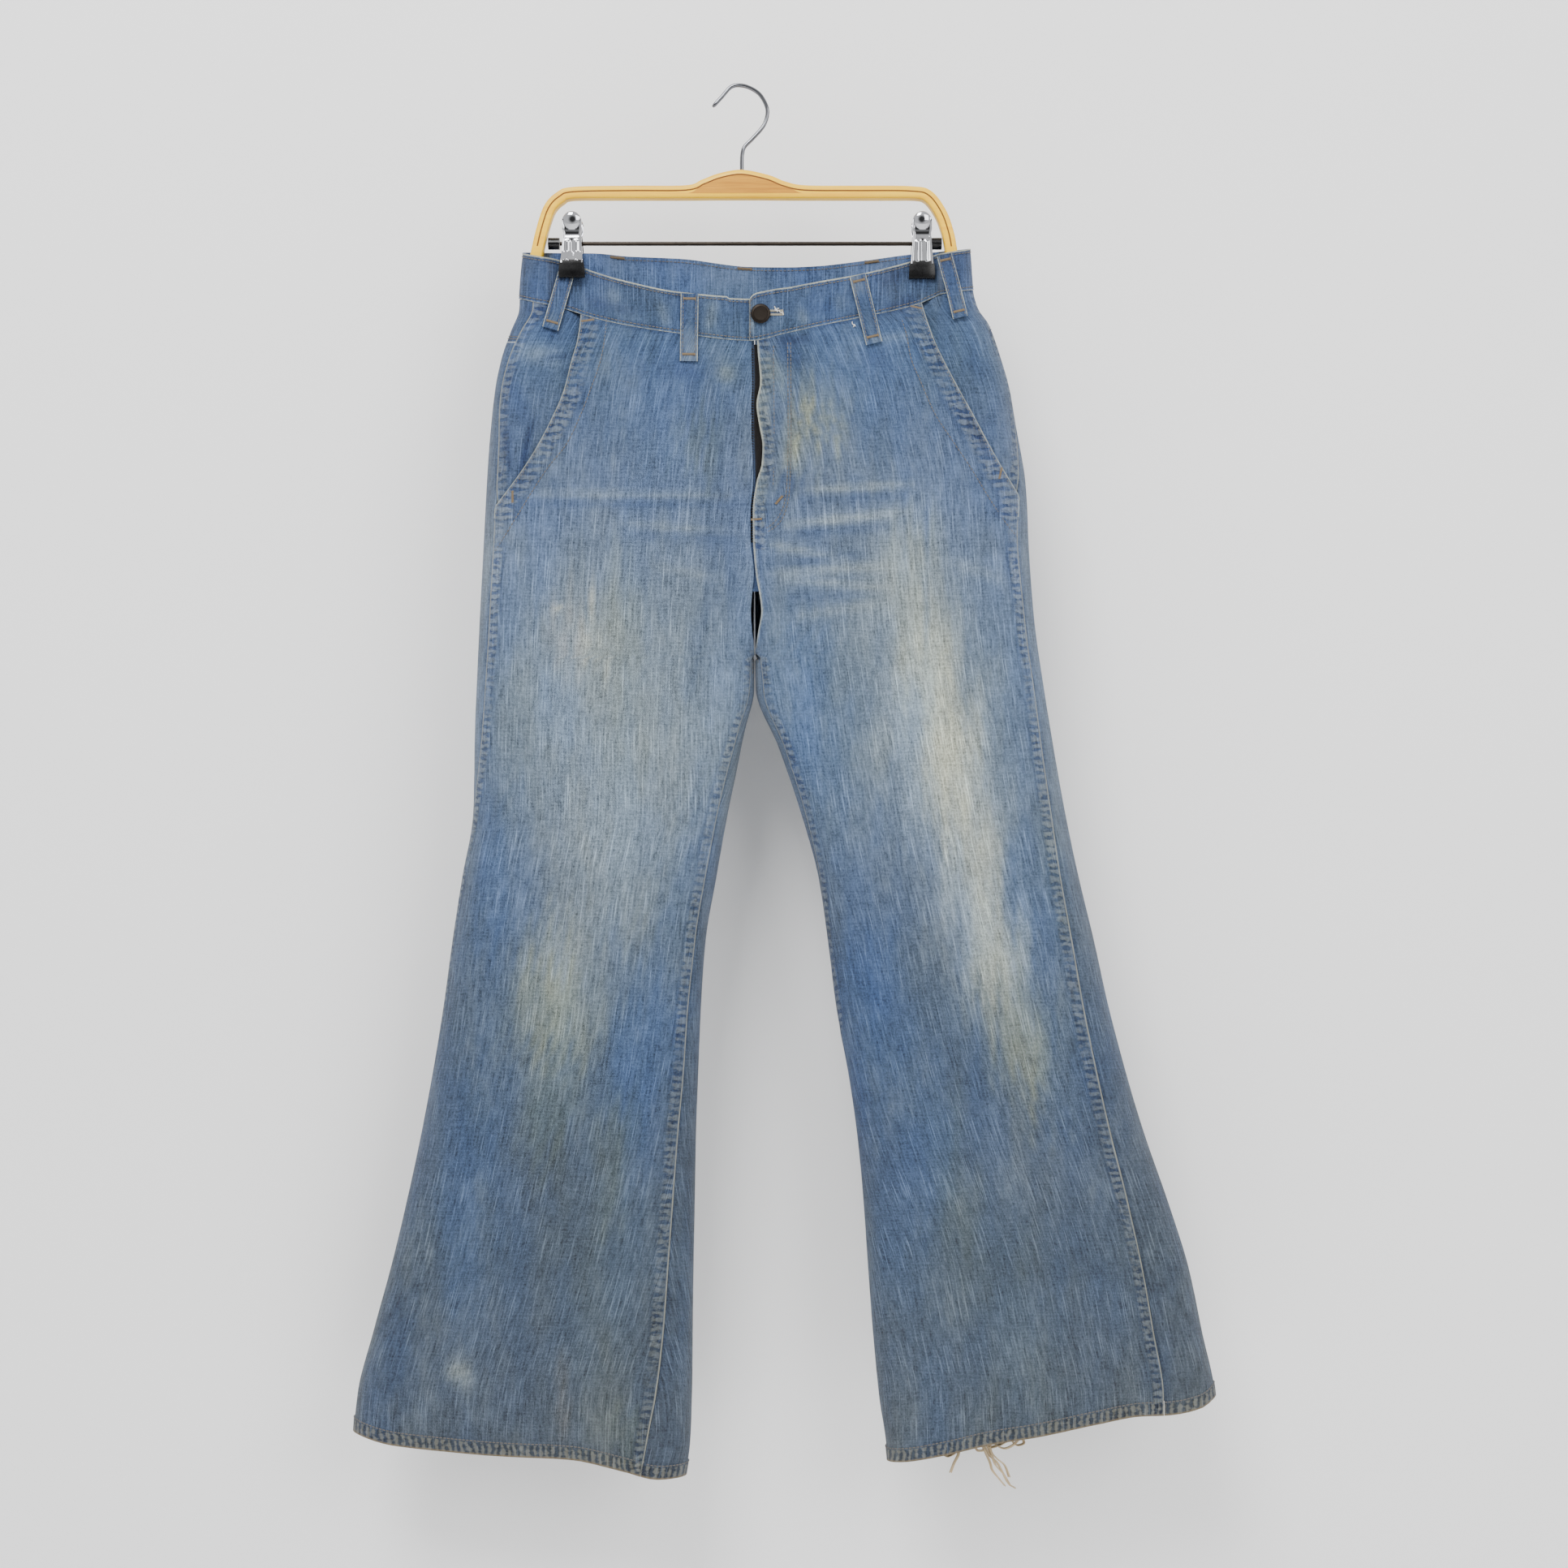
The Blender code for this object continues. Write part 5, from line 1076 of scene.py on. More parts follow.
@dataclass(frozen=True)
class Denim:
    """Washed slub denim, with worn seams and hems."""

    name: str
    slub: float = 0.55
    grain: float = 0.35
    rails: float = 0.72
    worn: float = 0.8
    faded: float = 0.14
    mottle: float = 0.42

    def build(self) -> bpy.types.Material:
        """Wire the finish and return its material."""
        n = Nodes(bpy.data.materials.new(self.name))
        uv = n.put("UVMap", uv_map="cut").outputs[0]
        base, slubs = self.weave(n, uv)
        ground = Ground(uv, n.noise(n.stretch(uv, (40, 60, 1)), 1.0, 2.0),
                        n.noise(n.stretch(uv, (150, 260, 1), math.radians(12)), 1.0, 2.0, 0.6),
                        n.times(n.noise(uv, 420.0, 3.0, 0.7), 2.0))
        base, seam_pucker = self.seams(n, ground, base)
        base, hem_pucker = self.hem(n, ground, self.edges(n, ground, base))
        twill = n.put("TexWave", {"Vector": n.stretch(uv, (1, 1, 1), math.radians(28)), "Scale": 300.0,
                                  "Distortion": 1.0, "Detail": 1.0}, bands_direction="X").outputs[1]
        height = n.plus(n.times(twill, 0.35), slubs, seam_pucker, hem_pucker)
        return n.finish(Base_Color=base, Roughness=0.92, Specular_IOR_Level=0.2, Sheen_Weight=0.12,
                        Sheen_Roughness=0.5, Normal=n.bump(height, 0.0006, 1.0))

    def weave(self, n: Nodes, uv: object) -> tuple[object, object]:
        """Wire the washed cloth with its slubs, specks and clouds.

        Args:
            n: The material's nodes.
            uv: The cut's coordinates in metres.

        Returns:
            The colour, and the height of the slubs.
        """
        place = n.put("TexCoord").outputs["Object"]
        long_slub = n.noise(n.stretch(uv, (520, 20, 1)), 1.0, 3.0, 0.65)
        broad_slub = n.noise(n.stretch(uv, (130, 9, 1)), 1.0, 2.0, 0.6)
        short_slub = n.noise(n.stretch(uv, (520, 70, 1)), 1.0, 2.0, 0.6)
        weft = n.noise(n.stretch(uv, (60, 640, 1)), 1.0, 2.0, 0.5)
        grain = n.noise(n.stretch(uv, (620, 520, 1), 0.4), 1.0, 3.0, 0.75)
        cloud = n.noise(n.stretch(place, (30, 30, 13)), 1.0, 4.0, 0.6)
        bright = n.step(n.noise(n.stretch(uv, (900, 20, 1)), 1.0, 2.0, 0.55), 0.57, 0.70)
        streaks = n.plus(n.swing(long_slub, self.slub * 1.6), n.swing(short_slub, self.slub * 2.4),
                         n.swing(broad_slub, self.slub * 0.5), n.times(bright, self.slub * 1.5))
        speck = n.plus(n.swing(grain, self.grain * 5.2), n.swing(weft, 0.7))
        factor = n.plus(streaks, speck, n.plus(n.swing(cloud, self.mottle), 0.86))
        factor = n.maths("MAXIMUM", factor, 0.3)
        wash = n.mark("wash", "Color")
        base = n.put("VectorMath", {0: wash, "Scale": factor}, operation="SCALE").outputs[0]
        faded = n.step(n.plus(cloud, n.times(streaks, 0.25)), 0.45, 0.85)
        base = n.mix(n.times(faded, self.faded), base, colour(132, 142, 146))
        hue = n.step(n.noise(n.stretch(place, (24, 24, 7)), 1.0, 3.0, 0.6), 0.3, 0.7)
        base = n.dyed(base, n.mix(hue, (0.91, 0.98, 1.09, 1.0), (1.06, 1.02, 0.92, 1.0)))
        return base, n.plus(n.times(short_slub, 0.8), n.times(long_slub, 0.5))

    def seams(self, n: Nodes, ground: Ground, base: object) -> tuple[object, object]:
        """Wire the dark and pale ticks, the painted shade in the gutter and the ridge along the seams.

        Args:
            n: The material's nodes.
            ground: The shared coordinates and noises.
            base: The colour so far.

        Returns:
            The colour, and the height of the puckers.
        """
        rail = n.mark("rail")
        down = n.put("SeparateXYZ", {0: ground.uv}).outputs[1]
        run = n.plus(n.times(down, 2 * math.pi / TICK_LENGTH), n.times(ground.wander, 9.0))
        tick = n.step(n.plus(n.times(n.maths("SINE", run), 0.11), ground.blot), 0.36, 0.60)
        patchy = self.patchy(n, ground.uv)
        zone = n.times(n.step(rail, 0.8, 2.2), n.rest(n.step(rail, 7.5, 11.5)))
        zone = n.times(zone, n.times(n.plus(patchy, 0.5), self.rails), True)
        deep = n.dyed(base, (0.44, 0.49, 0.62))
        base = n.mix(zone, base, n.mix(tick, deep, n.mix(0.13, base, colour(164, 166, 152))))
        # Painted shade: a dark line 9 to 13 mm from the seam, where its raised allowance steps down
        gutter = n.times(n.step(rail, 9.0, 10.5), n.rest(n.step(rail, 11.5, 13.0)))
        base = n.mix(n.times(gutter, n.times(patchy, 0.5)), base, deep)
        ridge = n.rest(n.step(rail, 0.5, 1.5))
        ridge = n.times(ridge, n.plus(n.times(ground.wander, 0.5), 0.32), True)
        return n.mix(ridge, base, colour(150, 150, 136)), n.times(tick, n.times(zone, 1.6))

    @staticmethod
    def patchy(n: Nodes, uv: object) -> object:
        """Return how strong the wear is from place to place."""
        return n.step(n.noise(n.stretch(uv, (25, 30, 1)), 1.0, 2.0), 0.3, 0.65)

    def edges(self, n: Nodes, ground: Ground, base: object) -> object:
        """Wire the pale worn line on each folded edge and the painted shade beside it.

        Args:
            n: The material's nodes.
            ground: The shared coordinates and noises.
            base: The colour so far.

        Returns:
            The colour.
        """
        brim = n.mark("brim")
        edge = n.rest(n.step(n.plus(brim, ground.fray), 1.4, 2.9))
        edge = n.times(edge, n.plus(ground.wander, 0.2), True)
        base = n.mix(n.times(edge, self.worn), base, colour(166, 168, 154))
        # Painted shade: a dark band a few millimetres in from each folded edge, under the band's seam and
        # beside the pocket, fly, loop and band edges
        under = n.times(n.step(brim, 2.2, 3.4), n.rest(n.step(brim, 4.2, 6.5)))
        under = n.times(under, n.times(self.patchy(n, ground.uv), 0.55))
        return n.mix(under, base, n.dyed(base, (0.42, 0.48, 0.62)))

    @staticmethod
    def hem(n: Nodes, ground: Ground, base: object) -> tuple[object, object]:
        """Wire the roped hem and its tan, worn edge.

        Args:
            n: The material's nodes.
            ground: The shared coordinates and noises.
            base: The colour so far.

        Returns:
            The colour, and the height of the roping.
        """
        hem = n.mark("hem")
        over = n.put("SeparateXYZ", {0: ground.uv}).outputs[0]
        rope = n.maths("SINE", n.plus(n.times(over, 2 * math.pi / ROPE_LENGTH),
                                      n.plus(n.times(hem, 0.1), n.times(ground.wander, 9.0))))
        zone = n.times(n.rest(n.step(hem, 10.0, 11.5)), n.step(hem, -1.0, 0.8))
        tick = n.step(n.plus(n.times(rope, 0.16), ground.blot), 0.38, 0.66)
        low = n.dyed(base, (0.5, 0.5, 0.52))
        high = n.mix(0.4, base, colour(132, 128, 108))
        base = n.mix(n.times(zone, 0.85), base, n.mix(tick, low, high))
        tan = n.rest(n.step(n.plus(hem, ground.fray), 1.4, 3.4))
        base = n.mix(n.times(tan, 0.85), base, colour(116, 102, 78))
        return base, n.times(n.step(rope, -1.0, 1.0), n.times(zone, 1.6))


@dataclass(frozen=True)
class Thread:
    """Spun sewing thread."""

    name: str
    tone: tuple[float, float, float]

    def build(self) -> bpy.types.Material:
        """Wire the finish and return its material."""
        n = Nodes(bpy.data.materials.new(self.name))
        place = n.put("TexCoord").outputs["Object"]
        fibre = n.noise(place, 1800.0, 2.0, 0.6)
        fade = n.noise(place, 60.0, 3.0, 0.6)
        dark = colour(*(0.72 * value for value in self.tone))
        light = colour(*(min(1.2 * value, 255) for value in self.tone))
        base = n.mix(n.plus(n.times(fibre, 0.5), n.times(fade, 0.5)), dark, light)
        return n.finish(Base_Color=base, Roughness=0.8, Normal=n.bump(fibre, 0.0002, 0.6))


@dataclass(frozen=True)
class Metal:
    """Plated or blackened metal."""

    name: str
    tone: tuple[float, float, float]
    rough: float
    wear: float = 0.1

    def build(self) -> bpy.types.Material:
        """Wire the finish and return its material."""
        n = Nodes(bpy.data.materials.new(self.name))
        place = n.put("TexCoord").outputs["Object"]
        scuff = n.noise(place, 260.0, 4.0, 0.65)
        cloud = n.noise(place, 45.0, 3.0, 0.6)
        dark = colour(*(0.75 * value for value in self.tone))
        base = n.mix(cloud, dark, colour(*self.tone))
        rough = n.maths("ADD", n.times(scuff, self.wear), self.rough - self.wear / 2, True)
        return n.finish(Base_Color=base, Metallic=1.0, Roughness=rough, Normal=n.bump(scuff, 0.00008, 0.35))


@dataclass(frozen=True)
class Wood:
    """Varnished bent wood, with its grain along a UV's length."""

    name: str
    light: tuple[float, float, float]
    dark: tuple[float, float, float]

    def build(self) -> bpy.types.Material:
        """Wire the finish and return its material."""
        n = Nodes(bpy.data.materials.new(self.name))
        place = n.put("TexCoord").outputs["Object"]
        run = n.stretch(place, (14, 260, 260))
        grain = n.noise(run, 1.0, 4.0, 0.65)
        pores = n.noise(n.stretch(place, (60, 900, 900)), 1.0, 2.0, 0.6)
        share = n.plus(n.times(n.step(grain, 0.3, 0.75), 0.7), n.times(pores, 0.3))
        base = n.mix(share, colour(*self.light), colour(*self.dark))
        rough = n.plus(n.times(pores, 0.2), 0.3)
        return n.finish(Base_Color=base, Roughness=rough, Specular_IOR_Level=0.3, Coat_Weight=0.08,
                        Coat_Roughness=0.2, Normal=n.bump(pores, 0.0001, 0.4))


@dataclass(frozen=True)
class Rubber:
    """Smooth moulded rubber or plastic."""

    name: str
    tone: tuple[float, float, float]
    rough: float

    def build(self) -> bpy.types.Material:
        """Wire the finish and return its material."""
        n = Nodes(bpy.data.materials.new(self.name))
        place = n.put("TexCoord").outputs["Object"]
        dust = n.noise(place, 320.0, 3.0, 0.6)
        light = colour(*(min(value * 1.8 + 3, 255) for value in self.tone))
        base = n.mix(n.times(dust, 0.5), colour(*self.tone), light)
        rough = n.plus(n.times(dust, 0.15), self.rough)
        return n.finish(Base_Color=base, Roughness=rough, Specular_IOR_Level=0.32,
                        Normal=n.bump(dust, 0.0001, 0.3))


@dataclass
class Finishes:
    """Every finish of the garment and its hanger, made once."""

    made: dict[str, bpy.types.Material] = field(default_factory=dict)

    def __post_init__(self) -> None:
        """Build them all."""
        kinds = (
            Denim("denim_front"), Denim("denim_back"), Denim("denim_band", slub=0.55, worn=1.3, mottle=1.3),
            Denim("denim_loop", slub=0.4, worn=1.6, faded=0.6), Denim("denim_inside", slub=0.5),
            Denim("denim_shade", slub=0.3, grain=0.2, worn=0.0, faded=0.0),
            Thread("brown_thread", (96, 92, 88)), Thread("rust_thread", (112, 96, 74)),
            Thread("pale_thread", (150, 144, 128)), Thread("white_fluff", (232, 230, 224)),
            Thread("tan_thread", (186, 166, 132)),
            Metal("antique_metal", (48, 43, 39), 0.45, 0.2), Metal("chrome", (206, 207, 212), 0.07, 0.05),
            # A darker copy of the chrome for the hook, which paints its reflections darker
            Metal("shaded_chrome", (128, 129, 134), 0.10, 0.05),
            Metal("dark_steel", (62, 56, 50), 0.34, 0.1),
            Wood("pale_wood", (255, 206, 26), (242, 176, 12)),
            Wood("dark_wood", (214, 150, 34), (170, 110, 18)),
            Rubber("black_rubber", (5, 5, 6), 0.2), Rubber("groove_brown", (84, 48, 16), 0.6),
        )
        for kind in kinds:
            self.made[kind.name] = kind.build()

    def dress(self, piece: bpy.types.Object, finish: str, slot: str | None = None) -> bpy.types.Object:
        """Give a piece its finish and let it ride on the body."""
        piece.data.materials.clear()
        piece.data.materials.append(self.made[finish])
        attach(piece, "root")
        return piece


@dataclass
class Legs:
    """The panels of one half: front, back, yoke, pocket facing and patch pocket."""

    half: Half
    finishes: Finishes
    cloths: dict[str, Cloth] = field(default_factory=dict)

    def front_start(self, drop: Array, _: Array) -> Array:
        """Return the front's outer edge: the slanted pocket, then the outseam."""
        pocket = self.half.face_arc(1, POCKET.at(self.half.name, drop), drop)
        seam = self.half.outseam(drop)
        return np.maximum(seam, np.where(drop < POCKET_END, pocket, seam)) + SEAM_GAP / 2

    def back_start(self, drop: Array, _: Array) -> Array:
        """Return the outer edge of the back's pieces: the outseam."""
        return self.half.outseam(drop) - SEAM_GAP / 2

    def back_end(self, drop: Array, _: Array) -> Array:
        """Return the inner edge of the back's pieces: the centre, then the inseam."""
        return self.half.back_inner(drop) + SEAM_GAP / 2

    def top(self, arc: Array, drop: Array) -> Array:
        """Return the upper edge of the pieces that hang from the band."""
        return self.half.seam_drop(arc, drop) + SEAM_GAP / 2

    def front(self) -> bpy.types.Object:
        """Make the front panel.

        Returns:
            The piece.
        """
        half = self.half
        patch = Patch(half, self.front_start, lambda drop, _: half.front_inner(drop) - SEAM_GAP / 2,
                      self.top, half.hem_drop, rows=232, columns=44, bottom_near=HEM_ROWS)
        cloth = patch.lay()
        marks, drop = cloth.marks, cloth.drop
        pocket = drop < POCKET_END - 2
        crotch = drop < CROTCH_DROP - 6
        out = np.where(pocket, marks["start_mm"] * 0.5 + 1.2, marks["start_mm"])
        ridge = marks["end_mm"] * 0.8 if half.side > 0 else np.full(drop.shape, FAR)
        centre = ridge + 1.2 if half.side > 0 else ridge
        inn = np.where(crotch, np.where(drop < FLY_END_DROP, centre, FAR), marks["end_mm"])
        marks["rail"] = np.minimum(out, inn)
        pocket_edge = np.where(pocket, marks["start_mm"] + 0.3, FAR)
        fly_edge = np.where(crotch, ridge, FAR)
        marks["brim"] = np.minimum(np.minimum(pocket_edge, fly_edge), marks["top_mm"] + 2.9)
        rail = marks["rail"]
        swell = 0.5 * ease(rail / 1.5) * ease((12 - rail) / 3) + 0.35 * ease((1.6 - rail) / 1.4)
        swell = swell + 0.9 * ease((HEM_HEIGHT - marks["hem"]) / 1.2)
        rim = marks["brim"]
        swell = swell + 0.5 * ease((22 - rim) / 3) * (rim < 50) * (rail < 50) + 0.3 * ease((2 - rim) / 2)
        return self.sewn("front", cloth, Paint(half), "denim_front", swell)

    def back(self) -> bpy.types.Object:
        """Make the back panel.

        Returns:
            The piece.
        """
        half = self.half
        patch = Patch(half, self.back_start, self.back_end,
                      lambda arc, drop: half.yoke_drop(arc, drop) + SEAM_GAP / 2, half.hem_drop,
                      near=BACK_NEAR, rows=215, columns=58, bottom_near=HEM_ROWS)
        cloth = patch.lay()
        marks = cloth.marks
        near = np.minimum(marks["start_mm"], marks["end_mm"])
        swell = 0.9 * ease((HEM_HEIGHT - marks["hem"]) / 1.2) - 0.25 * ease((2 - near) / 2)
        marks["brim"] = np.minimum(marks["top_mm"] + 1.0, near + 3.0)
        return self.sewn("back", cloth, Paint(half, None, 0.95), "denim_back", swell)

    def yoke(self) -> bpy.types.Object:
        """Make the yoke.

        Returns:
            The piece.
        """
        half = self.half
        patch = Patch(half, self.back_start, self.back_end, self.top,
                      lambda arc, drop: half.yoke_drop(arc, drop) - SEAM_GAP / 2,
                      near=BACK_NEAR, rows=14, columns=58)
        cloth = patch.lay()
        cloth.marks["brim"] = np.minimum(cloth.marks["hem"] + 3.0, cloth.marks["end_mm"] + 1.6)
        cloth.marks.pop("hem")
        swell = 0.4 * ease((3 - cloth.marks["brim"]) / 2)
        return self.sewn("yoke", cloth, Paint(half, None, 0.92), "denim_back", swell)

    def facing(self) -> bpy.types.Object:
        """Make the denim that shows behind the slanted pocket.

        Returns:
            The piece.
        """
        half = self.half

        def edge(drop: Array) -> Array:
            """Return the pocket edge's arc."""
            return np.maximum(half.face_arc(1, POCKET.at(half.name, drop), drop),
                              half.outseam(drop) + SEAM_GAP / 2 + FACING_LEAST)

        def sink(arc: Array, drop: Array) -> Array:
            """Return how far the facing lies under the panel."""
            line = half.face_arc(1, POCKET.at(half.name, drop), drop)
            deep = FACING_SINK + FACING_TOP_SINK * ease((FACING_TOP_DROP - drop) / FACING_TOP_FADE)
            return -deep * (1 - np.clip((line - arc) / FACING_RISE, 0, 1))

        patch = Patch(half, lambda drop, _: half.outseam(drop) + SEAM_GAP / 2,
                      lambda drop, _: edge(drop) + POCKET_UNDERLAP, self.top,
                      lambda arc, _: np.full(np.shape(arc), FACING_END[half.side]),
                      near=(0.0, 0.8, 1.8, 3.5, 6.0), rows=46, columns=16)
        cloth = patch.lay(sink)
        cloth.marks["rail"] = cloth.marks["start_mm"]
        cloth.marks.pop("hem")
        return self.sewn("pocket_facing", cloth, Paint(half, 1, 0.98), "denim_inside")

    def pocket(self) -> bpy.types.Object:
        """Make the patch pocket on the back.

        Returns:
            The piece.
        """
        half = self.half
        _, centre, drop_top, width, height, point = BACK_POCKETS.values[0 if half.side < 0 else 1]
        across = np.concatenate((-0.5 + np.array((0, 0.004, 0.01, 0.02)), np.linspace(-0.46, 0.46, 40),
                                 0.5 - np.array((0.02, 0.01, 0.004, 0))))[None, :]
        along = np.concatenate(((0, 0.004, 0.01, 0.02), np.linspace(0.045, 0.96, 36),
                                (0.98, 0.99, 0.996, 1)))[:, None]
        end = height - point * np.abs(across) * 2
        drop = drop_top + end * along
        x = centre + width * (1 - 0.12 * along) * across
        arc = half.face_arc(-1, x, drop)
        lift = PANEL_WALL / 2 + POCKET_GAP + POCKET_WALL / 2
        normal = half.normal(arc, drop)
        middle = half.surface(arc, drop) + normal * lift
        cloth = Cloth(half, arc, drop, middle, normal)
        side_mm = (0.5 - np.abs(across)) * width * np.ones_like(along)
        cloth.marks["brim"] = np.minimum(np.minimum(side_mm, along * end), (1 - along) * end)
        swell = 0.5 * ease((24 - along * end) / 2) + 0.3 * ease((3 - cloth.marks["brim"]) / 2)
        return self.sewn("back_pocket", cloth, Paint(half, -1, 0.98), "denim_back",
                         swell * 0.6, POCKET_WALL)

    def sewn(self, kind: str, cloth: Cloth, paint: Paint, finish: str,
             swell: Array | float = 0.0, wall: float = PANEL_WALL) -> bpy.types.Object:
        """Make a laid-out cloth a piece, with the node it stands for and the cut it came from.

        Args:
            kind: The piece's name without its side.
            cloth: The laid-out cloth.
            paint: Its wash.
            finish: Its material.
            swell: How far the outer face stands out past the plain wall.
            wall: Its thickness in millimetres.

        Returns:
            The piece.
        """
        name = f"{kind}_{self.half.name}"
        piece = cloth_shell(name + "_cloth", cloth, wall, paint.over(cloth), swell)
        self.cloths[kind] = cloth
        self.finishes.dress(piece, finish)
        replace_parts(piece, name)
        return piece


@dataclass
class Waist:
    """The waistband with its lapped tab, the fly's underlap and the belt loops."""

    right: Half
    left: Half
    finishes: Finishes
    cloths: dict[str, Cloth] = field(default_factory=dict)

    def stations(self) -> list[tuple[Half, int, float, float]]:
        """Space out the band's columns round the waist.

        Returns:
            For each column its half, face, place and sink. A face of 0 is the side's fold.
        """
        found: list[tuple[Half, int, float, float]] = []
        for x in np.linspace(UNDERLAP_END_X, BAND_SIDE[-1], 100):
            sink = UNDERLAP_SINK * float(ease((x - UNDERLAP_START_X) / (2.0 - UNDERLAP_START_X)))
            found.append((self.right, 1, float(x), sink))
        found += [(self.right, 0, float(share), 0.0) for share in np.linspace(0, 1, 22)[1:-1]]
        found += [(self.right, -1, float(x), 0.0) for x in np.linspace(BAND_SIDE[-1], 9, 90)]
        found += [(self.left, -1, float(x), 0.0) for x in np.linspace(12, BAND_SIDE[1], 86)]
        found += [(self.left, 0, float(share), 0.0) for share in np.linspace(1, 0, 22)[1:-1]]
        xs = list(np.linspace(BAND_SIDE[1], 16, 84))
        xs += [15, 14, 13, 12, 11, 10.2, 9.4, 8.6, 8.0, 7.5, 7.1, 6.8, TAB_EDGE_X]
        found += [(self.left, 1, float(x), 0.0) for x in xs]
        return found

    @staticmethod
    def column_arc(half: Half, face: int, place: float, drop: Array) -> Array:
        """Return a column's arcs, at a place across a face or a share round the side."""
        if face:
            return half.face_arc(face, place, drop)
        start = half.face_arc(1, BAND_SIDE[half.side], drop)
        return start + (half.face_arc(-1, BAND_SIDE[half.side], drop) - start) * place

    def band(self) -> bpy.types.Object:
        """Make the waistband.

        Returns:
            The piece.
        """
        shares = np.concatenate(((0, 0.02, 0.05, 0.08), np.linspace(0.13, 0.88, 12),
                                 (0.925, 0.955, 0.98, 1.0)))
        runs, drops, middles, normals, washes = [], [], [], [], []
        run = 0.0
        for half, face, place, sink in self.stations():
            top, end = (np.full(1, guess) for guess in BAND_DROPS)
            for _ in range(SETTLE_STEPS):
                top_arc = self.column_arc(half, face, place, top)
                end_arc = self.column_arc(half, face, place, end)
                x = half.surface(top_arc, top)[..., 0]
                top = half.waist_drop("top", top_arc, x)
                end = half.waist_drop("seam", end_arc, half.surface(end_arc, end)[..., 0])
            end = end - SEAM_GAP / 2
            if half is self.left and face > 0:
                near = np.clip(TAB_CORNER - (x - TAB_EDGE_X), 0, TAB_CORNER)
                top = top - TAB_RISE * ease((45 - x) / 30)
                top = top + TAB_CORNER - np.sqrt(TAB_CORNER**2 - near**2)
            if sink > 0:
                top = top + SUNK_TOP_DROP
            drop = top + (end - top) * shares
            arc = self.column_arc(half, face, place, drop)
            middle, normal = half.surface(arc, drop), half.normal(arc, drop)
            washes.append(Paint(half, None, 0.95).over(Cloth(half, arc, drop, middle, normal)))
            middles.append(middle - normal * sink)
            normals.append(normal)
            if runs:
                run += float(np.linalg.norm(middles[-1][8] - middles[-2][8]))
            runs.append(np.full(drop.shape, run))
            drops.append(drop)
        cloth = Cloth(self.left, *(np.stack(part, 1) for part in (runs, drops, middles, normals)))
        top_mm = cloth.drop - cloth.drop[0]
        seam_mm = cloth.drop[-1] - cloth.drop
        tab_mm = cloth.arc[:, -1:] - cloth.arc
        brim = np.minimum(np.minimum(top_mm, seam_mm + 0.8), tab_mm)
        cloth.marks["brim"] = brim + 0.1
        swell = 0.35 * ease((2.2 - brim) / 2) - 0.3 * ease((4.4 - brim) / 1.2) * ease((brim - 2.2) / 1.2)
        for size, wave, sway, slow, away in ((0.35, 5.3, 2.0, 23, seam_mm), (0.3, 6.1, 2.4, 31, top_mm)):
            ripple = size * np.sin(cloth.arc / wave + sway * np.sin(cloth.arc / slow))
            swell = swell + ripple * ease((12 - away) / 10) * 0.6
        # The band's inner face is painted 1.75 times as bright: painted light on its shaded inside
        piece = cloth_shell("waistband_cloth", cloth, BAND_WALL, np.stack(washes, 1), swell, 1.75)
        self.finishes.dress(piece, "denim_band")
        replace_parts(piece, "waistband")
        self.cloths["waistband"] = cloth
        return piece

    def underlap(self) -> bpy.types.Object:
        """Make the strip behind the fly's edge, with the gape's shadow painted near black on it.

        Returns:
            The piece.
        """
        half = self.right
        x, drop = np.meshgrid(np.concatenate((np.linspace(-6, 18, 36), np.linspace(20, UNDERLAP_END_X, 5))),
                              np.linspace(*UNDERLAP_DROPS, 60))
        arc = half.face_arc(1, x, drop)
        normal = half.normal(arc, drop)
        middle = half.surface(arc, drop) - normal * (PANEL_WALL + LAP_GAP + 0.15)
        cloth = Cloth(half, arc, drop, middle, normal)
        # Painted shadow: past the right front's edge the strip fades from the underlap's blue to near black,
        # down to GAPE_END_DROP
        away = ease((x - FRONT_CENTRE.at("right", drop) - 0.8) / 2.2)[..., None]
        away = away * (1 - ease((drop - GAPE_END_DROP) / 14))[..., None]
        shade = np.array(Tone.UNDERLAP.value) * (1 - away) + np.array(Tone.GAPE_SHADOW.value) * away
        piece = cloth_shell("fly_underlap_cloth", cloth, PANEL_WALL, linear(shade))
        self.finishes.dress(piece, "denim_shade", "denim_inside")
        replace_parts(piece, "fly_underlap")
        return piece

    def loop(self, name: str, row: Sequence[float]) -> bpy.types.Object:
        """Make a belt loop.

        Args:
            name: The loop's node.
            row: Its row of sizes.

        Returns:
            The piece.
        """
        face, x_top, drop_top, x_end, drop_end, width, gap = row
        half = self.right if (x_top + x_end) / 2 < CENTRE_X else self.left
        along = np.linspace(0, 1, 40)[:, None]
        edge = np.array((0, 0.04, 0.09, 0.14, 0.2))
        across = np.concatenate((edge - 0.5, np.linspace(-0.24, 0.24, 7), 0.5 - edge[::-1]))[None, :]
        lean = (x_end - x_top) / (drop_end - drop_top)
        x = x_top + (x_end - x_top) * along + width * across
        drop = drop_top + (drop_end - drop_top) * along - lean * width * across
        depths = []
        for shift in LOOP_SAMPLES:
            arc = half.face_arc(int(face), x, drop + shift)
            depths.append(-face * half.surface(arc, drop + shift)[..., 1])
        depth = np.max(depths, axis=0)
        line = depth[:, :1] + (depth[:, -1:] - depth[:, :1]) * (across + 0.5)
        line = line + np.max(depth - line, axis=1, keepdims=True)
        lift = line + BAND_WALL / 2 + gap + LOOP_WALL / 2 + 1.2 * np.sin(math.pi * along) ** 2
        middle = np.stack((x, -face * lift, -drop), axis=-1)
        slope = (lift[:, -1] - lift[:, 0]) / width
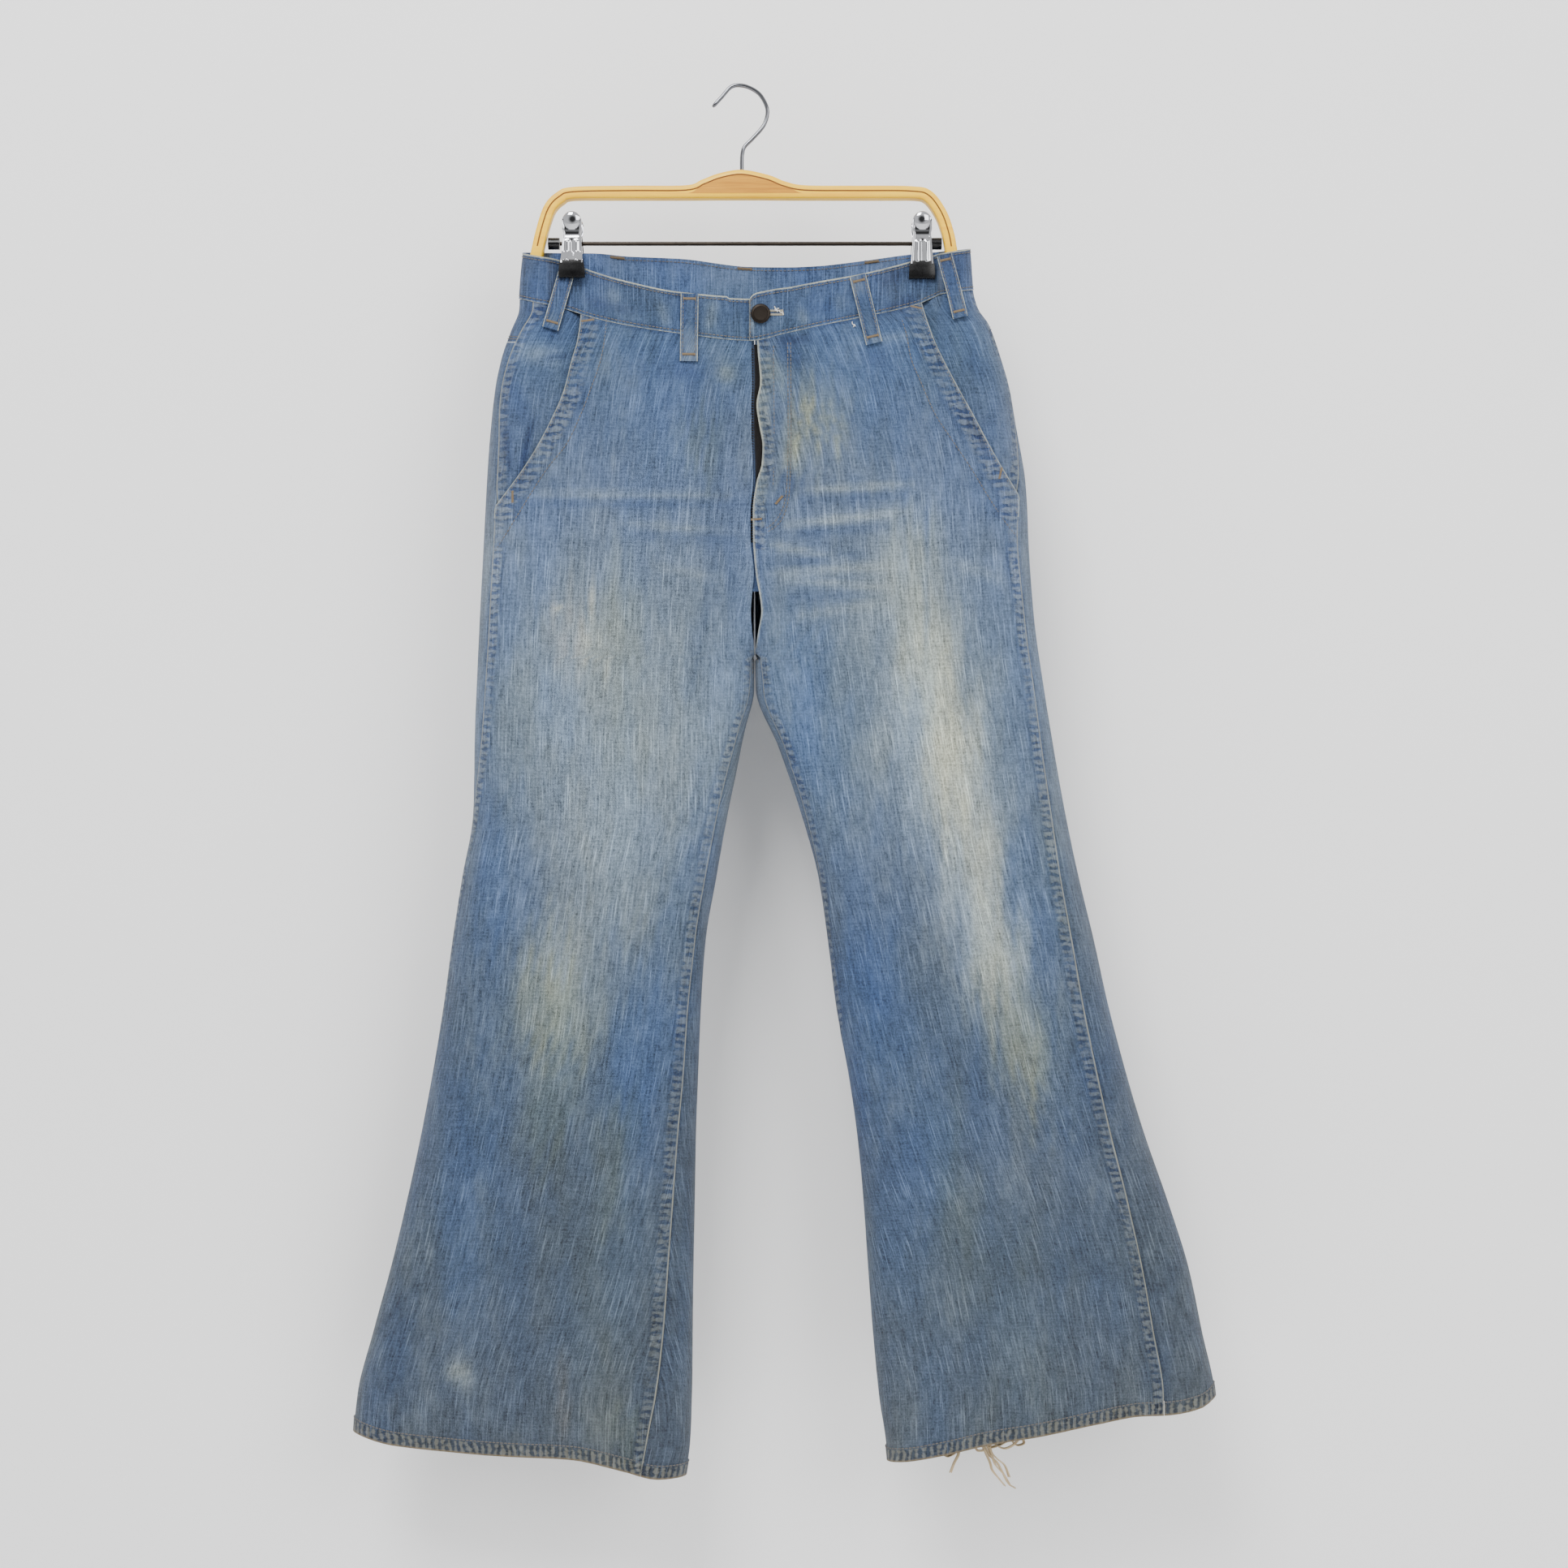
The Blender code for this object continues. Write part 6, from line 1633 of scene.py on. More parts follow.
        normal = np.stack((-slope, np.full_like(slope, -face), np.zeros_like(slope)), axis=-1)
        normal = np.broadcast_to(unit(normal)[:, None, :], middle.shape)
        arc = half.face_arc(int(face), x, drop)
        cloth = Cloth(half, arc, drop, middle, normal)
        side_mm = (0.5 - np.abs(across)) * width * np.ones_like(along)
        cloth.marks["brim"] = side_mm + 0.8
        dent = ease((4.6 - side_mm) / 1.2) * ease(side_mm - 2.2)
        swell = 0.35 * ease((2.4 - side_mm) / 1.4) - 0.3 * dent
        wash = Paint(half, int(face), 0.98).over(cloth)
        piece = cloth_shell(name + "_cloth", cloth, LOOP_WALL, wash, swell)
        self.finishes.dress(piece, "denim_loop")
        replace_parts(piece, name)
        self.cloths[name] = cloth
        return piece


# The second row of stitches down each slanted pocket
POCKET_STITCH = {
    -1: Table("drop x", (
        (206, -120), (217, -121), (239, -124.6), (267, -134), (294, -144.7), (316, -155.5), (338, -172.8),
        (413, -219),
    )),
    1: Table("drop x", (
        (206, 142), (219, 146), (240, 150), (258.5, 157.7), (289.4, 171.4), (312.5, 186.5), (336, 202.3),
        (360.7, 217.4), (382.3, 231.1), (399.6, 244),
    )),
}

# The fly's curved stitching, as X and drop
FLY_STITCHES = (
    ((28.1, 229), (28.1, 250), (28.6, 290), (28.4, 330), (27.6, 356)),
    ((43.2, 226), (43.4, 260), (43.6, 300), (43.0, 340), (41.2, 366), (36.0, 382), (28.0, 391), (19.4, 395.5),
     (12.0, 398.5)),
    ((40.6, 226), (40.8, 260), (41.0, 300), (40.4, 340), (38.6, 364), (33.6, 379), (26.0, 388), (18.0, 392.5),
     (11.6, 395)),
)

# Bar tacks on the panels: side, middle as X and drop, length and lean in degrees from level
BAR_TACKS = Table("side x drop length lean", (
    (-1, -136.8, 206.6, 11, 8), (-1, -203.0, 363.0, 10, 90), (1, 154.8, 195.1, 10, -12),
    (1, 229.0, 342.0, 10, 78), (1, 33.1, 365.8, 9, 50), (1, 13.0, 383.0, 9, 4),
))


def smooth_path(points: Sequence[Sequence[float]], per_step: int) -> Array:
    """Draw a smooth curve through points.

    Args:
        points: The points.
        per_step: How many points are made for each step between two.

    Returns:
        The curve's points.
    """
    points = [np.array(point, float) for point in points]
    ends = [2 * points[0] - points[1]] + points + [2 * points[-1] - points[-2]]
    path = []
    for a, b, c, d in zip(ends, ends[1:], ends[2:], ends[3:]):
        for t in np.linspace(0, 1, per_step, endpoint=False):
            blend = 2 * b + (c - a) * t + (2 * a - 5 * b + 4 * c - d) * t**2
            path.append((blend + (3 * b - a - 3 * c + d) * t**3) / 2)
    path.append(points[-1])
    return np.array(path)


@dataclass
class Sewing:
    """Rows of stitches and bar tacks, each a short raised thread, joined as one piece."""

    name: str
    finish: str
    slot: str
    length: float = 2.6
    pitch: float = 3.4
    width: float = 0.85
    height: float = 0.5
    verts: list[Array] = field(default_factory=list)
    faces: list[tuple[int, ...]] = field(default_factory=list)

    def thread(self, start: Array, end: Array, up: Array, width: float, height: float) -> None:
        """Add one short thread that is raised in its middle.

        Args:
            start: Its first end, in metres.
            end: Its other end.
            up: The direction out of the cloth.
            width: Its width in millimetres.
            height: Its height in millimetres.
        """
        along = end - start
        side = np.cross(along, up)
        side = side / max(float(np.linalg.norm(side)), 1e-9)
        base = len(self.verts)
        for share, size in ((0.0, 0.55), (0.25, 1.0), (0.75, 1.0), (1.0, 0.55)):
            middle = start + along * share
            rise = up * height * MM * size
            half = side * width * MM * 0.5 * size
            self.verts += [middle - half - up * 0.25 * MM, middle - half * 0.7 + rise,
                           middle + half * 0.7 + rise, middle + half - up * 0.25 * MM]
        for ring in range(3):
            a = base + 4 * ring
            self.faces += [(a, a + 1, a + 5, a + 4), (a + 1, a + 2, a + 6, a + 5),
                           (a + 2, a + 3, a + 7, a + 6), (a + 3, a, a + 4, a + 7)]
        self.faces += [(base + 3, base + 2, base + 1, base), (base + 12, base + 13, base + 14, base + 15)]

    def row(self, line: Array, up: Array, skip: float = 0.0) -> None:
        """Sew a row of stitches along a line.

        Args:
            line: Points along the row, in metres.
            up: The direction out of the cloth at each.
            skip: How far in from the line's start the row begins, in millimetres.
        """
        gaps = np.linalg.norm(np.diff(line, axis=0), axis=1)
        run = np.concatenate(((0,), np.cumsum(gaps))) / MM
        place = skip
        while place + self.length < run[-1]:
            ends = [np.array([np.interp(at, run, line[:, axis]) for axis in range(3)])
                    for at in (place, place + self.length)]
            out = np.array([np.interp(place, run, up[:, axis]) for axis in range(3)])
            self.thread(ends[0], ends[1], out / np.linalg.norm(out), self.width, self.height)
            place += self.pitch

    def along(self, cloth: Cloth, height: float, key: object) -> None:
        """Sew a row along part of a laid-out cloth's grid, at a height over its middle."""
        self.row(cloth.raised(height)[key], cloth.normal[key])

    def tack(self, start: Array, end: Array, up: Array, wide: float = 2.2) -> None:
        """Sew a bar tack: close threads across a short line.

        Args:
            start: One end of the line, in metres.
            end: The other end.
            up: The direction out of the cloth.
            wide: The tack's width in millimetres.
        """
        along = end - start
        count = max(int(np.linalg.norm(along) / MM / 0.62), 3)
        side = np.cross(along / np.linalg.norm(along), up) * wide * 0.5 * MM
        for index in range(count):
            middle = start + along * index / (count - 1)
            lean = along / count * 0.4
            self.thread(middle - side - lean, middle + side + lean, up, 0.75, 0.75)

    def build(self, finishes: Finishes) -> bpy.types.Object:
        """Make the piece.

        Args:
            finishes: The finishes.

        Returns:
            The piece.
        """
        piece = mesh_piece(self.name, np.array(self.verts), self.faces)
        smooth(piece, 60)
        return finishes.dress(piece, self.finish, self.slot)


@dataclass
class Needlework:
    """All the sewing that shows: rows, bar tacks, the buttonhole, zip, frays and fluff."""

    legs: dict[int, Legs]
    waist: Waist
    finishes: Finishes

    def on_face(self, half: Half, places: Array, lift: float) -> tuple[Array, Array]:
        """Set places on a front face.

        Args:
            half: The half that they lie on.
            places: Rows of X and drop.
            lift: The height over the cloth's middle in millimetres.

        Returns:
            The points in metres and the directions out of the cloth.
        """
        arc = half.face_arc(1, places[:, 0], places[:, 1])
        normal = half.normal(arc, places[:, 1], True)
        return to_depth(half.surface(arc, places[:, 1], True) + normal * lift), normal

    def leg_rows(self, side: int) -> None:
        """Sew one half's pocket, hem, yoke and patch pocket rows."""
        legs = self.legs[side]
        half = legs.half
        sewing = Sewing(f"stitching_{half.name}_leg", "brown_thread", "denim_front")
        front, back, yoke, pocket = (legs.cloths[key] for key in ("front", "back", "yoke", "back_pocket"))
        edge = front.drop[:, 3] < POCKET_END
        sewing.along(front, PANEL_WALL / 2 + 0.55, (edge, 3))
        table = POCKET_STITCH[side]
        drops = np.linspace(table.values[0, 0], table.values[-1, 0], 60)
        line, up = self.on_face(half, np.stack((table.at("x", drops), drops), 1), PANEL_WALL / 2 + 0.15)
        sewing.row(line, up)
        for cloth in (front, back):
            sewing.along(cloth, PANEL_WALL / 2 + 0.85, -7)
        sewing.along(yoke, PANEL_WALL / 2 + 0.3, -3)
        sewing.along(yoke, PANEL_WALL / 2 + 0.1, -4)
        sewing.along(back, PANEL_WALL / 2, np.s_[:70, -4])
        for key in (np.s_[:, 3], np.s_[:, -4], -4, 9):
            sewing.along(pocket, POCKET_WALL / 2 + 0.3, key)
        sewing.build(self.finishes)

    def band_rows(self) -> None:
        """Sew the band's two rows and the loops' rows and tacks."""
        band = self.waist.cloths["waistband"]
        sewing = Sewing("stitching_band", "brown_thread", "denim_band")
        for index in (3, -4):
            sewing.along(band, BAND_WALL / 2, index)
        inside = band.raised(-BAND_WALL / 2)
        back = slice(150, 290)
        sewing.row(inside[3, back], -band.normal[3, back])
        sewing.along(band, BAND_WALL / 2, np.s_[2:-2, -4])
        sewing.build(self.finishes)
        loops = Sewing("stitching_loops", "brown_thread", "denim_loop", width=0.7)
        tacks = Sewing("bar_tacks_loops", "rust_thread", "denim_loop")
        for name in LOOP_NAMES:
            cloth = self.waist.cloths[name]
            points = cloth.raised(LOOP_WALL / 2)
            for index in (3, -4):
                loops.along(cloth, LOOP_WALL / 2, np.s_[1:-1, index])
            for index in (3, -5):
                tacks.tack(points[index, 3], points[index, -4], cloth.normal[index, 8])
        first, last = BAND_BACK_COLUMNS
        for x in LOOPS.values[4:, 1]:
            column = first + int(np.argmin(np.abs(band.middle[3, first:last, 0] - x)))
            tacks.tack(inside[2, column - 3], inside[2, column + 3], -band.normal[2, column])
        loops.build(self.finishes)
        tacks.build(self.finishes)

    def fly(self) -> None:
        """Sew the fly's rows, the panels' tacks, the buttonhole and the zip."""
        left = self.legs[1].half
        rows = Sewing("stitching_fly", "brown_thread", "denim_front")
        for path in FLY_STITCHES:
            rows.row(*self.on_face(left, smooth_path(path, 8), PANEL_WALL / 2 + 0.3))
        rows.build(self.finishes)
        tacks = Sewing("bar_tacks", "rust_thread", "denim_front")
        for side, x, drop, length, lean in BAR_TACKS.values:
            reach = np.array((math.cos(math.radians(lean)), -math.sin(math.radians(lean)))) * length / 2
            places = np.array(((x, drop) - reach, (x, drop) + reach))
            line, up = self.on_face(self.legs[int(side)].half, places, PANEL_WALL / 2 + 0.6)
            tacks.tack(line[0], line[1], up[0])
        tacks.build(self.finishes)
        hole = Sewing("buttonhole", "pale_thread", "denim_band")
        for share in np.linspace(0, 1, 22):
            for way in (-1, 1):
                x = BUTTONHOLE[0] + BUTTONHOLE_LENGTH * share
                places = np.array([(x, BUTTONHOLE[1] + way * reach) for reach in (0.7, 2.6)])
                line, up = self.on_face(left, places, BAND_WALL / 2 + 0.3)
                hole.thread(line[0], line[1], up[0], 0.8, 0.5)
        line, up = self.on_face(left, np.array(((35.5, 197.2), (36.5, 201.6))), BAND_WALL / 2 + 0.4)
        hole.tack(line[0], line[1], up[0], 1.8)
        hole.build(self.finishes)
        teeth = Sewing("zip_teeth", "antique_metal", "antique_metal")
        for drop in np.arange(*ZIP_DROPS):
            places = np.array([(x, drop) for x in ZIP_EDGES])
            line, up = self.on_face(self.legs[-1].half, places, -PANEL_WALL / 2 - LAP_GAP + 0.2)
            teeth.thread(line[0], line[1], up[0], 1.3, 0.6)
        teeth.build(self.finishes)

    def strand(self, sewing: Sewing, points: Sequence[tuple[float, float, float]], width: float) -> None:
        """Add a loose fibre along points given as X, Y and minus the drop in the outline's plane."""
        line = to_depth(smooth_path(points, 6))
        for start, end in zip(line, line[1:]):
            sewing.thread(start, end + (end - start) * 0.15, np.array((0.0, -1.0, 0.0)), width, width)

    def frays(self) -> None:
        """Hang the frayed threads under the left hem and the fluff by the button and loops."""
        frays = Sewing("hem_frays", "tan_thread", "denim_front")
        y = FRAY_Y
        strands = (
            ((176, 1210), (181, 1214), (187, 1212), (192, 1208), (198, 1205)),
            ((178, 1211), (184, 1208), (190, 1210), (196, 1206)),
            ((193, 1204), (192, 1212), (188, 1220), (185, 1228)),
            ((212, 1202), (216, 1210), (220, 1219), (222, 1226), (228, 1234), (233, 1240)),
            ((214, 1203), (219, 1212), (226, 1219), (231, 1228), (236, 1238), (242, 1242)),
            ((217, 1203), (222, 1214), (225, 1222), (232, 1230), (238, 1240)),
            ((220, 1202), (221, 1210), (226, 1216), (233, 1222), (237, 1232)),
            ((215, 1202), (220, 1206), (228, 1204), (236, 1200), (244, 1199)),
            ((238, 1198), (243, 1204), (250, 1202), (248, 1196)),
            ((224, 1203), (232, 1207), (240, 1204), (246, 1198)),
            ((206, 1205), (210, 1209), (216, 1208)),
        )
        for index, strand in enumerate(strands):
            steps = list(enumerate(strand))
            bend = [(x, y + 1.2 * math.sin(index * 1.7 + step), -drop) for step, (x, drop) in steps]
            near = [(x + 0.9, y - 0.6 + 0.8 * math.cos(index + step), -drop - 0.6)
                    for step, (x, drop) in steps]
            close = [(x - 0.8, y + 0.5, -drop + 0.7 * math.sin(index + step)) for step, (x, drop) in steps]
            for points, width in ((bend, 1.3), (near, 1.0), (close, 0.8)):
                self.strand(frays, points, width)
        frays.build(self.finishes)
        fluff = Sewing("fluff", "white_fluff", "denim_band")
        spots = ((31.0, 197.4, 5), (35.5, 199.6, 3), (99.0, 210.6, 4), (29.0, 195.0, 2))
        left = self.legs[1].half
        for x, drop, count in spots:
            for index in range(count):
                turn = 2.4 * index + x
                reach = 1.2 + 2.4 * ((index * 7) % 5) / 5
                places = [(x + reach * share * math.cos(turn + share),
                           drop + reach * share * math.sin(turn + 1.4 * share))
                          for share in (0.0, 0.35, 0.7, 1.0)]
                line, up = self.on_face(left, np.array(places), BAND_WALL / 2 + 0.9)
                for start, end, out in zip(line, line[1:], up):
                    fluff.thread(start, end, out, 0.7, 0.5)
        fluff.build(self.finishes)

    def build(self) -> None:
        """Sew everything."""
        for side in (-1, 1):
            self.leg_rows(side)
        self.band_rows()
        self.fly()
        self.frays()


# The hook's wire and the frame's outer edge, as X and drop
HOOK_PATH = (
    (-25.9, 17.3), (-18.0, 8.6), (-9.4, -0.6), (0.0, -1.8), (9.4, 1.4), (16.8, 7.2), (22.0, 17.0),
    (22.4, 25.0), (18.8, 34.6), (9.4, 45.4), (2.4, 52.6), (0.4, 59.0), (0.0, 66.0), (0.0, 73.4),
)
FRAME_EDGE = (
    (-187.5, 150.0), (-182.2, 126.7), (-175.0, 105.8), (-164.2, 94.3), (-149.8, 89.3),
    (-100.0, 88.2), (-49.7, 87.8), (-35.3, 82.8), (-20.2, 77.0), (0.0, 73.8), (23.8, 78.5),
    (38.2, 84.2), (56.2, 87.8), (100.0, 88.2), (149.8, 88.6), (167.8, 92.9), (180.7, 109.4),
    (188.0, 129.6), (191.5, 149.0),
)
WIRE_RADIUS = 1.8
FRAME_INSIDE_DROP = 99.4
FRAME_LEG = 10.8
GROOVE_INSET = 5.0
INSERT_ENDS = (-47.0, 53.5)
INSERT_LOW_DROP = 95.4

# The clip's leaf and its rubber boot, as width, depth and height
LEAF_DROPS = (112.5, 158.0)
LEAF_GAP = 0.3
BOOT = (23.6, 4.7, 15.4)
BOOT_TOP_DROP = 155.4


@dataclass
class Hanger:
    """The clips' pressed leaves and rubber boots, the wood's rounded frame and groove, and the hook."""

    finishes: Finishes

    def leaf(self, side: str, word: str, face: int, centre: float, foot: float) -> None:
        """Press one clip leaf: a domed top, ribs with a channel between, and turned edges.

        Args:
            side: The clip's side.
            word: Which leaf it is.
            face: -1 for the front leaf, 1 for the back one.
            centre: The clip's X in millimetres.
            foot: The leaf's depth at its foot.
        """
        top, end = LEAF_DROPS
        turn = np.linspace(0.06, 1, 9) * math.pi / 2
        drops = np.concatenate((top + 8.8 * (1 - np.cos(turn)), np.linspace(123, end, 34)))
        widths = np.interp(drops, (top, 121.3, 128, 131, 136, 147, end),
                           (2, 17.4, 17.4, 15.8, 17.0, 18.6, 20.4))
        widths[:9] = 17.4 * np.sin(turn)
        depth = np.interp(drops, (top, 121, 130, 138.6, 147, 155.6, end),
                          (9.4, 8.4, 7.2, 6.9, 6.2, foot, foot))
        share = np.concatenate(((-1, -0.97, -0.9, -0.82), np.linspace(-0.74, 0.74, 25), (0.82, 0.9, 0.97, 1)))
        across, down = np.meshgrid(share, drops)
        half = widths[:, None] / 2
        dome = 2.6 * np.sqrt(np.clip(1 - (across * half / 7.4) ** 2 - ((down - 119.5) / 7.4) ** 2, 0, 1))
        rib = ease((down - 136.5) / 2.0) * ease((157.5 - down) / 2.0)
        ribs = rib * 1.1 * (np.exp(-((np.abs(across) * half - 4.0) / 2.0) ** 2)
                            - 0.7 * np.exp(-((across * half) / 1.3) ** 2))
        lip = 1.1 * ease((np.abs(across) - 0.80) / 0.14) - 1.6 * ease((np.abs(across) - 0.965) / 0.03)
        waist = -0.6 * np.exp(-((down - 131.5) / 3.0) ** 2)
        out = depth[:, None] + np.maximum(dome, 0) + ribs + lip * ease((down - 114) / 6) + waist
        x = centre + across * half
        outer = np.stack((x, face * (out + 0.35), -down), -1)
        inner = np.stack((x, face * (out - 0.35), -down), -1)
        piece = self.shell(f"clip_{side}_{word}_leaf", outer, inner, face, "chrome")
        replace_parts(piece, f"clip_{side}_{word}")

    def shell(self, name: str, outer: Array, inner: Array, face: int, finish: str,
              slot: str | None = None) -> bpy.types.Object:
        """Close two grids of points into a thin piece, in millimetres."""
        rows, columns = outer.shape[:2]
        index = np.arange(rows * columns).reshape(rows, columns)
        quads = np.stack((index[:-1, :-1], index[1:, :-1], index[1:, 1:], index[:-1, 1:]), -1).reshape(-1, 4)
        rim, after = rim_edges(index)
        edge = np.stack((rim, after, after + index.size, rim + index.size), -1)
        if face > 0:
            quads, edge = quads[:, ::-1], edge[:, ::-1]
        faces = np.concatenate((quads, quads[:, ::-1] + index.size, edge))
        points = np.concatenate((outer.reshape(-1, 3), inner.reshape(-1, 3))) * MM
        piece = mesh_piece(name, points, faces.tolist())
        smooth(piece, 70)
        return self.finishes.dress(piece, finish, slot)

    def boot(self, side: str, word: str, face: int, centre: float, stack: float) -> None:
        """Model one rubber boot with rounded corners and a soft ridge."""
        for other in bpy.context.selected_objects:
            other.select_set(False)
        bpy.ops.mesh.primitive_cube_add(size=1.0)
        piece = bpy.context.active_object
        piece.name = piece.data.name = f"clip_{side}_{word}_boot"
        bpy.ops.object.mode_set(mode="EDIT")
        bpy.ops.mesh.select_all(action="SELECT")
        bpy.ops.transform.resize(value=[size * MM for size in BOOT])
        bpy.ops.mesh.subdivide(number_cuts=3)
        bpy.ops.object.mode_set(mode="OBJECT")
        for vert in piece.data.vertices:
            share = vert.co.z / (BOOT[2] / 2 * MM)
            vert.co.x *= 0.965 - 0.05 * share - 0.04 * share**2
            if vert.co.y * face > 0:
                ridge = 0.4 * math.cos(vert.co.x / MM / 5.5)
                vert.co.y -= face * (0.5 + 0.9 * max(-share, 0) ** 3 - ridge) * MM
        bevel = piece.modifiers.new("round", "BEVEL")
        bevel.width, bevel.segments, bevel.angle_limit = 1.5 * MM, 4, math.radians(50)
        bpy.ops.object.modifier_apply(modifier="round")
        place = (centre, face * (stack + LEAF_GAP + BOOT[1] / 2), -(BOOT_TOP_DROP + BOOT[2] / 2))
        for vert in piece.data.vertices:
            vert.co += Vector([value * MM for value in place])
        smooth(piece, 50)
        self.finishes.dress(piece, "black_rubber")
        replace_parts(piece, f"clip_{side}_jaw_{word}")

    def outline(self) -> tuple[Array, Array, Array]:
        """Return the frame's outer edge, its inner edge and the way in from one to the other."""
        outer = smooth_path(FRAME_EDGE, 8)
        along = unit(np.gradient(outer, axis=0))
        inward = np.stack((-along[:, 1], along[:, 0]), -1)
        leg = ease((np.abs(outer[:, :1]) - 138) / 26)
        flat = np.stack((outer[:, 0], np.full(len(outer), FRAME_INSIDE_DROP)), -1)
        return outer, flat + (outer + inward * FRAME_LEG - flat) * leg, inward

    def wood(self) -> None:
        """Sweep the frame's rounded section from leg to leg, and fit the insert and the groove."""
        outer, inner, inward = self.outline()
        angles = np.linspace(0, 2 * math.pi, 33)[:-1] + math.pi / 32
        square = (np.abs(np.cos(angles)) ** 6 + np.abs(np.sin(angles)) ** 6) ** (-1 / 6)
        share, depth = np.cos(angles) * square, np.sin(angles) * square
        middle, half = (outer + inner) / 2, (inner - outer) / 2
        plane = middle[:, None, :] + half[:, None, :] * share[None, :, None]
        y = np.broadcast_to(depth * WOOD_DEPTH / 2, plane.shape[:2])
        points = np.stack((plane[..., 0], y, -plane[..., 1]), -1)
        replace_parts(self.loft("hanger_frame_bent", points, "pale_wood"), "hanger_frame")
        line = outer + inward * GROOVE_INSET
        keep = slice(3, -3)
        rows = []
        for offset in (0.6, 0.3, -0.3, -0.6):
            x, drop = (line + inward * offset)[keep].T
            rows.append(np.stack((x, np.full_like(x, -WOOD_DEPTH / 2 - 0.14), -drop), -1))
        front = np.stack(rows, 1)
        self.shell("hanger_groove", front, front + np.array((0, 0.5, 0)), -1, "groove_brown", "dark_wood")
        start, end = INSERT_ENDS
        x = np.linspace(start, end, 42)
        top = np.interp(x, line[:, 0], line[:, 1]) + 0.7
        low = np.full_like(x, INSERT_LOW_DROP)
        fade = ease((x - start) / 9) * ease((end - x) / 9)
        top = low - np.maximum(low - top, 0.2) * fade - 0.05
        for word, face in (("front", -1), ("back", 1)):
            grid = np.stack([np.stack((x, np.full_like(x, face * (WOOD_DEPTH / 2 + 0.1)),
                                       -(top + (low - top) * part)), -1) for part in (0, 0.3, 0.7, 1)])
            piece = self.shell(f"frame_insert_{word}", grid, grid - np.array((0, face * 0.6, 0)), face,
                               "dark_wood")
            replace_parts(piece, "frame_insert")

    def loft(self, name: str, points: Array, finish: str, slot: str | None = None) -> bpy.types.Object:
        """Skin rings of points into a closed bar, in millimetres."""
        rows, columns = points.shape[:2]
        faces = []
        for row in range(rows - 1):
            for column in range(columns):
                after = (column + 1) % columns
                faces.append((row * columns + column, row * columns + after,
                              (row + 1) * columns + after, (row + 1) * columns + column))
        faces.append(tuple(range(columns))[::-1])
        faces.append(tuple(range((rows - 1) * columns, rows * columns)))
        piece = mesh_piece(name, points.reshape(-1, 3) * MM, faces)
        shaped = bmesh.new()
        shaped.from_mesh(piece.data)
        bmesh.ops.recalc_face_normals(shaped, faces=shaped.faces)
        shaped.to_mesh(piece.data)
        shaped.free()
        smooth(piece, 60)
        return self.finishes.dress(piece, finish, slot)

    def hook(self) -> None:
        """Bend the hook's wire, with a rounded tip."""
        path = smooth_path([(x, 0.0, -drop) for x, drop in HOOK_PATH], 8)
        along = unit(np.gradient(path, axis=0))
        across = np.cross(along, (0.0, 1.0, 0.0))
        turn = np.linspace(0, 2 * math.pi, 19)[:-1]
        size = np.full(len(path), WIRE_RADIUS)
        size[:3] = (0.9, 1.45, 1.7)
        rings = path[:, None, :] + size[:, None, None] * (
            across[:, None, :] * np.cos(turn)[None, :, None]
            + np.array((0.0, 1.0, 0.0)) * np.sin(turn)[None, :, None])
        # The hook takes the darker copy of the chrome: painted darker reflections
        piece = self.loft("hook_wire", rings, "shaded_chrome", "chrome")
        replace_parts(piece, "hook")

    def build(self) -> None:
        """Make the clips and the wood."""
        held = HELD_HALF_DEPTH + BAND_WALL / 2
        for side, (centre, _), front_stack in (("right", CLIPS[-1], 6.7), ("left", CLIPS[1], held)):
            for face, word, stack in ((-1, "front", front_stack), (1, "back", held)):
                self.leaf(side, word, face, centre, stack + LEAF_GAP + 3.6)
                self.boot(side, word, face, centre, stack)
        self.wood()
        self.hook()


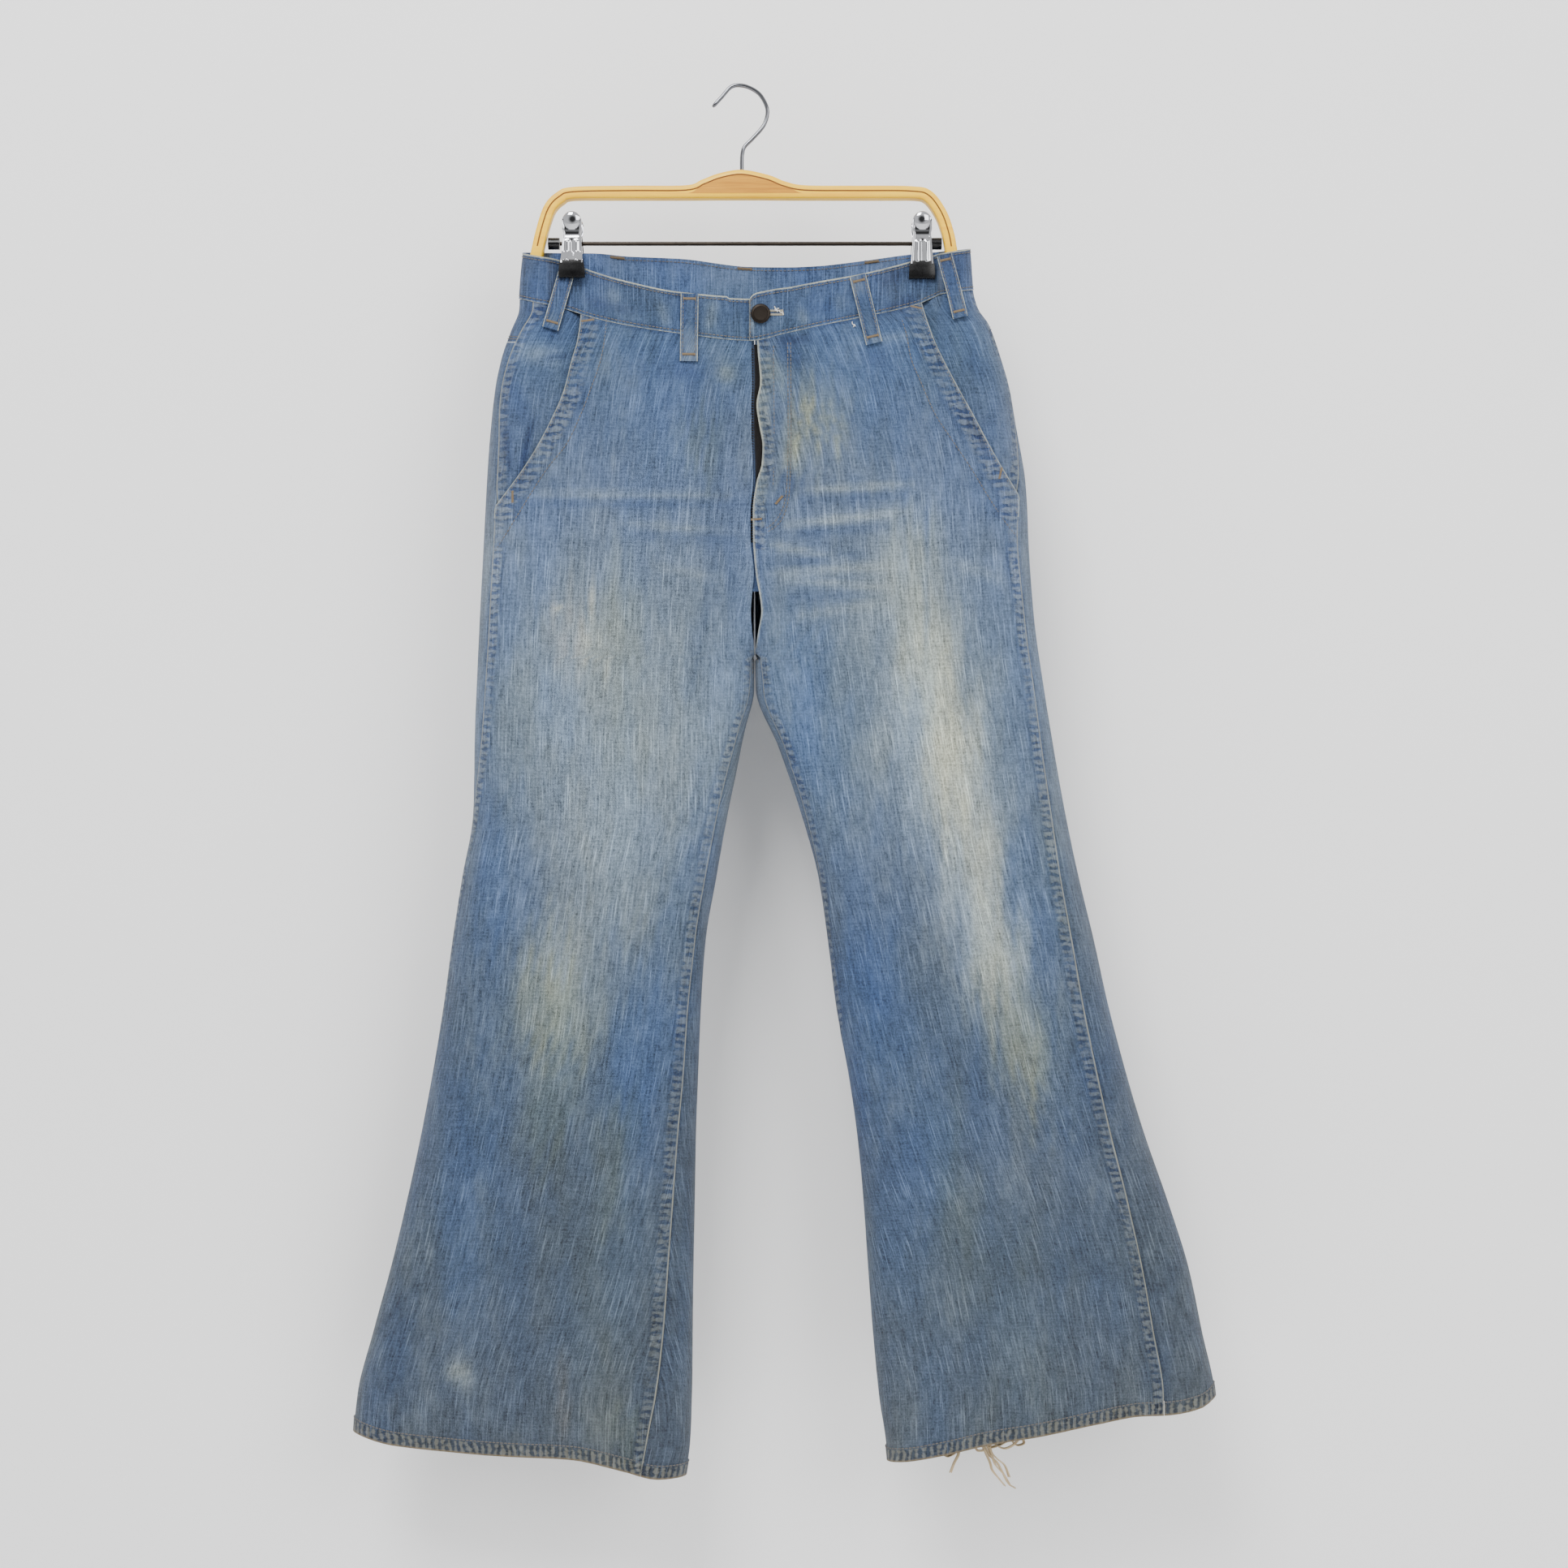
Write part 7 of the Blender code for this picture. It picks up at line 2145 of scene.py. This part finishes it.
@dataclass
class Studio:
    """The pale backdrop and floor, the soft lights and the camera."""

    wall_y: float = 0.12
    floor_z: float = -1.62

    def sweep(self) -> bpy.types.Object:
        """Make the floor and backdrop as one sheet with a rounded corner.

        Returns:
            The sweep.
        """
        profile = [(-2.6, self.floor_z)]
        bend = 0.25
        for angle in np.linspace(0, math.pi / 2, 14):
            profile.append((self.wall_y - bend + bend * math.sin(angle),
                            self.floor_z + bend - bend * math.cos(angle)))
        profile.append((self.wall_y, 2.2))
        points = np.array([(x, y, z) for y, z in profile for x in (-4.0, 4.0)])
        faces = [(2 * i, 2 * i + 1, 2 * i + 3, 2 * i + 2) for i in range(len(profile) - 1)]
        made = mesh_piece("sweep", points, faces)
        made.data.shade_smooth()
        n = Nodes(bpy.data.materials.new("studio_paper"))
        cloud = n.noise(n.put("TexCoord").outputs["Object"], 3.0, 2.0)
        base = n.mix(cloud, colour(247, 247, 247), colour(250, 250, 250))
        out = next(node for node in n.tree.nodes if node.type == "OUTPUT_MATERIAL")
        both = n.put("MixShader", {0: n.put("NewGeometry").outputs["Backfacing"], 1: n.shader.outputs[0],
                                   2: n.put("BsdfTransparent").outputs[0]})
        n.tree.links.new(both.outputs[0], out.inputs["Surface"])
        made.data.materials.append(n.finish(Base_Color=base, Roughness=0.95))
        return made

    def light(self, name: str, place: tuple[float, float, float], size: float, power: float) -> None:
        """Hang a square soft light that faces the jeans."""
        lamp = bpy.data.lights.new(name, "AREA")
        lamp.size, lamp.energy = size, power
        made = bpy.data.objects.new(name, lamp)
        bpy.context.scene.collection.objects.link(made)
        made.location = place
        away = Vector(AIM) - Vector(place)
        made.rotation_euler = away.to_track_quat("-Z", "Y").to_euler()

    def build(self) -> None:
        """Set up the sweep, lights, sky and camera."""
        self.sweep()
        self.light("soft_key", (-0.7, -2.1, 1.6), 1.2, 88)
        self.light("soft_fill", (1.5, -2.3, 0.4), 1.5, 36)
        world = bpy.data.worlds.new("studio")
        bpy.context.scene.world = world
        n = Nodes(world, "Background")
        toward = n.put("TexCoord").outputs["Generated"]
        apart = n.put("VectorMath", {0: toward, 1: (0.0, -1.0, 0.0)}, operation="DISTANCE").outputs["Value"]
        patch = n.put("MapRange", {0: apart, 1: 0.16, 2: 0.5, 3: 0.06, 4: 1.0},
                      interpolation_type="SMOOTHSTEP").outputs[0]
        shown = n.maths("MAXIMUM", patch, n.put("LightPath").outputs["Is Camera Ray"])
        n.finish(Color=shown, Strength=1.0)
        data = bpy.data.cameras.new("camera")
        data.sensor_width = 36.0
        data.lens = 36.0 * EYE_DISTANCE / FRAME_WIDTH
        data.clip_start, data.clip_end = 0.05, 20
        made = bpy.data.objects.new("camera", data)
        bpy.context.scene.collection.objects.link(made)
        made.location = (EYE_X * MM, -EYE_DISTANCE * MM, -EYE_DROP * MM)
        made.rotation_euler = (math.pi / 2, 0, 0)
        bpy.context.scene.camera = made


def main() -> None:
    """Build every piece in order."""
    logging.basicConfig(level=logging.INFO, format="%(message)s")
    Studio().build()
    finishes = Finishes()
    halves = (Half(-1, RIGHT_SECTIONS), Half(1, LEFT_SECTIONS))
    all_legs: dict[int, Legs] = {}
    for half in halves:
        legs = Legs(half, finishes)
        all_legs[half.side] = legs
        for made in (legs.front(), legs.back(), legs.yoke(), legs.facing(), legs.pocket()):
            LOG.info("%s: %d faces", made.name, len(made.data.polygons))
    waist = Waist(halves[0], halves[1], finishes)
    waist.band()
    waist.underlap()
    for name, row in zip(LOOP_NAMES, LOOPS.values):
        waist.loop(name, row)
    Needlework(all_legs, waist, finishes).build()
    Hanger(finishes).build()
    slots = {"hook": "chrome", "hanger_frame": "pale_wood", "frame_insert": "dark_wood", "rod": "dark_steel",
             "button": "antique_metal"}
    for name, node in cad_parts.items():
        if node.hide_render:
            continue
        plain = "dark_steel" if name.endswith("_eye") else "chrome"
        finish = slots.get(name, "black_rubber" if "cap" in name or "jaw" in name else plain)
        node.data.materials.clear()
        node.data.materials.append(finishes.made[finish])


if __name__ == "__main__":
    main()
